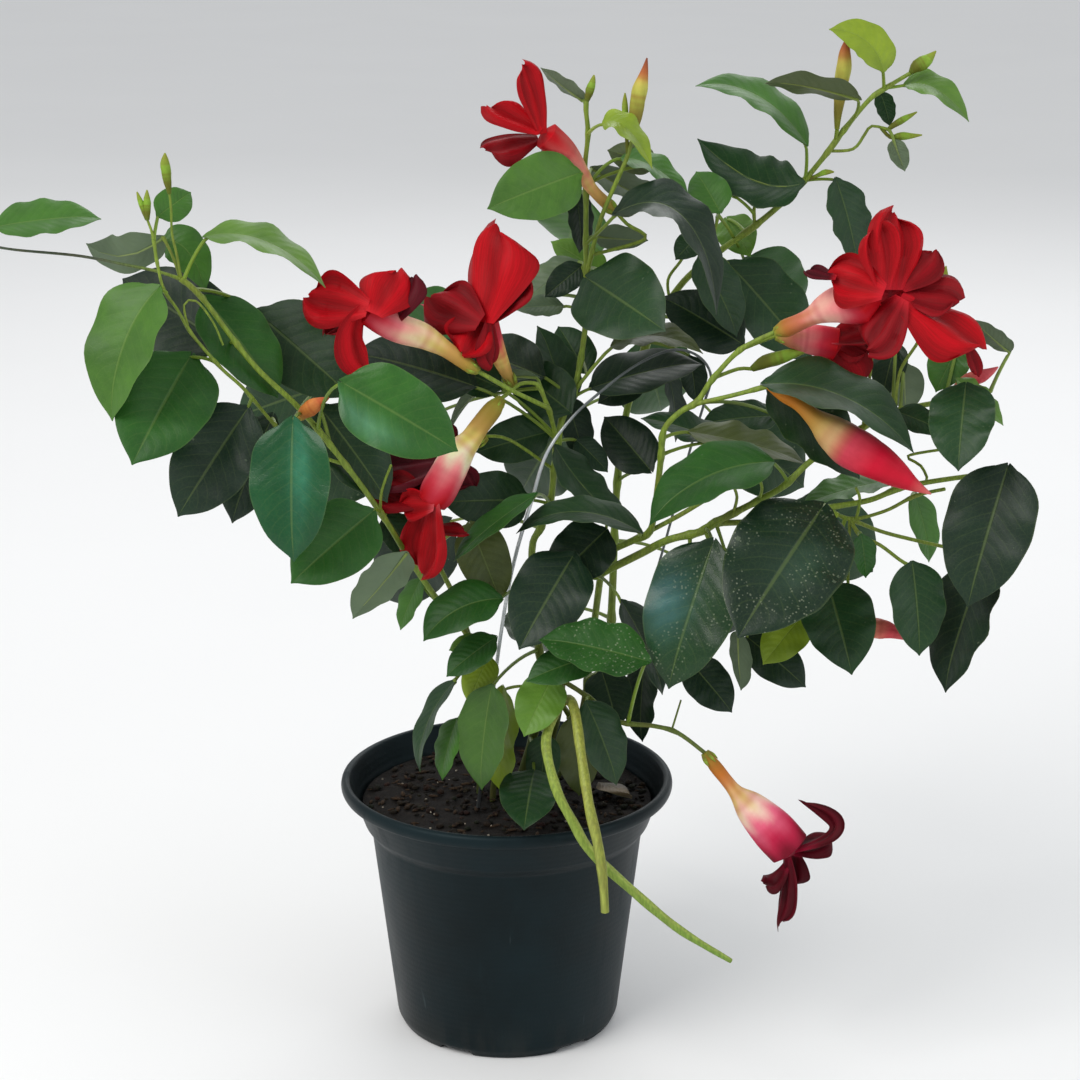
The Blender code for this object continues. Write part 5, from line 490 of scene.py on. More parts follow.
class Blade:
    """A leaf blade or a petal laid out from what is seen of it."""

    def __init__(self, name, base, tip, width, y, opt, petal=False):
        self.name, self.base, self.tip, self.width, self.y, self.opt = name, base, tip, width, y, opt
        self.petal = petal
        self.ratio = opt.get('r', 0.9 if petal else BLADE_RATIO)
        self.k = opt.get('k', 0.0 if ('m' in opt or petal) else 0.05)
        self.fold = opt.get('fold', 0.14 if petal else FOLD)
        self.under = opt.get('u', 0)
        self.profile = PROFILE_PETAL if petal else PROFILE_LEAF
        self.shift = 0.0
        self.settle()

    def settle(self):
        y = self.y
        mm = seen(at(self.base[0], self.base[1], y))[2] / EYE_F
        b, t = self.base, self.tip
        if 'm' in self.opt:
            m = self.opt['m']
            lpx = math.hypot(m[0] - b[0], m[1] - b[1]) + math.hypot(t[0] - m[0], t[1] - m[1])
            self.ctrl = (2 * m[0] - (b[0] + t[0]) / 2, 2 * m[1] - (b[1] + t[1]) / 2)
        else:
            lpx = math.hypot(t[0] - b[0], t[1] - b[1])
            self.ctrl = ((b[0] + t[0]) / 2, (b[1] + t[1]) / 2)
        lv, wv = lpx * mm, self.width * mm
        if wv > self.ratio * lv:
            length = min(wv / self.ratio, lv * (1.35 if self.petal else 1.8))
            dd = math.sqrt(max(length * length - lv * lv, 0.0)) * _cp
            self.W, roll = wv, 0.16
            cases = [(dd, roll), (-dd, roll), (dd, -roll), (-dd, -roll)]
        else:
            self.W = min(self.ratio * lv, wv / math.cos(math.radians(50 if self.petal else 64)))
            roll = math.acos(min(1.0, wv / self.W))
            length = lv
            dd = 0.22 * lv
            cases = [(dd, roll), (dd, -roll), (-dd, roll), (-dd, -roll)]
        self.L = length
        best = None
        for dd, roll in cases:
            self.dd, self.roll = dd, roll
            n = self.frame(0.5)[2]
            score = n[2] - 0.0004 * abs(dd)
            if best is None or score > best[0]:
                best = (score, dd, roll)
        _, self.dd, self.roll = best
        if 's' in self.opt:
            self.dd = abs(self.dd) * self.opt['s']
        if 'q' in self.opt:
            self.roll = abs(self.roll) * self.opt['q']

    def mid(self, t):
        c = bez(self.base, self.ctrl, self.tip, t)
        y = self.y + self.shift + self.dd * (t - 0.45)
        return at(c[0], c[1], y)

    def frame(self, t):
        """Midrib point, across direction, upper normal."""
        a, b = max(t - 0.04, 0.0), min(t + 0.04, 1.0)
        tau = vnorm(vsub(self.mid(b), self.mid(a)))
        m = self.mid(t)
        v = vnorm(vsub(m, EYE))
        w0 = vnorm(vcross(v, tau))
        n0 = vcross(w0, tau)
        c, s = math.cos(self.roll), math.sin(self.roll)
        w = vadd(vmul(w0, c), vmul(n0, s))
        n = vsub(vmul(n0, c), vmul(w0, s))
        if self.under:
            n = vmul(n, -1.0)
        return m, w, n

    def half(self, t):
        return 0.5 * self.W * prof(self.profile, t)

    def point(self, t, s, lift=0.0):
        m, w, n = self.frame(t)
        h = self.half(t) * s
        up = self.k * self.L * 4 * t * (1 - t) * (-1.0 if self.under else 1.0) * 0.6
        z = abs(h) * math.sin(self.fold) + up + lift
        x = h * math.cos(self.fold)
        return vadd(m, vadd(vmul(w, x), vmul(n, z)))


def stem_nearest(name, px, py):
    """Point on a stem's centre line nearest to a sheet position, and the stem's radius there."""
    best = None
    for pts, r0, r1 in STEMS[name]:
        w = [pt(q) for q in pts]
        s = [seen(p)[:2] for p in w]
        n = len(w) - 1
        for i in range(n):
            ax, ay = s[i]
            bx, by = s[i + 1]
            dx, dy = bx - ax, by - ay
            q = dx * dx + dy * dy
            t = 0.0 if q < 1e-9 else min(max(((px - ax) * dx + (py - ay) * dy) / q, 0.0), 1.0)
            d = math.hypot(ax + dx * t - px, ay + dy * t - py)
            if best is None or d < best[0] - 1e-9:
                best = (d, vlerp(w[i], w[i + 1], t), r0 + (r1 - r0) * (i + t) / n, vnorm(vsub(w[i + 1], w[i])))
    return best[1], best[2], best[3]


def make_blades():
    out = []
    for name, base, tip, width, y, foot, opt in LEAVES:
        b = Blade(name, base, tip, width, y, opt)
        b.foot = foot
        b.own = opt.get('own', 0)
        b.tone = opt.get('t', 2)
        b.order = y
        out.append(b)
    for name, base, tip, width, foot, tone in BACK:
        bs, ts = seen(base), seen(tip)
        yc = (base[1] + tip[1]) / 2
        b = Blade(name, bs[:2], ts[:2], width * EYE_F / bs[2], yc, dict(t=tone, own=0))
        b.W = width
        b.dd = tip[1] - base[1]
        b.L = vlen(vsub(tip, base))
        b.foot = (foot[0],) + seen(foot[1:])[:2]
        b.own = 0
        b.tone = tone
        b.order = yc
        b.back = True
        out.append(b)
    return out


def stalk_path(b):
    """Leaf stalk from its stem to the blade's base: foot, control, base."""
    stem, px, py = b.foot
    foot, r, along = stem_nearest(stem, px, py)
    end = b.mid(0.0)
    if 'pc' in b.opt:
        q = b.opt['pc']
        c = at(q[0], q[1], (foot[1] + end[1]) / 2)
    else:
        d = vlen(vsub(end, foot))
        c = vadd(vlerp(foot, end, 0.5), (0.0, 0.0, 0.10 * d))
    return foot, c, end, r, along


# Depth order.  Blades keep their place on the sheet and slide in depth until
# those that cover one another stand clear.
CELL = 5.0


def cover(points):
    cells = {}
    for p in points:
        x, y, _ = seen(p)
        key = (int(math.floor(x / CELL)), int(math.floor(y / CELL)))
        v = cells.get(key)
        if v is None:
            cells[key] = [p[1], p[1]]
        else:
            if p[1] < v[0]:
                v[0] = p[1]
            if p[1] > v[1]:
                v[1] = p[1]
    return cells


def blade_cover(b):
    pts = []
    nt = max(8, int(b.L / 1.6))
    for i in range(nt + 1):
        t = i / nt
        m, w, n = b.frame(t)
        h = b.half(t)
        ns = max(2, int(h / 1.2))
        up = b.k * b.L * 4 * t * (1 - t) * (-1.0 if b.under else 1.0) * 0.6
        for j in range(-ns, ns + 1):
            s = j / ns
            pts.append(vadd(m, vadd(vmul(w, h * s * math.cos(b.fold)),
                                    vmul(n, abs(h * s) * math.sin(b.fold) + up))))
    return cover(pts)


def tube_cover(pts4):
    pts = []
    for (a, ra), (b, rb) in zip(pts4, pts4[1:]):
        n = max(2, int(vlen(vsub(b, a)) / 1.5))
        for i in range(n + 1):
            t = i / n
            c = vlerp(a, b, t)
            r = ra + (rb - ra) * t
            k = max(1, int(r / 1.2))
            for j in range(-k, k + 1):
                x = r * j / k
                for yy in (-1, 1):
                    pts.append((c[0] + x, c[1] + yy * math.sqrt(max(r * r - x * x, 0.0)), c[2]))
                    pts.append((c[0], c[1] + yy * math.sqrt(max(r * r - x * x, 0.0)), c[2] + x))
    return cover(pts)


def solve_depths(blades):
    items = []
    for b in blades:
        items.append(dict(cells=blade_cover(b), fixed=False, blade=b, order=b.order))
    for name, branches in STEMS.items():
        for pts, r0, r1 in branches:
            n = len(pts) - 1
            w = [(pt(q), r0 + (r1 - r0) * i / n) for i, q in enumerate(pts)]
            items.append(dict(cells=tube_cover(w), fixed=True, stem=name))
    items.append(dict(cells=tube_cover([(pt(q), HOOP_R) for q in HOOP]), fixed=True))
    for f in FLOWERS.values():
        items.append(dict(cells=tube_cover([(at(*q[:3]), q[3]) for q in f['tube']]), fixed=True))
        for q in f['petals']:
            items.append(dict(cells=blade_cover(Blade('p', q[0:2], q[2:4], q[4], q[5], q[7], petal=True)), fixed=True))
    for pts, kind, host in BUDS.values():
        items.append(dict(cells=tube_cover([(at(*q[:3]), q[3]) for q in pts]), fixed=True))
    for pod in PODS:
        items.append(dict(cells=tube_cover([(at(*q[:3]), q[3]) for q in pod]), fixed=True))
    n = len(items)
    grid = {}
    for i, it in enumerate(items):
        for key in it['cells']:
            grid.setdefault(key, []).append(i)
    pairs = {}
    for key, members in grid.items():
        for a in range(len(members)):
            for c in range(a + 1, len(members)):
                i, j = members[a], members[c]
                if items[i]['fixed'] and items[j]['fixed']:
                    continue
                pairs.setdefault((i, j), []).append(key)
    cons = []
    for (i, j), keys in sorted(pairs.items()):
        a, b = items[i], items[j]
        mean = sum((b['cells'][k][0] + b['cells'][k][1] - a['cells'][k][0] - a['cells'][k][1]) for k in keys)
        if not a['fixed'] and not b['fixed']:
            front = a['order'] <= b['order']
        else:
            front = mean >= 0
        gap = LAYER_GAP
        if front:
            g = max(gap - (b['cells'][k][0] - a['cells'][k][1]) for k in keys)
            cons.append((i, j, g))
        else:
            g = max(gap - (a['cells'][k][0] - b['cells'][k][1]) for k in keys)
            cons.append((j, i, g))
    sh = [0.0] * n
    for _ in range(600):
        worst = 0.0
        for i, j, g in cons:
            e = g - (sh[j] - sh[i])
            if e > 0.01:
                worst = max(worst, e)
                if items[i]['fixed']:
                    sh[j] += e * 0.9
                elif items[j]['fixed']:
                    sh[i] -= e * 0.9
                else:
                    sh[i] -= e * 0.5
                    sh[j] += e * 0.5
        if worst < 0.05:
            break
    for i, it in enumerate(items):
        if not it['fixed']:
            it['blade'].shift = sh[i]
    return worst, cons, sh


# ------------------------------------------------------------------- colours
def lin(r, g, b):
    """Linear colour of a display colour given as 0..255."""
    out = []
    for c in (r, g, b):
        c /= 255.0
        out.append(c / 12.92 if c <= 0.04045 else ((c + 0.055) / 1.055) ** 2.4)
    return tuple(out)


# leaf tones: leaf colour and partly painted light, the lighter tones standing in for lit leaves and the darker for
# shaded ones
TONE = {0: lin(17, 40, 25), 1: lin(23, 54, 26), 2: lin(34, 80, 25), 3: lin(58, 104, 34), 4: lin(84, 122, 44),
        5: lin(122, 146, 38), 6: lin(84, 104, 80), 7: lin(66, 78, 34), 8: lin(96, 76, 44), 9: lin(56, 92, 32)}
PETAL = {0: lin(192, 0, 18), 1: lin(146, 0, 16), 2: lin(92, 2, 22), 3: lin(222, 90, 108)}
STALK = lin(126, 150, 52)
STEM_YOUNG, STEM_OLD = lin(118, 142, 44), lin(74, 84, 38)


def mixc(a, b, k):
    k = min(max(k, 0.0), 1.0)
    return tuple(a[i] + (b[i] - a[i]) * k for i in range(3))


def ramp(stops, u):
    for (u0, c0), (u1, c1) in zip(stops, stops[1:]):
        if u <= u1:
            return mixc(c0, c1, (u - u0) / max(u1 - u0, 1e-6))
    return stops[-1][1]


# -------------------------------------------------------------- mesh helpers
class Bag:
    """Vertices, faces and per-vertex values gathered for one mesh."""

    def __init__(self):
        self.v, self.f, self.col, self.lf, self.mat = [], [], [], [], []

    def add(self, verts, faces, cols, lfs, mat=0):
        o = len(self.v)
        self.v += verts
        self.f += [tuple(i + o for i in f) for f in faces]
        self.col += cols
        self.lf += lfs
        self.mat += [mat] * len(faces)


def make_piece(name, bag, materials, nodes, sharp=50.0):
    me = bpy.data.meshes.new(name)
    me.from_pydata([(x * 0.001, y * 0.001, z * 0.001) for x, y, z in bag.v], [], bag.f)
    a = me.attributes.new('tint', 'FLOAT_COLOR', 'POINT')
    a.data.foreach_set('color', np.array([c if len(c) == 4 else c + (0.0,) for c in bag.col], np.float32).ravel())
    a = me.attributes.new('lf', 'FLOAT_VECTOR', 'POINT')
    a.data.foreach_set('vector', np.array(bag.lf, np.float32).ravel())
    for m in materials:
        me.materials.append(m)
    if len(materials) > 1:
        me.polygons.foreach_set('material_index', np.array(bag.mat, np.int32))
    me.polygons.foreach_set('use_smooth', np.ones(len(bag.f), bool))
    me.update()
    me.set_sharp_from_angle(angle=math.radians(sharp))
    ob = bpy.data.objects.new(name, me)
    bpy.context.scene.collection.objects.link(ob)
    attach(ob, 'root')
    if nodes:
        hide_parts(*nodes)
    return ob


def smooth_path(points, radii, per=4):
    """Catmull-Rom through the points; returns finer points and radii."""
    n = len(points)
    out, rad = [], []
    for i in range(n - 1):
        p0, p1, p2, p3 = points[max(i - 1, 0)], points[i], points[i + 1], points[min(i + 2, n - 1)]
        r0, r1, r2, r3 = radii[max(i - 1, 0)], radii[i], radii[i + 1], radii[min(i + 2, n - 1)]
        k = max(2, min(10, int(vlen(vsub(p2, p1)) / per) + 1))
        for j in range(k):
            t = j / k
            t2, t3 = t * t, t * t * t
            out.append(tuple(0.5 * (2 * p1[a] + (p2[a] - p0[a]) * t + (2 * p0[a] - 5 * p1[a] + 4 * p2[a] - p3[a]) * t2
                                    + (3 * p1[a] - p0[a] - 3 * p2[a] + p3[a]) * t3) for a in range(3)))
            rr = 0.5 * (2 * r1 + (r2 - r0) * t + (2 * r0 - 5 * r1 + 4 * r2 - r3) * t2 + (3 * r1 - r0 - 3 * r2 + r3) * t3)
            rad.append(max(rr, 0.15))
    out.append(points[-1])
    rad.append(radii[-1])
    return out, rad


def add_tube(bag, pts, rad, n, colour, kind=2.0, wobble=None, flat=0.0):
    """Round tube with rounded ends. colour(i, u, a) gives each vertex's colour."""
    m = len(pts)
    verts, cols, lfs, faces = [], [], [], []
    u = None
    total = sum(vlen(vsub(pts[i + 1], pts[i])) for i in range(m - 1))
    run = 0.0
    for i in range(m):
        a, b = pts[max(i - 1, 0)], pts[min(i + 1, m - 1)]
        t = vnorm(vsub(b, a))
        if u is None:
            u = vnorm(vcross(t, (0.31, 0.89, 0.33)))
        u = vnorm(vsub(u, vmul(t, vdot(u, t))))
        v = vcross(t, u)
        if i:
            run += vlen(vsub(pts[i], pts[i - 1]))
        q = run / max(total, 1e-6)
        for j in range(n):
            ang = 2 * math.pi * j / n
            r = rad[i] * (1.0 if wobble is None else wobble(q, ang))
            verts.append(vadd(pts[i], vadd(vmul(u, r * math.cos(ang)), vmul(v, r * math.sin(ang)))))
            cols.append(colour(i, q, ang))
            lfs.append((q, 0.5, kind))
    for i in range(m - 1):
        for j in range(n):
            k = (j + 1) % n
            faces.append((i * n + j, i * n + k, (i + 1) * n + k, (i + 1) * n + j))
    for end, base, sign in ((0, 0, -1), (m - 1, (m - 1) * n, 1)):
        a, b = pts[max(end - 1, 0)], pts[min(end + 1, m - 1)]
        t = vmul(vnorm(vsub(b, a)), sign)
        verts.append(vadd(pts[end], vmul(t, rad[end] * 0.45)))
        cols.append(cols[base])
        lfs.append(lfs[base])
        c = len(verts) - 1
        for j in range(n):
            k = (j + 1) % n
            faces.append((c, base + k, base + j) if sign < 0 else (base + j, base + k, c))
    bag.add(verts, faces, cols, lfs)


def smooth_prof(table, t):
    """Smooth curve through a profile table."""
    t = min(max(t, 0.0), 1.0)
    n = len(table)
    for i in range(n - 1):
        if t <= table[i + 1][0]:
            t0, t1 = table[i][0], table[i + 1][0]
            h = t1 - t0
            v0, v1 = table[i][1], table[i + 1][1]
            d0 = (v1 - table[i - 1][1]) / (t1 - table[i - 1][0]) if i else (v1 - v0) / h
            d1 = (table[i + 2][1] - v0) / (table[i + 2][0] - t0) if i + 2 < n else (v1 - v0) / h
            k = (t - t0) / h
            k2, k3 = k * k, k * k * k
            return (2 * k3 - 3 * k2 + 1) * v0 + (k3 - 2 * k2 + k) * h * d0 + (3 * k2 - 2 * k3) * v1 + (k3 - k2) * h * d1
    return 0.0


def add_sheet(bag, top, low, rows, cols_n, col, lf_top, lf_low):
    """Closed thin sheet from two grids of points, stitched round the edge."""
    n = rows * cols_n
    faces = []
    for i in range(rows - 1):
        for j in range(cols_n - 1):
            a, b, c, d = i * cols_n + j, i * cols_n + j + 1, (i + 1) * cols_n + j + 1, (i + 1) * cols_n + j
            faces.append((a, b, c, d))
            faces.append((n + d, n + c, n + b, n + a))
    rim = [j for j in range(cols_n)] + [i * cols_n + cols_n - 1 for i in range(1, rows)] \
        + [(rows - 1) * cols_n + j for j in range(cols_n - 2, -1, -1)] + [i * cols_n for i in range(rows - 2, 0, -1)]
    for a, b in zip(rim, rim[1:] + rim[:1]):
        faces.append((b, a, n + a, n + b))
    bag.add(top + low, faces, col + col, lf_top + lf_low)


PROFILE_LOOK = [(0, 0.07), (0.02, 0.30), (0.06, 0.56), (0.12, 0.78), (0.2, 0.93), (0.3, 0.995), (0.4, 1.01),
                (0.5, 0.985), (0.6, 0.925), (0.7, 0.81), (0.8, 0.635), (0.87, 0.45), (0.92, 0.275), (0.96, 0.12), (1, 0)]
S_COLS = (-1.0, -0.955, -0.8, -0.58, -0.34, -0.13, -0.035, 0.035, 0.13, 0.34, 0.58, 0.8, 0.955, 1.0)


def hash01(name, k=0):
    h = 2166136261
    for ch in name + str(k):
        h = ((h ^ ord(ch)) * 16777619) & 0xffffffff
    return (h % 10007) / 10007.0


# painted sheen: cool reflected light painted into the colour of some blades: tone, strength, place along and across,
# reach along and across
SHEEN = {'L14': (lin(62, 138, 118), 0.48, 0.32, -0.24, 0.36, 0.26), 'L15': (lin(104, 160, 136), 0.46, 0.30, 0.62, 0.26, 0.28),
         'R17': (lin(72, 120, 128), 0.62, 0.46, 0.55, 0.20, 0.46), 'R18': (lin(86, 118, 106), 0.20, 0.42, -0.25, 0.20, 0.30)}
TONE_OF = {'L14': lin(17, 66, 36), 'L15': lin(44, 92, 32), 'L08': lin(62, 102, 34), 'T04': lin(66, 106, 38)}


def add_leaf(bag, b, thick=0.36):
    """One leaf: blade and stalk."""
    foot, ctrl, end, r_stem, along = stalk_path(b)
    rnd = lambda k: hash01(b.name, k)
    tone = TONE_OF.get(b.name, TONE[b.tone])
    g = b.opt.get('g', 0.12)
    vary = 0.9 + 0.22 * rnd(1)
    tone = tuple(min(1.0, c * vary) for c in tone)
    nt = 26 if b.L > 30 else 18
    top, low, col, lt, ll = [], [], [], [], []
    waves, ph = 2.2 + 1.6 * rnd(2), 6.28 * rnd(3)
    amp = 0.045 * b.W * (0.5 + 0.7 * rnd(4))
    curl = 0.12 + 0.16 * rnd(5)
    cord = 0.050 * (0.4 + 0.8 * rnd(6))
    droop = 0.05 * b.L * (0.3 + rnd(7))
    speck = b.opt.get('v', 0)
    glow = SHEEN.get(b.name, (tone, 0.0, 0.5, 0.0, 1.0, 1.0))
    for i in range(nt + 1):
        q = i / nt
        t = 0.5 * q + 0.5 * (0.5 - 0.5 * math.cos(math.pi * q))
        m, w, n = b.frame(t)
        tau = vnorm(vsub(b.mid(min(t + 0.05, 1.0)), b.mid(max(t - 0.05, 0.0))))
        h = max(0.5 * b.W * smooth_prof(PROFILE_LOOK, t), 0.22)
        up = b.k * b.L * 4 * t * (1 - t) * (-1.0 if b.under else 1.0) * 0.6
        for s in S_COLS:
            a = abs(s)
            x = h * s * math.cos(b.fold)
            z = h * (math.sqrt(a * a + 0.004) - 0.063) * math.sin(b.fold)
            z -= curl * h * a ** 3 * 0.55
            z += amp * math.sin(6.283 * waves * t + ph + (1.4 if s > 0 else 0.0)) * a * a * math.sin(math.pi * min(t * 1.1, 1.0))
            z += 0.0035 * b.L * math.sin(6.283 * (6.5 * (t - 0.22 * a))) * a * (1 - a) * 2.0 * (1 - t)
            z += up - droop * max(0.0, t - 0.72) ** 2 * 8.0
            back = -cord * b.L * math.sin(math.pi * min(a * 1.15, 1.0)) * max(0.0, 1 - t / 0.22) ** 1.5
            p = vadd(m, vadd(vadd(vmul(w, x), vmul(n, z)), vmul(tau, back)))
            th = thick * 0.5 * (1.0 - 0.6 * a)
            top.append(vadd(p, vmul(n, th)))
            low.append(vsub(p, vmul(n, th)))
            # painted sheen: a soft cool patch of reflected light mixed into the blade's colour
            lit = glow[1] * (0.86 + 0.14 * math.sin(44.0 * (t - 0.25 * a))) * math.exp(-((t - glow[2]) / glow[4]) ** 2 - ((s - glow[3]) / glow[5]) ** 2)
            col.append(mixc(tone, glow[0], lit) + (g,))
            lt.append((t, s, 1.0 + 0.25 * speck))
            ll.append((t, s, 0.0))
    add_sheet(bag, top, low, nt + 1, len(S_COLS), col, lt, ll)
    # midrib under the blade and the stalk, one tapering rod
    pts = [bez(foot, ctrl, end, k / 7.0) for k in range(7)]
    rad = [1.15, 0.95, 0.9, 0.88, 0.86, 0.85, 0.84]
    for t, r in ((0.0, 0.8), (0.12, 0.62), (0.3, 0.46), (0.55, 0.32), (0.8, 0.18)):
        m, w, n = b.frame(t)
        up = b.k * b.L * 4 * t * (1 - t) * (-1.0 if b.under else 1.0) * 0.6 - droop * max(0.0, t - 0.72) ** 2 * 8.0
        pts.append(vadd(m, vmul(n, up - r * 0.75)))
        rad.append(r)
    d = vlen(vsub(end, foot))
    if d < 2.0:
        pts, rad = pts[7:], rad[7:]
    stalk = mixc(STALK, tone, 0.35)
    rib = mixc(tone, lin(150, 165, 90), 0.45)
    k = len(pts)
    add_tube(bag, pts, rad, 6, lambda i, u, a: (mixc(stalk, rib, (i - k + 6) / 3.0) + (0.1,)), 2.0)


P_COLS = (-1.0, -0.93, -0.78, -0.6, -0.42, -0.25, -0.08, 0.08, 0.25, 0.42, 0.6, 0.78, 0.93, 1.0)


def add_petal(bag, b, key, base_col, base_len=0.22):
    rnd = lambda k: hash01(key, k)
    tone = PETAL[b.tone]
    nt = 20
    top, low, col, lt, ll = [], [], [], [], []
    asym = (0.16 if rnd(1) > 0.5 else -0.16)
    ph = 6.28 * rnd(2)
    folds = 1.6 + 1.2 * rnd(3)
    amp = 0.15 + 0.10 * rnd(4)
    cup = (0.16 + 0.2 * rnd(5)) * (1 if rnd(6) > 0.35 else -1)
    for i in range(nt + 1):
        t = i / nt
        m0, w, n = b.frame(t)
        h0 = 0.5 * b.W
        f = smooth_prof(PROFILE_PETAL, t * 0.985)
        h = max(h0 * f, 0.35)
        tau = vnorm(vsub(b.mid(min(t + 0.05, 1.0)), b.mid(max(t - 0.05, 0.0))))
        for s in P_COLS:
            a = abs(s)
            x = h * s
            z = cup * h * s * s * (0.4 + 0.6 * t)
            z += amp * h * math.sin(3.14159 * folds * s + ph) * (0.25 + 0.75 * t) * (0.5 + 0.5 * a)
            z += 0.05 * h0 * math.sin(6.283 * (1.3 * t + 0.5 * s) + ph * 1.7) * t
            z += 0.03 * h0 * math.sin(9.0 * s + 12.0 * t + ph) * t
            dx = -asym * s * b.L * 0.55 * t * t - 0.05 * b.L * t * t * (0.5 + 0.5 * math.cos(7 * s + ph))
            # a thin sheet whose rim curls a little back
            z -= 0.10 * h0 * max(0.0, a - 0.7) * 2.0 * t
            p = vadd(m0, vadd(vadd(vmul(w, x), vmul(n, z)), vmul(tau, dx)))
            th = 0.17 * (1.0 - 0.5 * a)
            top.append(vadd(p, vmul(n, th)))
            low.append(vsub(p, vmul(n, th)))
            k = max(0.0, 1.0 - t / base_len) ** 1.3
            # painted shade: the petal is coloured darker in the troughs of its folds, and a little darker towards the
            # tip
            shade = 1.0 - 0.38 * (0.5 + 0.5 * math.sin(3.14159 * folds * s + ph + 2.6)) - 0.10 * t
            c = mixc(tuple(q * shade for q in tone), base_col, k * 0.9)
            col.append(c + (0.0,))
            lt.append((t, s, 3.0))
            ll.append((t, s, 3.2))
    add_sheet(bag, top, low, nt + 1, len(P_COLS), col, lt, ll)


# ----------------------------------------------------------------- materials
class Nodes:
    """Small helper that chains shader nodes."""

    def __init__(self, name):
        self.mat = bpy.data.materials.new(name)
        self.mat.use_nodes = True
        self.t = self.mat.node_tree
        self.b = self.t.nodes['Principled BSDF']

    def n(self, kind, **kw):
        x = self.t.nodes.new(kind)
        for k, v in kw.items():
            setattr(x, k, v)
        return x

    def put(self, sock, v):
        if isinstance(v, bpy.types.NodeSocket):
            self.t.links.new(v, sock)
        elif isinstance(v, tuple) and len(v) == 3 and sock.type == 'RGBA':
            sock.default_value = v + (1.0,)
        else:
            sock.default_value = v

    def m(self, op, a, b=0.0, c=0.0, clamp=False):
        x = self.n('ShaderNodeMath', operation=op, use_clamp=clamp)
        self.put(x.inputs[0], a)
        self.put(x.inputs[1], b)
        self.put(x.inputs[2], c)
        return x.outputs[0]

    def mr(self, v, a, b, c=0.0, d=1.0, smooth=True):
        x = self.n('ShaderNodeMapRange')
        x.interpolation_type = 'SMOOTHSTEP' if smooth else 'LINEAR'
        for k, q in enumerate((v, a, b, c, d)):
            self.put(x.inputs[k], q)
        return x.outputs[0]

    def mix(self, f, a, b, mode='MIX'):
        x = self.n('ShaderNodeMix', data_type='RGBA', blend_type=mode)
        self.put(x.inputs[0], f)
        self.put(x.inputs[6], a)
        self.put(x.inputs[7], b)
        return x.outputs[2]

    def noise(self, scale, detail=3.0, rough=0.5, vec=None, dist=0.0):
        x = self.n('ShaderNodeTexNoise')
        x.inputs['Scale'].default_value = scale
        x.inputs['Detail'].default_value = detail
        x.inputs['Roughness'].default_value = rough
        x.inputs['Distortion'].default_value = dist
        self.put(x.inputs['Vector'], vec if vec is not None else self.coord())
        return x.outputs['Fac']

    def coord(self):
        if not hasattr(self, '_c'):
            self._c = self.n('ShaderNodeTexCoord').outputs['Object']
        return self._c

    def attr(self, name):
        x = self.n('ShaderNodeAttribute', attribute_name=name)
        return x

    def bump(self, height, strength, distance):
        x = self.n('ShaderNodeBump')
        x.inputs['Strength'].default_value = strength
        x.inputs['Distance'].default_value = distance
        self.put(x.inputs['Height'], height)
        self.put(self.b.inputs['Normal'], x.outputs['Normal'])
        return x


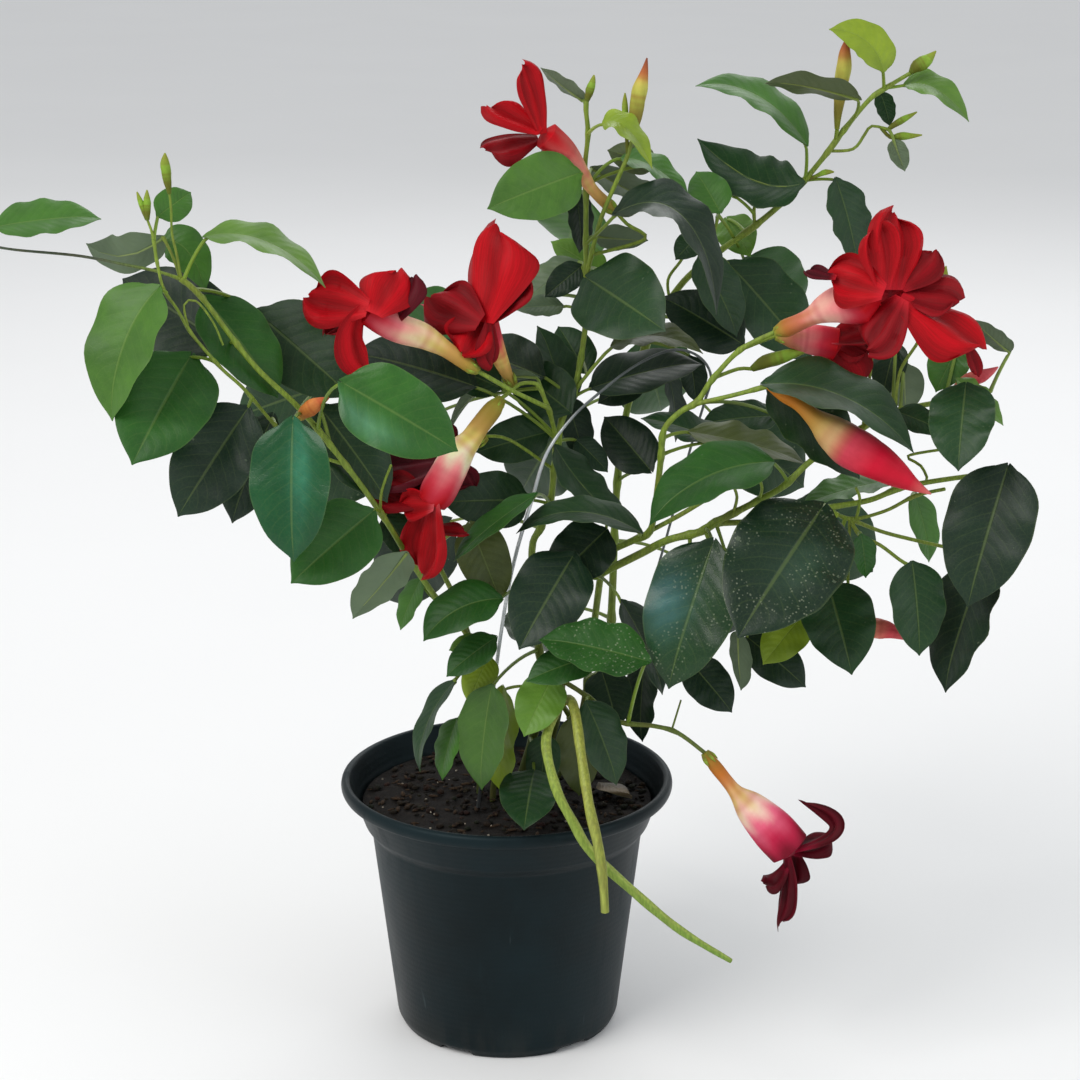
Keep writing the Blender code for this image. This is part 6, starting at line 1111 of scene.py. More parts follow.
def leaf_material():
    k = Nodes('leaf_look')
    tint = k.attr('tint')
    lf = k.attr('lf')
    sep = k.n('ShaderNodeSeparateXYZ')
    k.put(sep.inputs[0], lf.outputs['Vector'])
    t, s, kind = sep.outputs[0], sep.outputs[1], sep.outputs[2]
    a = k.m('ABSOLUTE', s)
    blade = k.mr(kind, 1.6, 1.5, 0.0, 1.0, False)
    upper = k.mr(kind, 0.4, 0.6, 0.0, 1.0, False)
    veins_on = blade
    # midrib and side veins
    rib = k.m('MULTIPLY', k.mr(a, 0.050, 0.012), blade)
    curve = k.m('MULTIPLY', k.m('POWER', a, 1.25), 0.24)
    wob = k.m('MULTIPLY', k.noise(55.0, 2.0), 0.05)
    phase = k.m('MULTIPLY', k.m('ADD', k.m('SUBTRACT', t, curve), wob), 10.0)
    off = k.m('ABSOLUTE', k.m('SUBTRACT', k.m('FRACT', phase), 0.5))
    fade = k.m('MULTIPLY', k.mr(a, 0.98, 0.55), k.mr(t, 0.97, 0.8))
    side = k.m('MULTIPLY', k.m('MULTIPLY', k.mr(off, 0.085, 0.01), fade), veins_on)
    puff = k.m('MULTIPLY', k.mr(off, 0.0, 0.5), k.m('MULTIPLY', fade, veins_on))
    # small net between the veins
    vor = k.n('ShaderNodeTexVoronoi', feature='DISTANCE_TO_EDGE')
    vor.inputs['Scale'].default_value = 420.0
    k.put(vor.inputs['Vector'], k.coord())
    net = k.mr(vor.outputs['Distance'], 0.10, 0.0)
    blotch = k.noise(34.0, 4.0, 0.6)
    fine = k.noise(240.0, 3.0, 0.6)
    base = tint.outputs['Color']
    shade = k.mix(k.mr(blotch, 0.3, 0.7), k.mix(1.0, base, (0.78, 0.80, 0.80), 'MULTIPLY'),
                  k.mix(1.0, base, (1.22, 1.18, 1.05), 'MULTIPLY'))
    shade = k.mix(k.m('MULTIPLY', k.mr(fine, 0.35, 0.65), 0.25), shade, k.mix(1.0, shade, (1.35, 1.25, 1.1), 'MULTIPLY'))
    pale = k.mix(0.42, base, lin(138, 160, 84))
    shade = k.mix(k.m('MULTIPLY', side, 0.10), shade, pale)
    shade = k.mix(k.m('MULTIPLY', rib, 0.42), shade, pale)
    shade = k.mix(k.m('MULTIPLY', net, k.m('MULTIPLY', blade, 0.06)), shade, pale)
    margin = k.m('MULTIPLY', k.mr(a, 0.955, 0.995), blade)
    shade = k.mix(k.m('MULTIPLY', margin, 0.22), shade, pale)
    # underside paler and greyer
    under = k.m('MULTIPLY', k.m('SUBTRACT', 1.0, upper), blade)
    shade = k.mix(k.m('MULTIPLY', under, 0.55), shade, k.mix(0.5, base, lin(126, 140, 112)))
    # pale dust specks on some leaves
    speck_on = k.mr(kind, 1.1, 1.2, 0.0, 1.0, False)
    vs = k.n('ShaderNodeTexVoronoi')
    vs.inputs['Scale'].default_value = 520.0
    k.put(vs.inputs['Vector'], k.coord())
    dots = k.m('MULTIPLY', k.mr(vs.outputs['Distance'], 0.30, 0.16), k.mr(k.noise(60.0, 3.0, 0.6), 0.42, 0.62))
    dots = k.m('MULTIPLY', k.m('MULTIPLY', dots, speck_on), k.m('MULTIPLY', blade, 0.30))
    shade = k.mix(dots, shade, lin(170, 178, 150))
    k.put(k.b.inputs['Base Color'], shade)
    gl = tint.outputs['Alpha']
    rough = k.m('SUBTRACT', 0.46, k.m('MULTIPLY', gl, 0.16))
    rough = k.m('ADD', rough, k.m('MULTIPLY', k.m('SUBTRACT', fine, 0.5), 0.16))
    rough = k.m('ADD', rough, k.m('MULTIPLY', under, 0.18))
    k.put(k.b.inputs['Roughness'], rough)
    k.b.inputs['IOR'].default_value = 1.45
    k.b.inputs['Specular IOR Level'].default_value = 0.34
    height = k.m('ADD', k.m('MULTIPLY', puff, 0.20), k.m('MULTIPLY', fine, 0.10))
    height = k.m('SUBTRACT', height, k.m('MULTIPLY', rib, 0.5))
    height = k.m('SUBTRACT', height, k.m('MULTIPLY', net, k.m('MULTIPLY', blade, 0.05)))
    k.bump(height, 0.55, 0.0007)
    return k.mat


def petal_material():
    k = Nodes('petal_look')
    tint = k.attr('tint')
    lf = k.attr('lf')
    sep = k.n('ShaderNodeSeparateXYZ')
    k.put(sep.inputs[0], lf.outputs['Vector'])
    t, s = sep.outputs[0], sep.outputs[1]
    # fine veins that run out from the throat
    comb = k.n('ShaderNodeCombineXYZ')
    k.put(comb.inputs[0], k.m('MULTIPLY', s, 26.0))
    k.put(comb.inputs[1], k.m('MULTIPLY', t, 2.4))
    vein = k.noise(1.0, 3.0, 0.6, comb.outputs[0])
    blotch = k.noise(90.0, 4.0, 0.6)
    base = tint.outputs['Color']
    shade = k.mix(k.mr(vein, 0.38, 0.66), k.mix(1.0, base, (0.80, 0.55, 0.62), 'MULTIPLY'), k.mix(1.0, base, (1.10, 1.35, 1.25), 'MULTIPLY'))
    shade = k.mix(k.m('MULTIPLY', k.mr(blotch, 0.3, 0.7), 0.35), shade, k.mix(1.0, base, (0.74, 0.5, 0.6), 'MULTIPLY'))
    k.put(k.b.inputs['Base Color'], shade)
    k.put(k.b.inputs['Roughness'], k.m('ADD', 0.48, k.m('MULTIPLY', vein, 0.18)))
    k.b.inputs['Specular IOR Level'].default_value = 0.16
    k.b.inputs['Sheen Weight'].default_value = 0.03
    k.b.inputs['Sheen Roughness'].default_value = 0.4
    k.b.inputs['Sheen Tint'].default_value = (1.0, 0.25, 0.25, 1.0)
    k.bump(k.m('ADD', k.m('MULTIPLY', vein, 0.8), k.m('MULTIPLY', k.noise(500.0, 2.0), 0.25)), 0.5, 0.0004)
    return k.mat


def stem_material():
    k = Nodes('stem_look')
    tint = k.attr('tint')
    base = tint.outputs['Color']
    mp = k.n('ShaderNodeMapping')
    mp.inputs['Scale'].default_value = (1.0, 1.0, 0.16)
    k.put(mp.inputs['Vector'], k.coord())
    streak = k.noise(900.0, 3.0, 0.6, mp.outputs[0])
    blotch = k.noise(120.0, 4.0, 0.6)
    shade = k.mix(k.mr(streak, 0.35, 0.7), k.mix(1.0, base, (0.74, 0.74, 0.66), 'MULTIPLY'), k.mix(1.0, base, (1.18, 1.14, 1.1), 'MULTIPLY'))
    shade = k.mix(k.m('MULTIPLY', k.mr(blotch, 0.52, 0.7), 0.35), shade, k.mix(0.6, base, lin(112, 88, 50)))
    k.put(k.b.inputs['Base Color'], shade)
    k.put(k.b.inputs['Roughness'], k.m('ADD', 0.42, k.m('MULTIPLY', blotch, 0.2)))
    k.b.inputs['Specular IOR Level'].default_value = 0.4
    k.bump(k.m('ADD', streak, k.m('MULTIPLY', blotch, 0.6)), 0.45, 0.0004)
    return k.mat


def pot_material():
    k = Nodes('pot_look')
    geo = k.n('ShaderNodeTexCoord').outputs['Object']
    sep = k.n('ShaderNodeSeparateXYZ')
    k.put(sep.inputs[0], geo)
    z = sep.outputs[2]
    mp = k.n('ShaderNodeMapping')
    mp.inputs['Scale'].default_value = (1.0, 1.0, 0.18)
    k.put(mp.inputs['Vector'], geo)
    blotch = k.noise(14.0, 5.0, 0.62, geo)
    dust = k.noise(70.0, 5.0, 0.65, mp.outputs[0])
    fine = k.noise(900.0, 2.0, 0.5, geo)
    base = k.mix(k.mr(blotch, 0.3, 0.72), lin(5, 11, 13), lin(11, 25, 29))
    base = k.mix(k.m('MULTIPLY', k.mr(dust, 0.56, 0.78), 0.16), base, lin(40, 58, 62))
    # thin scuffs that run down the wall
    mp2 = k.n('ShaderNodeMapping')
    mp2.inputs['Scale'].default_value = (1.0, 1.0, 0.05)
    k.put(mp2.inputs['Vector'], geo)
    scuff = k.m('MULTIPLY', k.mr(k.noise(240.0, 2.0, 0.5, mp2.outputs[0]), 0.70, 0.78), k.mr(k.noise(20.0, 2.0, 0.5, geo), 0.5, 0.65))
    base = k.mix(k.m('MULTIPLY', scuff, 0.30), base, lin(84, 96, 100))
    # soil marks near the foot
    low = k.m('MULTIPLY', k.mr(z, 0.030, 0.0), k.mr(dust, 0.40, 0.62))
    base = k.mix(k.m('MULTIPLY', low, 0.30), base, lin(50, 47, 42))
    k.put(k.b.inputs['Base Color'], base)
    rough = k.m('ADD', 0.36, k.m('MULTIPLY', k.mr(blotch, 0.25, 0.75), 0.16))
    rough = k.m('ADD', rough, k.m('MULTIPLY', k.mr(dust, 0.5, 0.8), 0.18))
    k.put(k.b.inputs['Roughness'], rough)
    k.b.inputs['Specular IOR Level'].default_value = 0.2
    k.b.inputs['Specular Tint'].default_value = (0.72, 0.94, 1.0, 1.0)
    rings = k.m('MULTIPLY', k.m('SINE', k.m('MULTIPLY', z, 1900.0)), 0.10)
    k.bump(k.m('ADD', k.m('ADD', k.m('MULTIPLY', fine, 0.5), rings), k.m('MULTIPLY', scuff, 0.4)), 0.4, 0.0003)
    return k.mat


def soil_material():
    k = Nodes('soil_look')
    tint = k.attr('tint')
    base = tint.outputs['Color']
    grain = k.noise(900.0, 5.0, 0.7)
    clump = k.noise(160.0, 4.0, 0.6)
    shade = k.mix(k.mr(grain, 0.35, 0.68), k.mix(1.0, base, (0.5, 0.48, 0.45), 'MULTIPLY'), k.mix(1.0, base, (1.6, 1.5, 1.4), 'MULTIPLY'))
    shade = k.mix(k.m('MULTIPLY', k.mr(clump, 0.55, 0.72), 0.4), shade, k.mix(0.6, base, lin(70, 56, 42)))
    k.put(k.b.inputs['Base Color'], shade)
    k.put(k.b.inputs['Roughness'], k.m('ADD', 0.72, k.m('MULTIPLY', grain, 0.25)))
    k.b.inputs['Specular IOR Level'].default_value = 0.25
    k.bump(k.m('ADD', grain, k.m('MULTIPLY', clump, 0.8)), 0.9, 0.0012)
    return k.mat


def wire_material():
    k = Nodes('wire_look')
    n1 = k.noise(160.0, 4.0, 0.6)
    sep = k.n('ShaderNodeSeparateXYZ')
    k.put(sep.inputs[0], k.coord())
    # painted shade: the white wire is coloured darker low down, below about 190 mm
    low = k.mr(sep.outputs[2], 0.19, 0.13)
    base = k.mix(k.mr(n1, 0.35, 0.7), lin(206, 210, 212), lin(176, 182, 186))
    base = k.mix(k.m('MULTIPLY', low, 0.85), base, lin(52, 56, 56))
    # painted shade: the wire is also coloured darker towards the right (+x)
    far = k.mr(sep.outputs[0], 0.018, 0.040)
    base = k.mix(k.m('MULTIPLY', far, 0.86), base, lin(62, 70, 68))
    k.put(k.b.inputs['Base Color'], base)
    k.put(k.b.inputs['Roughness'], k.m('ADD', 0.28, k.m('MULTIPLY', n1, 0.25)))
    k.b.inputs['Metallic'].default_value = 0.55
    k.bump(k.noise(1200.0, 3.0), 0.3, 0.0002)
    return k.mat


MAT = dict(leaf=leaf_material(), petal=petal_material(), stem=stem_material(), pot=pot_material(),
           soil=soil_material(), wire=wire_material())

# ------------------------------------------------------------------ the pot
NOTCHES = (-118.0, -52.0, 8.0, 68.0, 128.0, 188.0)


def lathe(profile, n, colour, notch=False):
    verts, faces, cols, lfs, rows = [], [], [], [], []
    for r, z in profile:
        if r < 1e-6:
            rows.append([len(verts)])
            verts.append((0.0, 0.0, z))
        else:
            rows.append(list(range(len(verts), len(verts) + n)))
            for i in range(n):
                a = 2 * math.pi * i / n
                zz = z
                if notch and z < 2.5 and r > FOOT_R - 9.0:
                    for deg in NOTCHES:
                        d = (math.degrees(a) - deg + 540.0) % 360.0 - 180.0
                        if abs(d) < 9.6:
                            k = min(1.0, (9.6 - abs(d)) / 0.9)
                            zz = max(zz, 2.5 * k)
                verts.append((r * math.cos(a), r * math.sin(a), zz))
    for a, b in zip(rows, rows[1:]):
        for i in range(n):
            j = (i + 1) % n
            if len(a) == 1:
                faces.append((a[0], b[j], b[i]))
            elif len(b) == 1:
                faces.append((a[i], a[j], b[0]))
            else:
                faces.append((a[i], a[j], b[j], b[i]))
    for v in verts:
        cols.append(colour + (0.0,))
        lfs.append((0.5, 0.5, 2.0))
    return verts, faces, cols, lfs


def rounded(profile, r=1.2, k=4):
    """Rounds the corners of an open profile."""
    out = [profile[0]]
    for a, b, c in zip(profile, profile[1:], profile[2:]):
        u = (a[0] - b[0], a[1] - b[1])
        v = (c[0] - b[0], c[1] - b[1])
        lu, lv = math.hypot(*u), math.hypot(*v)
        d = min(r, lu * 0.45, lv * 0.45)
        p = (b[0] + u[0] / lu * d, b[1] + u[1] / lu * d)
        q = (b[0] + v[0] / lv * d, b[1] + v[1] / lv * d)
        for i in range(k + 1):
            t = i / k
            out.append(((1 - t) ** 2 * p[0] + 2 * t * (1 - t) * b[0] + t * t * q[0],
                        (1 - t) ** 2 * p[1] + 2 * t * (1 - t) * b[1] + t * t * q[1]))
    out.append(profile[-1])
    return out


t_ = WALL_T
POT_PROFILE = rounded([(0, 2.4), (FOOT_R - 9.5, 2.4), (FOOT_R - 8.0, 0.0), (FOOT_R, 0.0), (WALL_LOW_R, FOOT_Z),
                       (WALL_TOP_R, COLLAR_Z - 3.2), (COLLAR_LOW_R, COLLAR_Z + 0.8), (COLLAR_TOP_R, POT_H - LIP_H - 1.0),
                       (RIM_R - 1.2, POT_H - LIP_H), (RIM_R, POT_H - LIP_H * 0.6), (RIM_R - 0.6, POT_H - 1.2),
                       (RIM_R - 2.6, POT_H), (RIM_R - 4.6, POT_H - 1.0), (COLLAR_TOP_R - 1.4, POT_H - LIP_H - 4.0),
                       (COLLAR_LOW_R - t_, COLLAR_Z - 1.0), (WALL_TOP_R - t_, COLLAR_Z - 4.0),
                       (WALL_LOW_R - t_, FOOT_Z), (0, 3.4)], 1.3, 4)
bag = Bag()
bag.add(*lathe(POT_PROFILE, 160, lin(22, 30, 35), True))
make_piece('v_pot', bag, [MAT['pot']], ['pot'], 60.0)

# ------------------------------------------------------------------ the soil
random.seed(7)
bag = Bag()
R_SOIL = COLLAR_TOP_R - 4.6
rows, n = 44, 120
verts, cols = [(0.0, 0.0, SOIL_Z - 0.6)], [lin(30, 22, 16) + (0.0,)]
for i in range(1, rows + 1):
    r = R_SOIL * i / rows
    for j in range(n):
        a = 2 * math.pi * j / n
        x, y = r * math.cos(a), r * math.sin(a)
        z = 1.7 * noise.noise(Vector((x * 0.05, y * 0.05, 3.0))) + 1.1 * noise.noise(Vector((x * 0.16, y * 0.16, 9.0))) \
            + 0.55 * noise.noise(Vector((x * 0.45, y * 0.45, 1.0)))
        z = SOIL_Z - 1.2 + z * (1.0 if i < rows else 0.3)
        verts.append((x, y, min(z, SOIL_Z + 0.6)))
        k = 0.5 + 0.5 * noise.noise(Vector((x * 0.25, y * 0.25, 5.0)))
        cols.append(mixc(lin(10, 8, 7), lin(26, 20, 16), k) + (0.0,))
faces = [(0, 1 + j, 1 + (j + 1) % n) for j in range(n)]
for i in range(rows - 1):
    for j in range(n):
        k = (j + 1) % n
        faces.append((1 + i * n + j, 1 + (i + 1) * n + j, 1 + (i + 1) * n + k, 1 + i * n + k))
# side and underside, out of sight inside the pot
base = len(verts)
for j in range(n):
    a = 2 * math.pi * j / n
    verts.append(((COLLAR_LOW_R - 3.2) * math.cos(a), (COLLAR_LOW_R - 3.2) * math.sin(a), COLLAR_Z - 1.0))
    cols.append(lin(20, 15, 12) + (0.0,))
for j in range(n):
    a = 2 * math.pi * j / n
    verts.append(((WALL_LOW_R - 4.0) * math.cos(a), (WALL_LOW_R - 4.0) * math.sin(a), 4.6))
    cols.append(lin(20, 15, 12) + (0.0,))
top = 1 + (rows - 1) * n
for j in range(n):
    k = (j + 1) % n
    faces.append((top + j, base + j, base + k, top + k))
    faces.append((base + j, base + n + j, base + n + k, base + k))
faces.append(tuple(base + n + j for j in reversed(range(n))))
bag.add(verts, faces, cols, [(0.5, 0.5, 2.0)] * len(verts))


def add_chip(bag, c, size, stretch, turn, colour, seed):
    """An irregular crumb."""
    bm = bmesh.new()
    bmesh.ops.create_icosphere(bm, subdivisions=1, radius=1.0)
    ca, sa = math.cos(turn), math.sin(turn)
    vs = []
    for v in bm.verts:
        k = 1.0 + 0.45 * noise.noise(v.co * 1.7 + Vector((seed * 3.1, seed * 1.7, seed)))
        x, y, z = v.co.x * k * stretch, v.co.y * k, v.co.z * k * 0.7
        vs.append((c[0] + size * (x * ca - y * sa), c[1] + size * (x * sa + y * ca), c[2] + size * z))
    fs = [tuple(v.index for v in f.verts) for f in bm.faces]
    bm.free()
    bag.add(vs, fs, [colour + (0.0,)] * len(vs), [(0.5, 0.5, 2.0)] * len(vs))


for i in range(620):
    r, a = (R_SOIL - 2.0) * math.sqrt(random.random()), 6.283 * random.random()
    x, y = r * math.cos(a), r * math.sin(a)
    q = random.random()
    if q < 0.06:
        colour, size, st = lin(176, 170, 158), 0.4 + 0.4 * random.random(), 1.1
    elif q < 0.32:
        colour, size, st = lin(58, 44, 31), 0.5 + 0.8 * random.random(), 3.0
    else:
        colour, size, st = lin(20 + 20 * random.random(), 17 + 12 * random.random(), 14), 0.8 + 1.3 * random.random(), 1.3
    add_chip(bag, (x, y, SOIL_Z - 0.6 + 0.7 * random.random()), size, st, 6.283 * random.random(), colour, i)
make_piece('v_soil', bag, [MAT['soil']], ['soil'], 180.0)

# ------------------------------------------------------------------ the hoop
bag = Bag()
p, r = smooth_path([pt(q) for q in HOOP], [HOOP_R] * len(HOOP), 3)
r = [a * (0.86 - 0.24 * min(max((q[0] - 10.0) / 25.0, 0.0), 1.0)) for a, q in zip(r, p)]
add_tube(bag, p, r, 12, lambda i, u, a: (0.6, 0.6, 0.6, 0.0))
make_piece('v_wire_hoop', bag, [MAT['wire']], ['wire_hoop'])

# ------------------------------------------------------------ stems, leaves
blades = make_blades()
solve_depths(blades)

BUD_RAMP = {
    0: [(0.0, lin(96, 122, 40)), (0.45, lin(122, 150, 48)), (1.0, lin(146, 168, 62))],
    1: [(0.0, lin(118, 138, 44)), (0.35, lin(160, 172, 70)), (0.66, lin(196, 176, 84)), (0.8, lin(188, 112, 62)), (1.0, lin(132, 74, 50))],
    2: [(0.0, lin(196, 128, 40)), (0.16, lin(214, 158, 52)), (0.30, lin(214, 190, 84)), (0.42, lin(226, 190, 130)),
        (0.52, lin(216, 70, 88)), (0.68, lin(198, 14, 44)), (0.88, lin(204, 26, 52)), (1.0, lin(222, 130, 120))],
    3: [(0.0, lin(150, 150, 50)), (0.4, lin(206, 130, 60)), (0.75, lin(214, 116, 70)), (1.0, lin(180, 90, 60))],
    4: [(0.0, lin(150, 160, 60)), (0.35, lin(216, 140, 110)), (0.65, lin(206, 66, 76)), (1.0, lin(214, 110, 112))],
}


def add_bud(bag, q):
    pts, kind, host = q
    w = [at(*p[:3]) for p in pts]
    p, r = smooth_path(w, [a[3] for a in pts], 2.2)
    stops = BUD_RAMP[kind]
    twist = 5.0

    def wob(u, ang):
        return 1.0 + 0.07 * math.sin(5 * ang + twist * u * 3.0) * math.sin(math.pi * min(1.0, u * 1.1))

    def colour(i, u, ang):
        c = ramp(stops, u)
        k = 0.5 + 0.5 * math.sin(5 * ang + twist * u * 3.0)
        return mixc(c, tuple(x * 0.62 for x in c), 0.45 * k * math.sin(math.pi * min(1.0, u))) + (0.0,)
    add_tube(bag, p, r, 20, colour, 3.0, wob)


for sname, branches in STEMS.items():
    mine = [b for b in blades if b.foot[0] == sname]
    feet = [stalk_path(b)[0] for b in mine]
    bag = Bag()
    for bi, (pts, r0, r1) in enumerate(branches):
        w = [pt(q) for q in pts]
        k = len(w) - 1
        if bi == 0:
            w[0] = (w[0][0], w[0][1], SOIL_Z - 1.4)
        slim = 0.74 if sname == 'stem_left' else 0.9
        if sname == 'stem_left' and bi == 1:
            slim = 0.62
        p, r = smooth_path(w, [slim * (r0 + (r1 - r0) * i / k) for i in range(k + 1)], 3)
        starts = [pt(br[0][0]) for j, br in enumerate(branches) if j != bi]
        for i, c in enumerate(p):
            near = min([vlen(vsub(c, f)) for f in feet + starts] or [99.0])
            r[i] *= 1.0 + 0.34 * math.exp(-(near / 2.6) ** 2)
            r[i] *= 1.0 + 0.05 * noise.noise(Vector(c) * 0.09)

        def colour(i, u, a, p=p, runner=(sname == 'stem_left' and bi == 1)):
            z = p[i][2]
            k = min(max((z - 125.0) / 130.0, 0.0), 1.0)
            c = mixc(STEM_OLD, STEM_YOUNG, k)
            if runner:
                c = mixc(c, lin(66, 78, 60), min(1.0, 2.2 * u))
            return mixc(c, lin(112, 84, 44), 0.35 * max(0.0, noise.noise(Vector(p[i]) * 0.05))) + (0.0,)
        add_tube(bag, p, r, 10, colour)
    make_piece('v_' + sname, bag, [MAT['stem']], [sname])
    bag = Bag()
    for b in mine:
        if not b.own:
            add_leaf(bag, b)
    if bag.v:
        make_piece('v_%s_leaves' % sname, bag, [MAT['leaf']], [sname])
    bag = Bag()
    for bname, q in BUDS.items():
        if q[2] == sname:
            add_bud(bag, q)
    if bag.v:
        make_piece('v_%s_buds' % sname, bag, [MAT['petal']], [sname])

AREAS = {'L0': 'left', 'L1': 'left', 'L3': 'low', 'L4': 'low', 'L5': 'low', 'T': 'top', 'U': 'upper', 'R': 'right'}
count = {}
for b in blades:
    if b.own:
        area = AREAS.get(b.name[:2]) or AREAS[b.name[0]]
        count[area] = count.get(area, 0) + 1
        node = 'leaf_%s_%02d' % (area, count[area])
        bag = Bag()
        add_leaf(bag, b)
        make_piece('v_' + node, bag, [MAT['leaf']], [node])

for bname, q in BUDS.items():
    if q[2] is None:
        bag = Bag()
        add_bud(bag, q)
        make_piece('v_' + bname, bag, [MAT['petal']], [bname])

# ------------------------------------------------------------------- flowers
GREEN, CREAM, WHITE = lin(150, 160, 56), lin(226, 206, 112), lin(238, 218, 186)
PINK, ROSE, RED = lin(232, 130, 132), lin(214, 58, 76), lin(196, 10, 26)
TUBE_RAMP = {
    'flower_left': [(0.0, GREEN), (0.12, lin(190, 176, 74)), (0.34, CREAM), (0.58, lin(236, 196, 160)), (0.78, PINK), (0.92, ROSE), (1.0, RED)],
    'flower_middle': [(0.0, GREEN), (0.35, CREAM), (0.7, ROSE), (1.0, RED)],
    'flower_low_left': [(0.0, GREEN), (0.18, lin(168, 166, 66)), (0.42, CREAM), (0.58, WHITE), (0.72, PINK), (0.88, ROSE), (1.0, RED)],
    'flower_low_left_back': [(0.0, GREEN), (0.4, lin(170, 90, 60)), (1.0, lin(120, 10, 26))],
    'flower_top': [(0.0, GREEN), (0.3, CREAM), (0.6, lin(226, 130, 120)), (1.0, RED)],
    'flower_right': [(0.0, GREEN), (0.14, lin(196, 140, 66)), (0.36, lin(226, 150, 120)), (0.5, lin(240, 176, 160)), (0.72, PINK), (0.86, ROSE), (1.0, RED)],
    'flower_behind': [(0.0, GREEN), (0.2, lin(214, 160, 110)), (0.45, lin(232, 130, 130)), (0.75, lin(206, 50, 70)), (1.0, RED)],
    'flower_low_right': [(0.0, lin(150, 140, 50)), (0.2, lin(214, 150, 56)), (0.42, lin(232, 196, 128)), (0.56, lin(240, 190, 176)),
                         (0.70, lin(226, 96, 124)), (0.86, lin(196, 34, 74)), (1.0, lin(120, 8, 36))],
}
BASE_TINT = {'flower_low_left': lin(224, 92, 100), 'flower_right': lin(200, 24, 40), 'flower_low_right': lin(176, 24, 62),
             'flower_left': lin(204, 30, 40), 'flower_behind': lin(214, 84, 96)}
# flower_right's throat: a disc that closes the middle of the flower; its dark centre is painted shade
THROAT = {'flower_right': (892, 294, -66.5, 9.5, (0.35, -0.9, 0.25))}
for fname, f in FLOWERS.items():
    bag = Bag()
    w = [at(*q[:3]) for q in f['tube']]
    p, r = smooth_path(w, [q[3] for q in f['tube']], 2.4)
    stops = TUBE_RAMP[fname]

    def wob(u, ang):
        return 1.0 + 0.055 * math.cos(5 * ang) * max(0.0, u - 0.25) * 1.3

    # the tube's pleats: the colour ramp shifts a little along them (the tube's own pink and white streaks), and the
    # grooves between them are painted darker (painted shade in the grooves)
    def colour(i, u, ang, stops=stops, fname=fname):
        k = 0.5 + 0.5 * math.cos(5 * ang + 0.8 * math.sin(9 * u))
        c = ramp(stops, min(1.0, max(0.0, u + 0.10 * (k - 0.5) * (1 if u > 0.3 else 0))))
        return mixc(c, tuple(x * 0.7 for x in c), 0.25 * (1 - k)) + (0.0,)
    add_tube(bag, p, r, 30, colour, 3.0, wob)
    # five small sepals round the foot of the tube
    ax = vnorm(vsub(w[1], w[0]))
    sx = vnorm(vcross(ax, (0.2, 0.7, 0.4)))
    sy = vcross(ax, sx)
    for j in range(5):
        a = 6.283 * j / 5 + 0.4
        d = vadd(vmul(sx, math.cos(a)), vmul(sy, math.sin(a)))
        q0 = vadd(w[0], vmul(d, 1.5))
        q1 = vadd(vadd(w[0], vmul(ax, 3.2)), vmul(d, 2.9))
        q2 = vadd(vadd(w[0], vmul(ax, 6.0)), vmul(d, 3.3))
        pp, rr = smooth_path([q0, q1, q2], [0.8, 0.75, 0.2], 1.2)
        add_tube(bag, pp, rr, 6, lambda i, u, a: lin(140, 160, 60) + (0.0,), 3.0)
    if fname in THROAT:
        px, py, yy, rr_, nn = THROAT[fname]
        c0, nn = at(px, py, yy), vnorm(nn)
        tx = vnorm(vcross(nn, (0.1, 0.2, 0.97)))
        ty = vcross(nn, tx)
        pts, fs, cc = [], [], []
        for lay in (0.45, -0.45):
            for ri in range(7):
                for j in range(36):
                    a = 6.2832 * j / 36
                    rad = rr_ * ri / 6.0 * (1.0 + 0.16 * math.sin(5 * a + 0.6))
                    dz = lay + 0.10 * rad * math.cos(5 * a) - 1.8 * (1.0 - (ri / 6.0) ** 2)
                    pts.append(vadd(c0, vadd(vadd(vmul(tx, rad * math.cos(a)), vmul(ty, rad * math.sin(a))), vmul(nn, dz))))
                    # painted shade: the disc is dark red in the middle, grading to petal red at its rim
                    cc.append(mixc(lin(120, 0, 14), PETAL[0], ri / 6.0) + (0.0,))
        for lay in range(2):
            o = lay * 252
            for ri in range(1, 6):
                for j in range(36):
                    k2 = (j + 1) % 36
                    q4 = (o + ri * 36 + j, o + ri * 36 + k2, o + (ri + 1) * 36 + k2, o + (ri + 1) * 36 + j)
                    fs.append(q4 if lay else q4[::-1])
            for j in range(36):
                k2 = (j + 1) % 36
                q3 = (o, o + 36 + k2, o + 36 + j)
                fs.append(q3[::-1] if not lay else q3)
        for j in range(36):
            k2 = (j + 1) % 36
            fs.append((216 + j, 216 + k2, 468 + k2, 468 + j))
        used = sorted(set(i for q5 in fs for i in q5))
        remap = {i: n_ for n_, i in enumerate(used)}
        bag.add([pts[i] for i in used], [tuple(remap[i] for i in q5) for q5 in fs], [cc[i] for i in used], [(0.6, 0.2, 3.0)] * len(used))
    for i, q in enumerate(f['petals']):
        bl = Blade('p', q[0:2], q[2:4], q[4], q[5], q[7], petal=True)
        bl.tone = q[6]
        add_petal(bag, bl, fname + str(i), BASE_TINT.get(fname, PETAL[q[6]]))
    make_piece('v_' + fname, bag, [MAT['petal']], [fname])

# ---------------------------------------------------------------- seed pods
bag = Bag()
for i, pod in enumerate(PODS):
    p, r = smooth_path([at(*q[:3]) for q in pod], [q[3] for q in pod], 3)
    r = [x * (1.0 + 0.05 * math.sin(0.9 * vlen(vsub(p[j], p[0])) * 0.35)) for j, x in enumerate(r)]

    def colour(j, u, a, i=i):
        c = mixc(lin(140, 158, 62), lin(112, 146, 52), u) if i else mixc(lin(150, 156, 60), lin(122, 132, 46), u)
        return mixc(c, lin(168, 180, 88), 0.5 * max(0.0, math.cos(a * 2))) + (0.0,)
    add_tube(bag, p, r, 16, colour)
make_piece('v_seed_pods', bag, [MAT['stem']], ['seed_pods'])

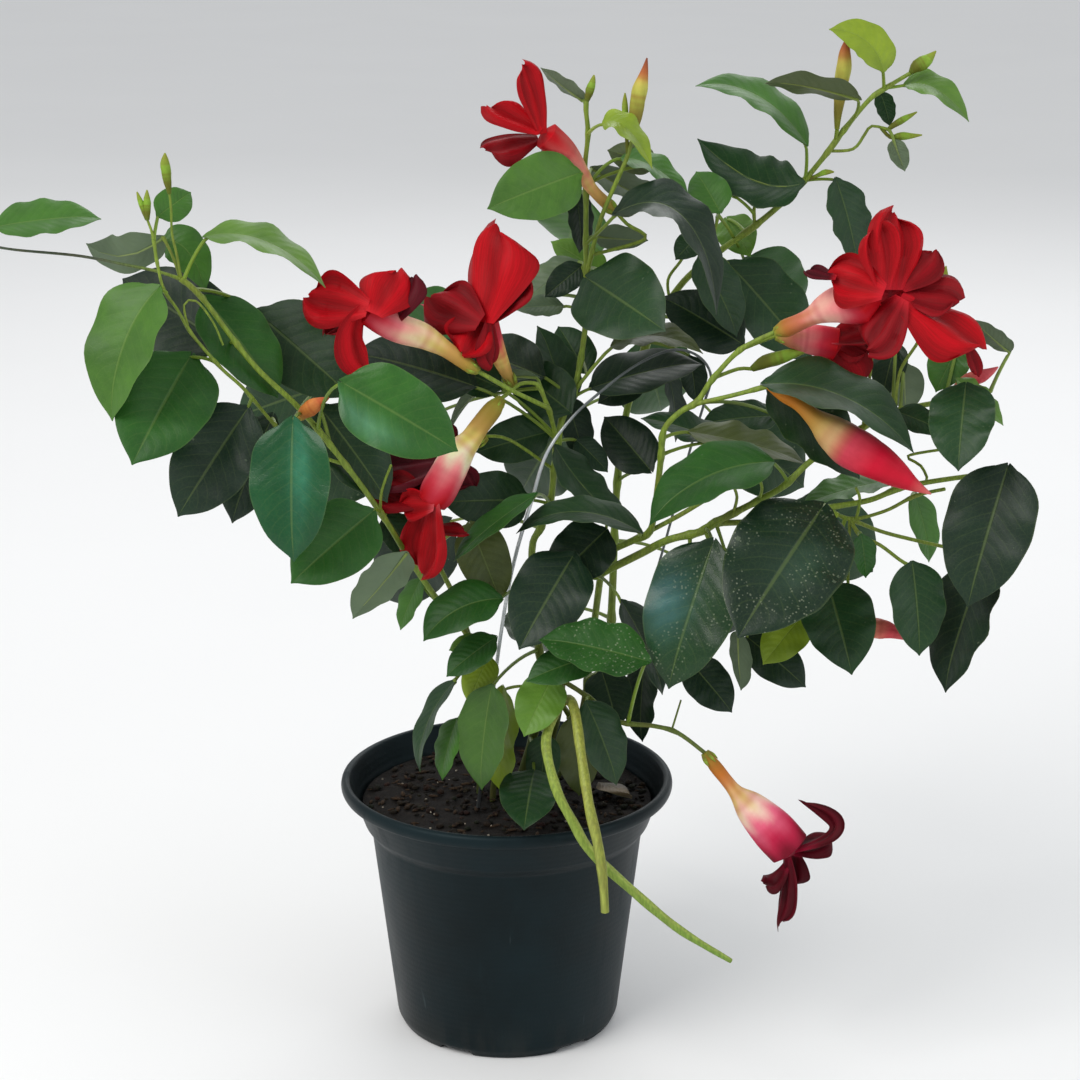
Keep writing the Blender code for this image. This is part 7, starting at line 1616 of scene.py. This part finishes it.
# --------------------------------------------------- dry leaf on the soil
bag = Bag()
a, b = pt(DRY[0]), pt(DRY[1])
ax = vnorm(vsub(b, a))
w = vnorm(vcross(ax, (0, 0, 1)))
n = vcross(w, ax)
top, low, col, lt, ll = [], [], [], [], []
for i in range(15):
    t = i / 14
    h = max(DRY[2] * 0.5 * smooth_prof(PROFILE_LEAF, t), 0.2)
    c = vadd(vlerp(a, b, t), vmul(n, 0.9 + 1.1 * math.sin(math.pi * t)))
    for s in S_COLS:
        p = vadd(c, vadd(vmul(w, h * s), vmul(n, -0.8 * s * s + 0.35 * math.sin(9 * t + 3 * s))))
        top.append(vadd(p, vmul(n, 0.12)))
        low.append(vsub(p, vmul(n, 0.12)))
        col.append(mixc(lin(104, 84, 52), lin(64, 52, 36), 0.5 + 0.5 * math.sin(7 * t + 2 * s)) + (0.0,))
        lt.append((t, s, 1.0))
        ll.append((t, s, 0.0))
add_sheet(bag, top, low, 15, len(S_COLS), col, lt, ll)
make_piece('v_leaf_dry', bag, [MAT['leaf']], ['leaf_dry'])

# --------------------------------------------------------- floor and light
me = bpy.data.meshes.new('floor')
me.from_pydata([(-14, -14, 0), (14, -14, 0), (14, 14, 0), (-14, 14, 0)], [], [(0, 1, 2, 3)])
floor = bpy.data.objects.new('floor', me)
bpy.context.scene.collection.objects.link(floor)
k = Nodes('floor_look')
fn = k.noise(3.0, 2.0)
k.put(k.b.inputs['Base Color'], k.mix(fn, (0.86, 0.86, 0.86), (0.89, 0.89, 0.89)))
k.b.inputs['Roughness'].default_value = 0.9
k.b.inputs['Specular IOR Level'].default_value = 0.1
me.materials.append(k.mat)

world = bpy.data.worlds.new('studio')
bpy.context.scene.world = world
world.use_nodes = True
bg = world.node_tree.nodes['Background']
bg.inputs['Color'].default_value = (0.96, 0.98, 1.0, 1.0)
bg.inputs['Strength'].default_value = 0.66


def area(name, loc, target, size, power, colour):
    d = bpy.data.lights.new(name, 'AREA')
    d.shape = 'RECTANGLE'
    d.size, d.size_y = size
    d.energy = power
    d.color = colour
    o = bpy.data.objects.new(name, d)
    o.location = loc
    o.rotation_euler = (Vector(target) - Vector(loc)).to_track_quat('-Z', 'Y').to_euler()
    bpy.context.scene.collection.objects.link(o)
    return o


area('key', (-1.3, -1.2, 1.9), (0.0, 0.0, 0.3), (1.4, 1.4), 34.0, (1.0, 0.98, 0.95))
area('fill', (1.8, -1.0, 1.0), (0.0, 0.0, 0.25), (1.2, 1.6), 8.0, (0.9, 0.95, 1.0))
area('back', (0.4, 1.8, 1.6), (0.0, 0.0, 0.3), (1.6, 1.0), 12.0, (1.0, 1.0, 1.0))

cam = bpy.data.cameras.new('camera')
cam.sensor_width = 36.0
cam.lens = EYE_F / 1080.0 * 36.0
cam.clip_start = 0.05
cam.clip_end = 60.0
co = bpy.data.objects.new('camera', cam)
co.location = tuple(c * 0.001 for c in EYE)
co.rotation_euler = (math.radians(90.0 - EYE_DIP), 0.0, 0.0)
bpy.context.scene.collection.objects.link(co)
bpy.context.scene.camera = co
bpy.context.scene.view_settings.view_transform = 'Standard'
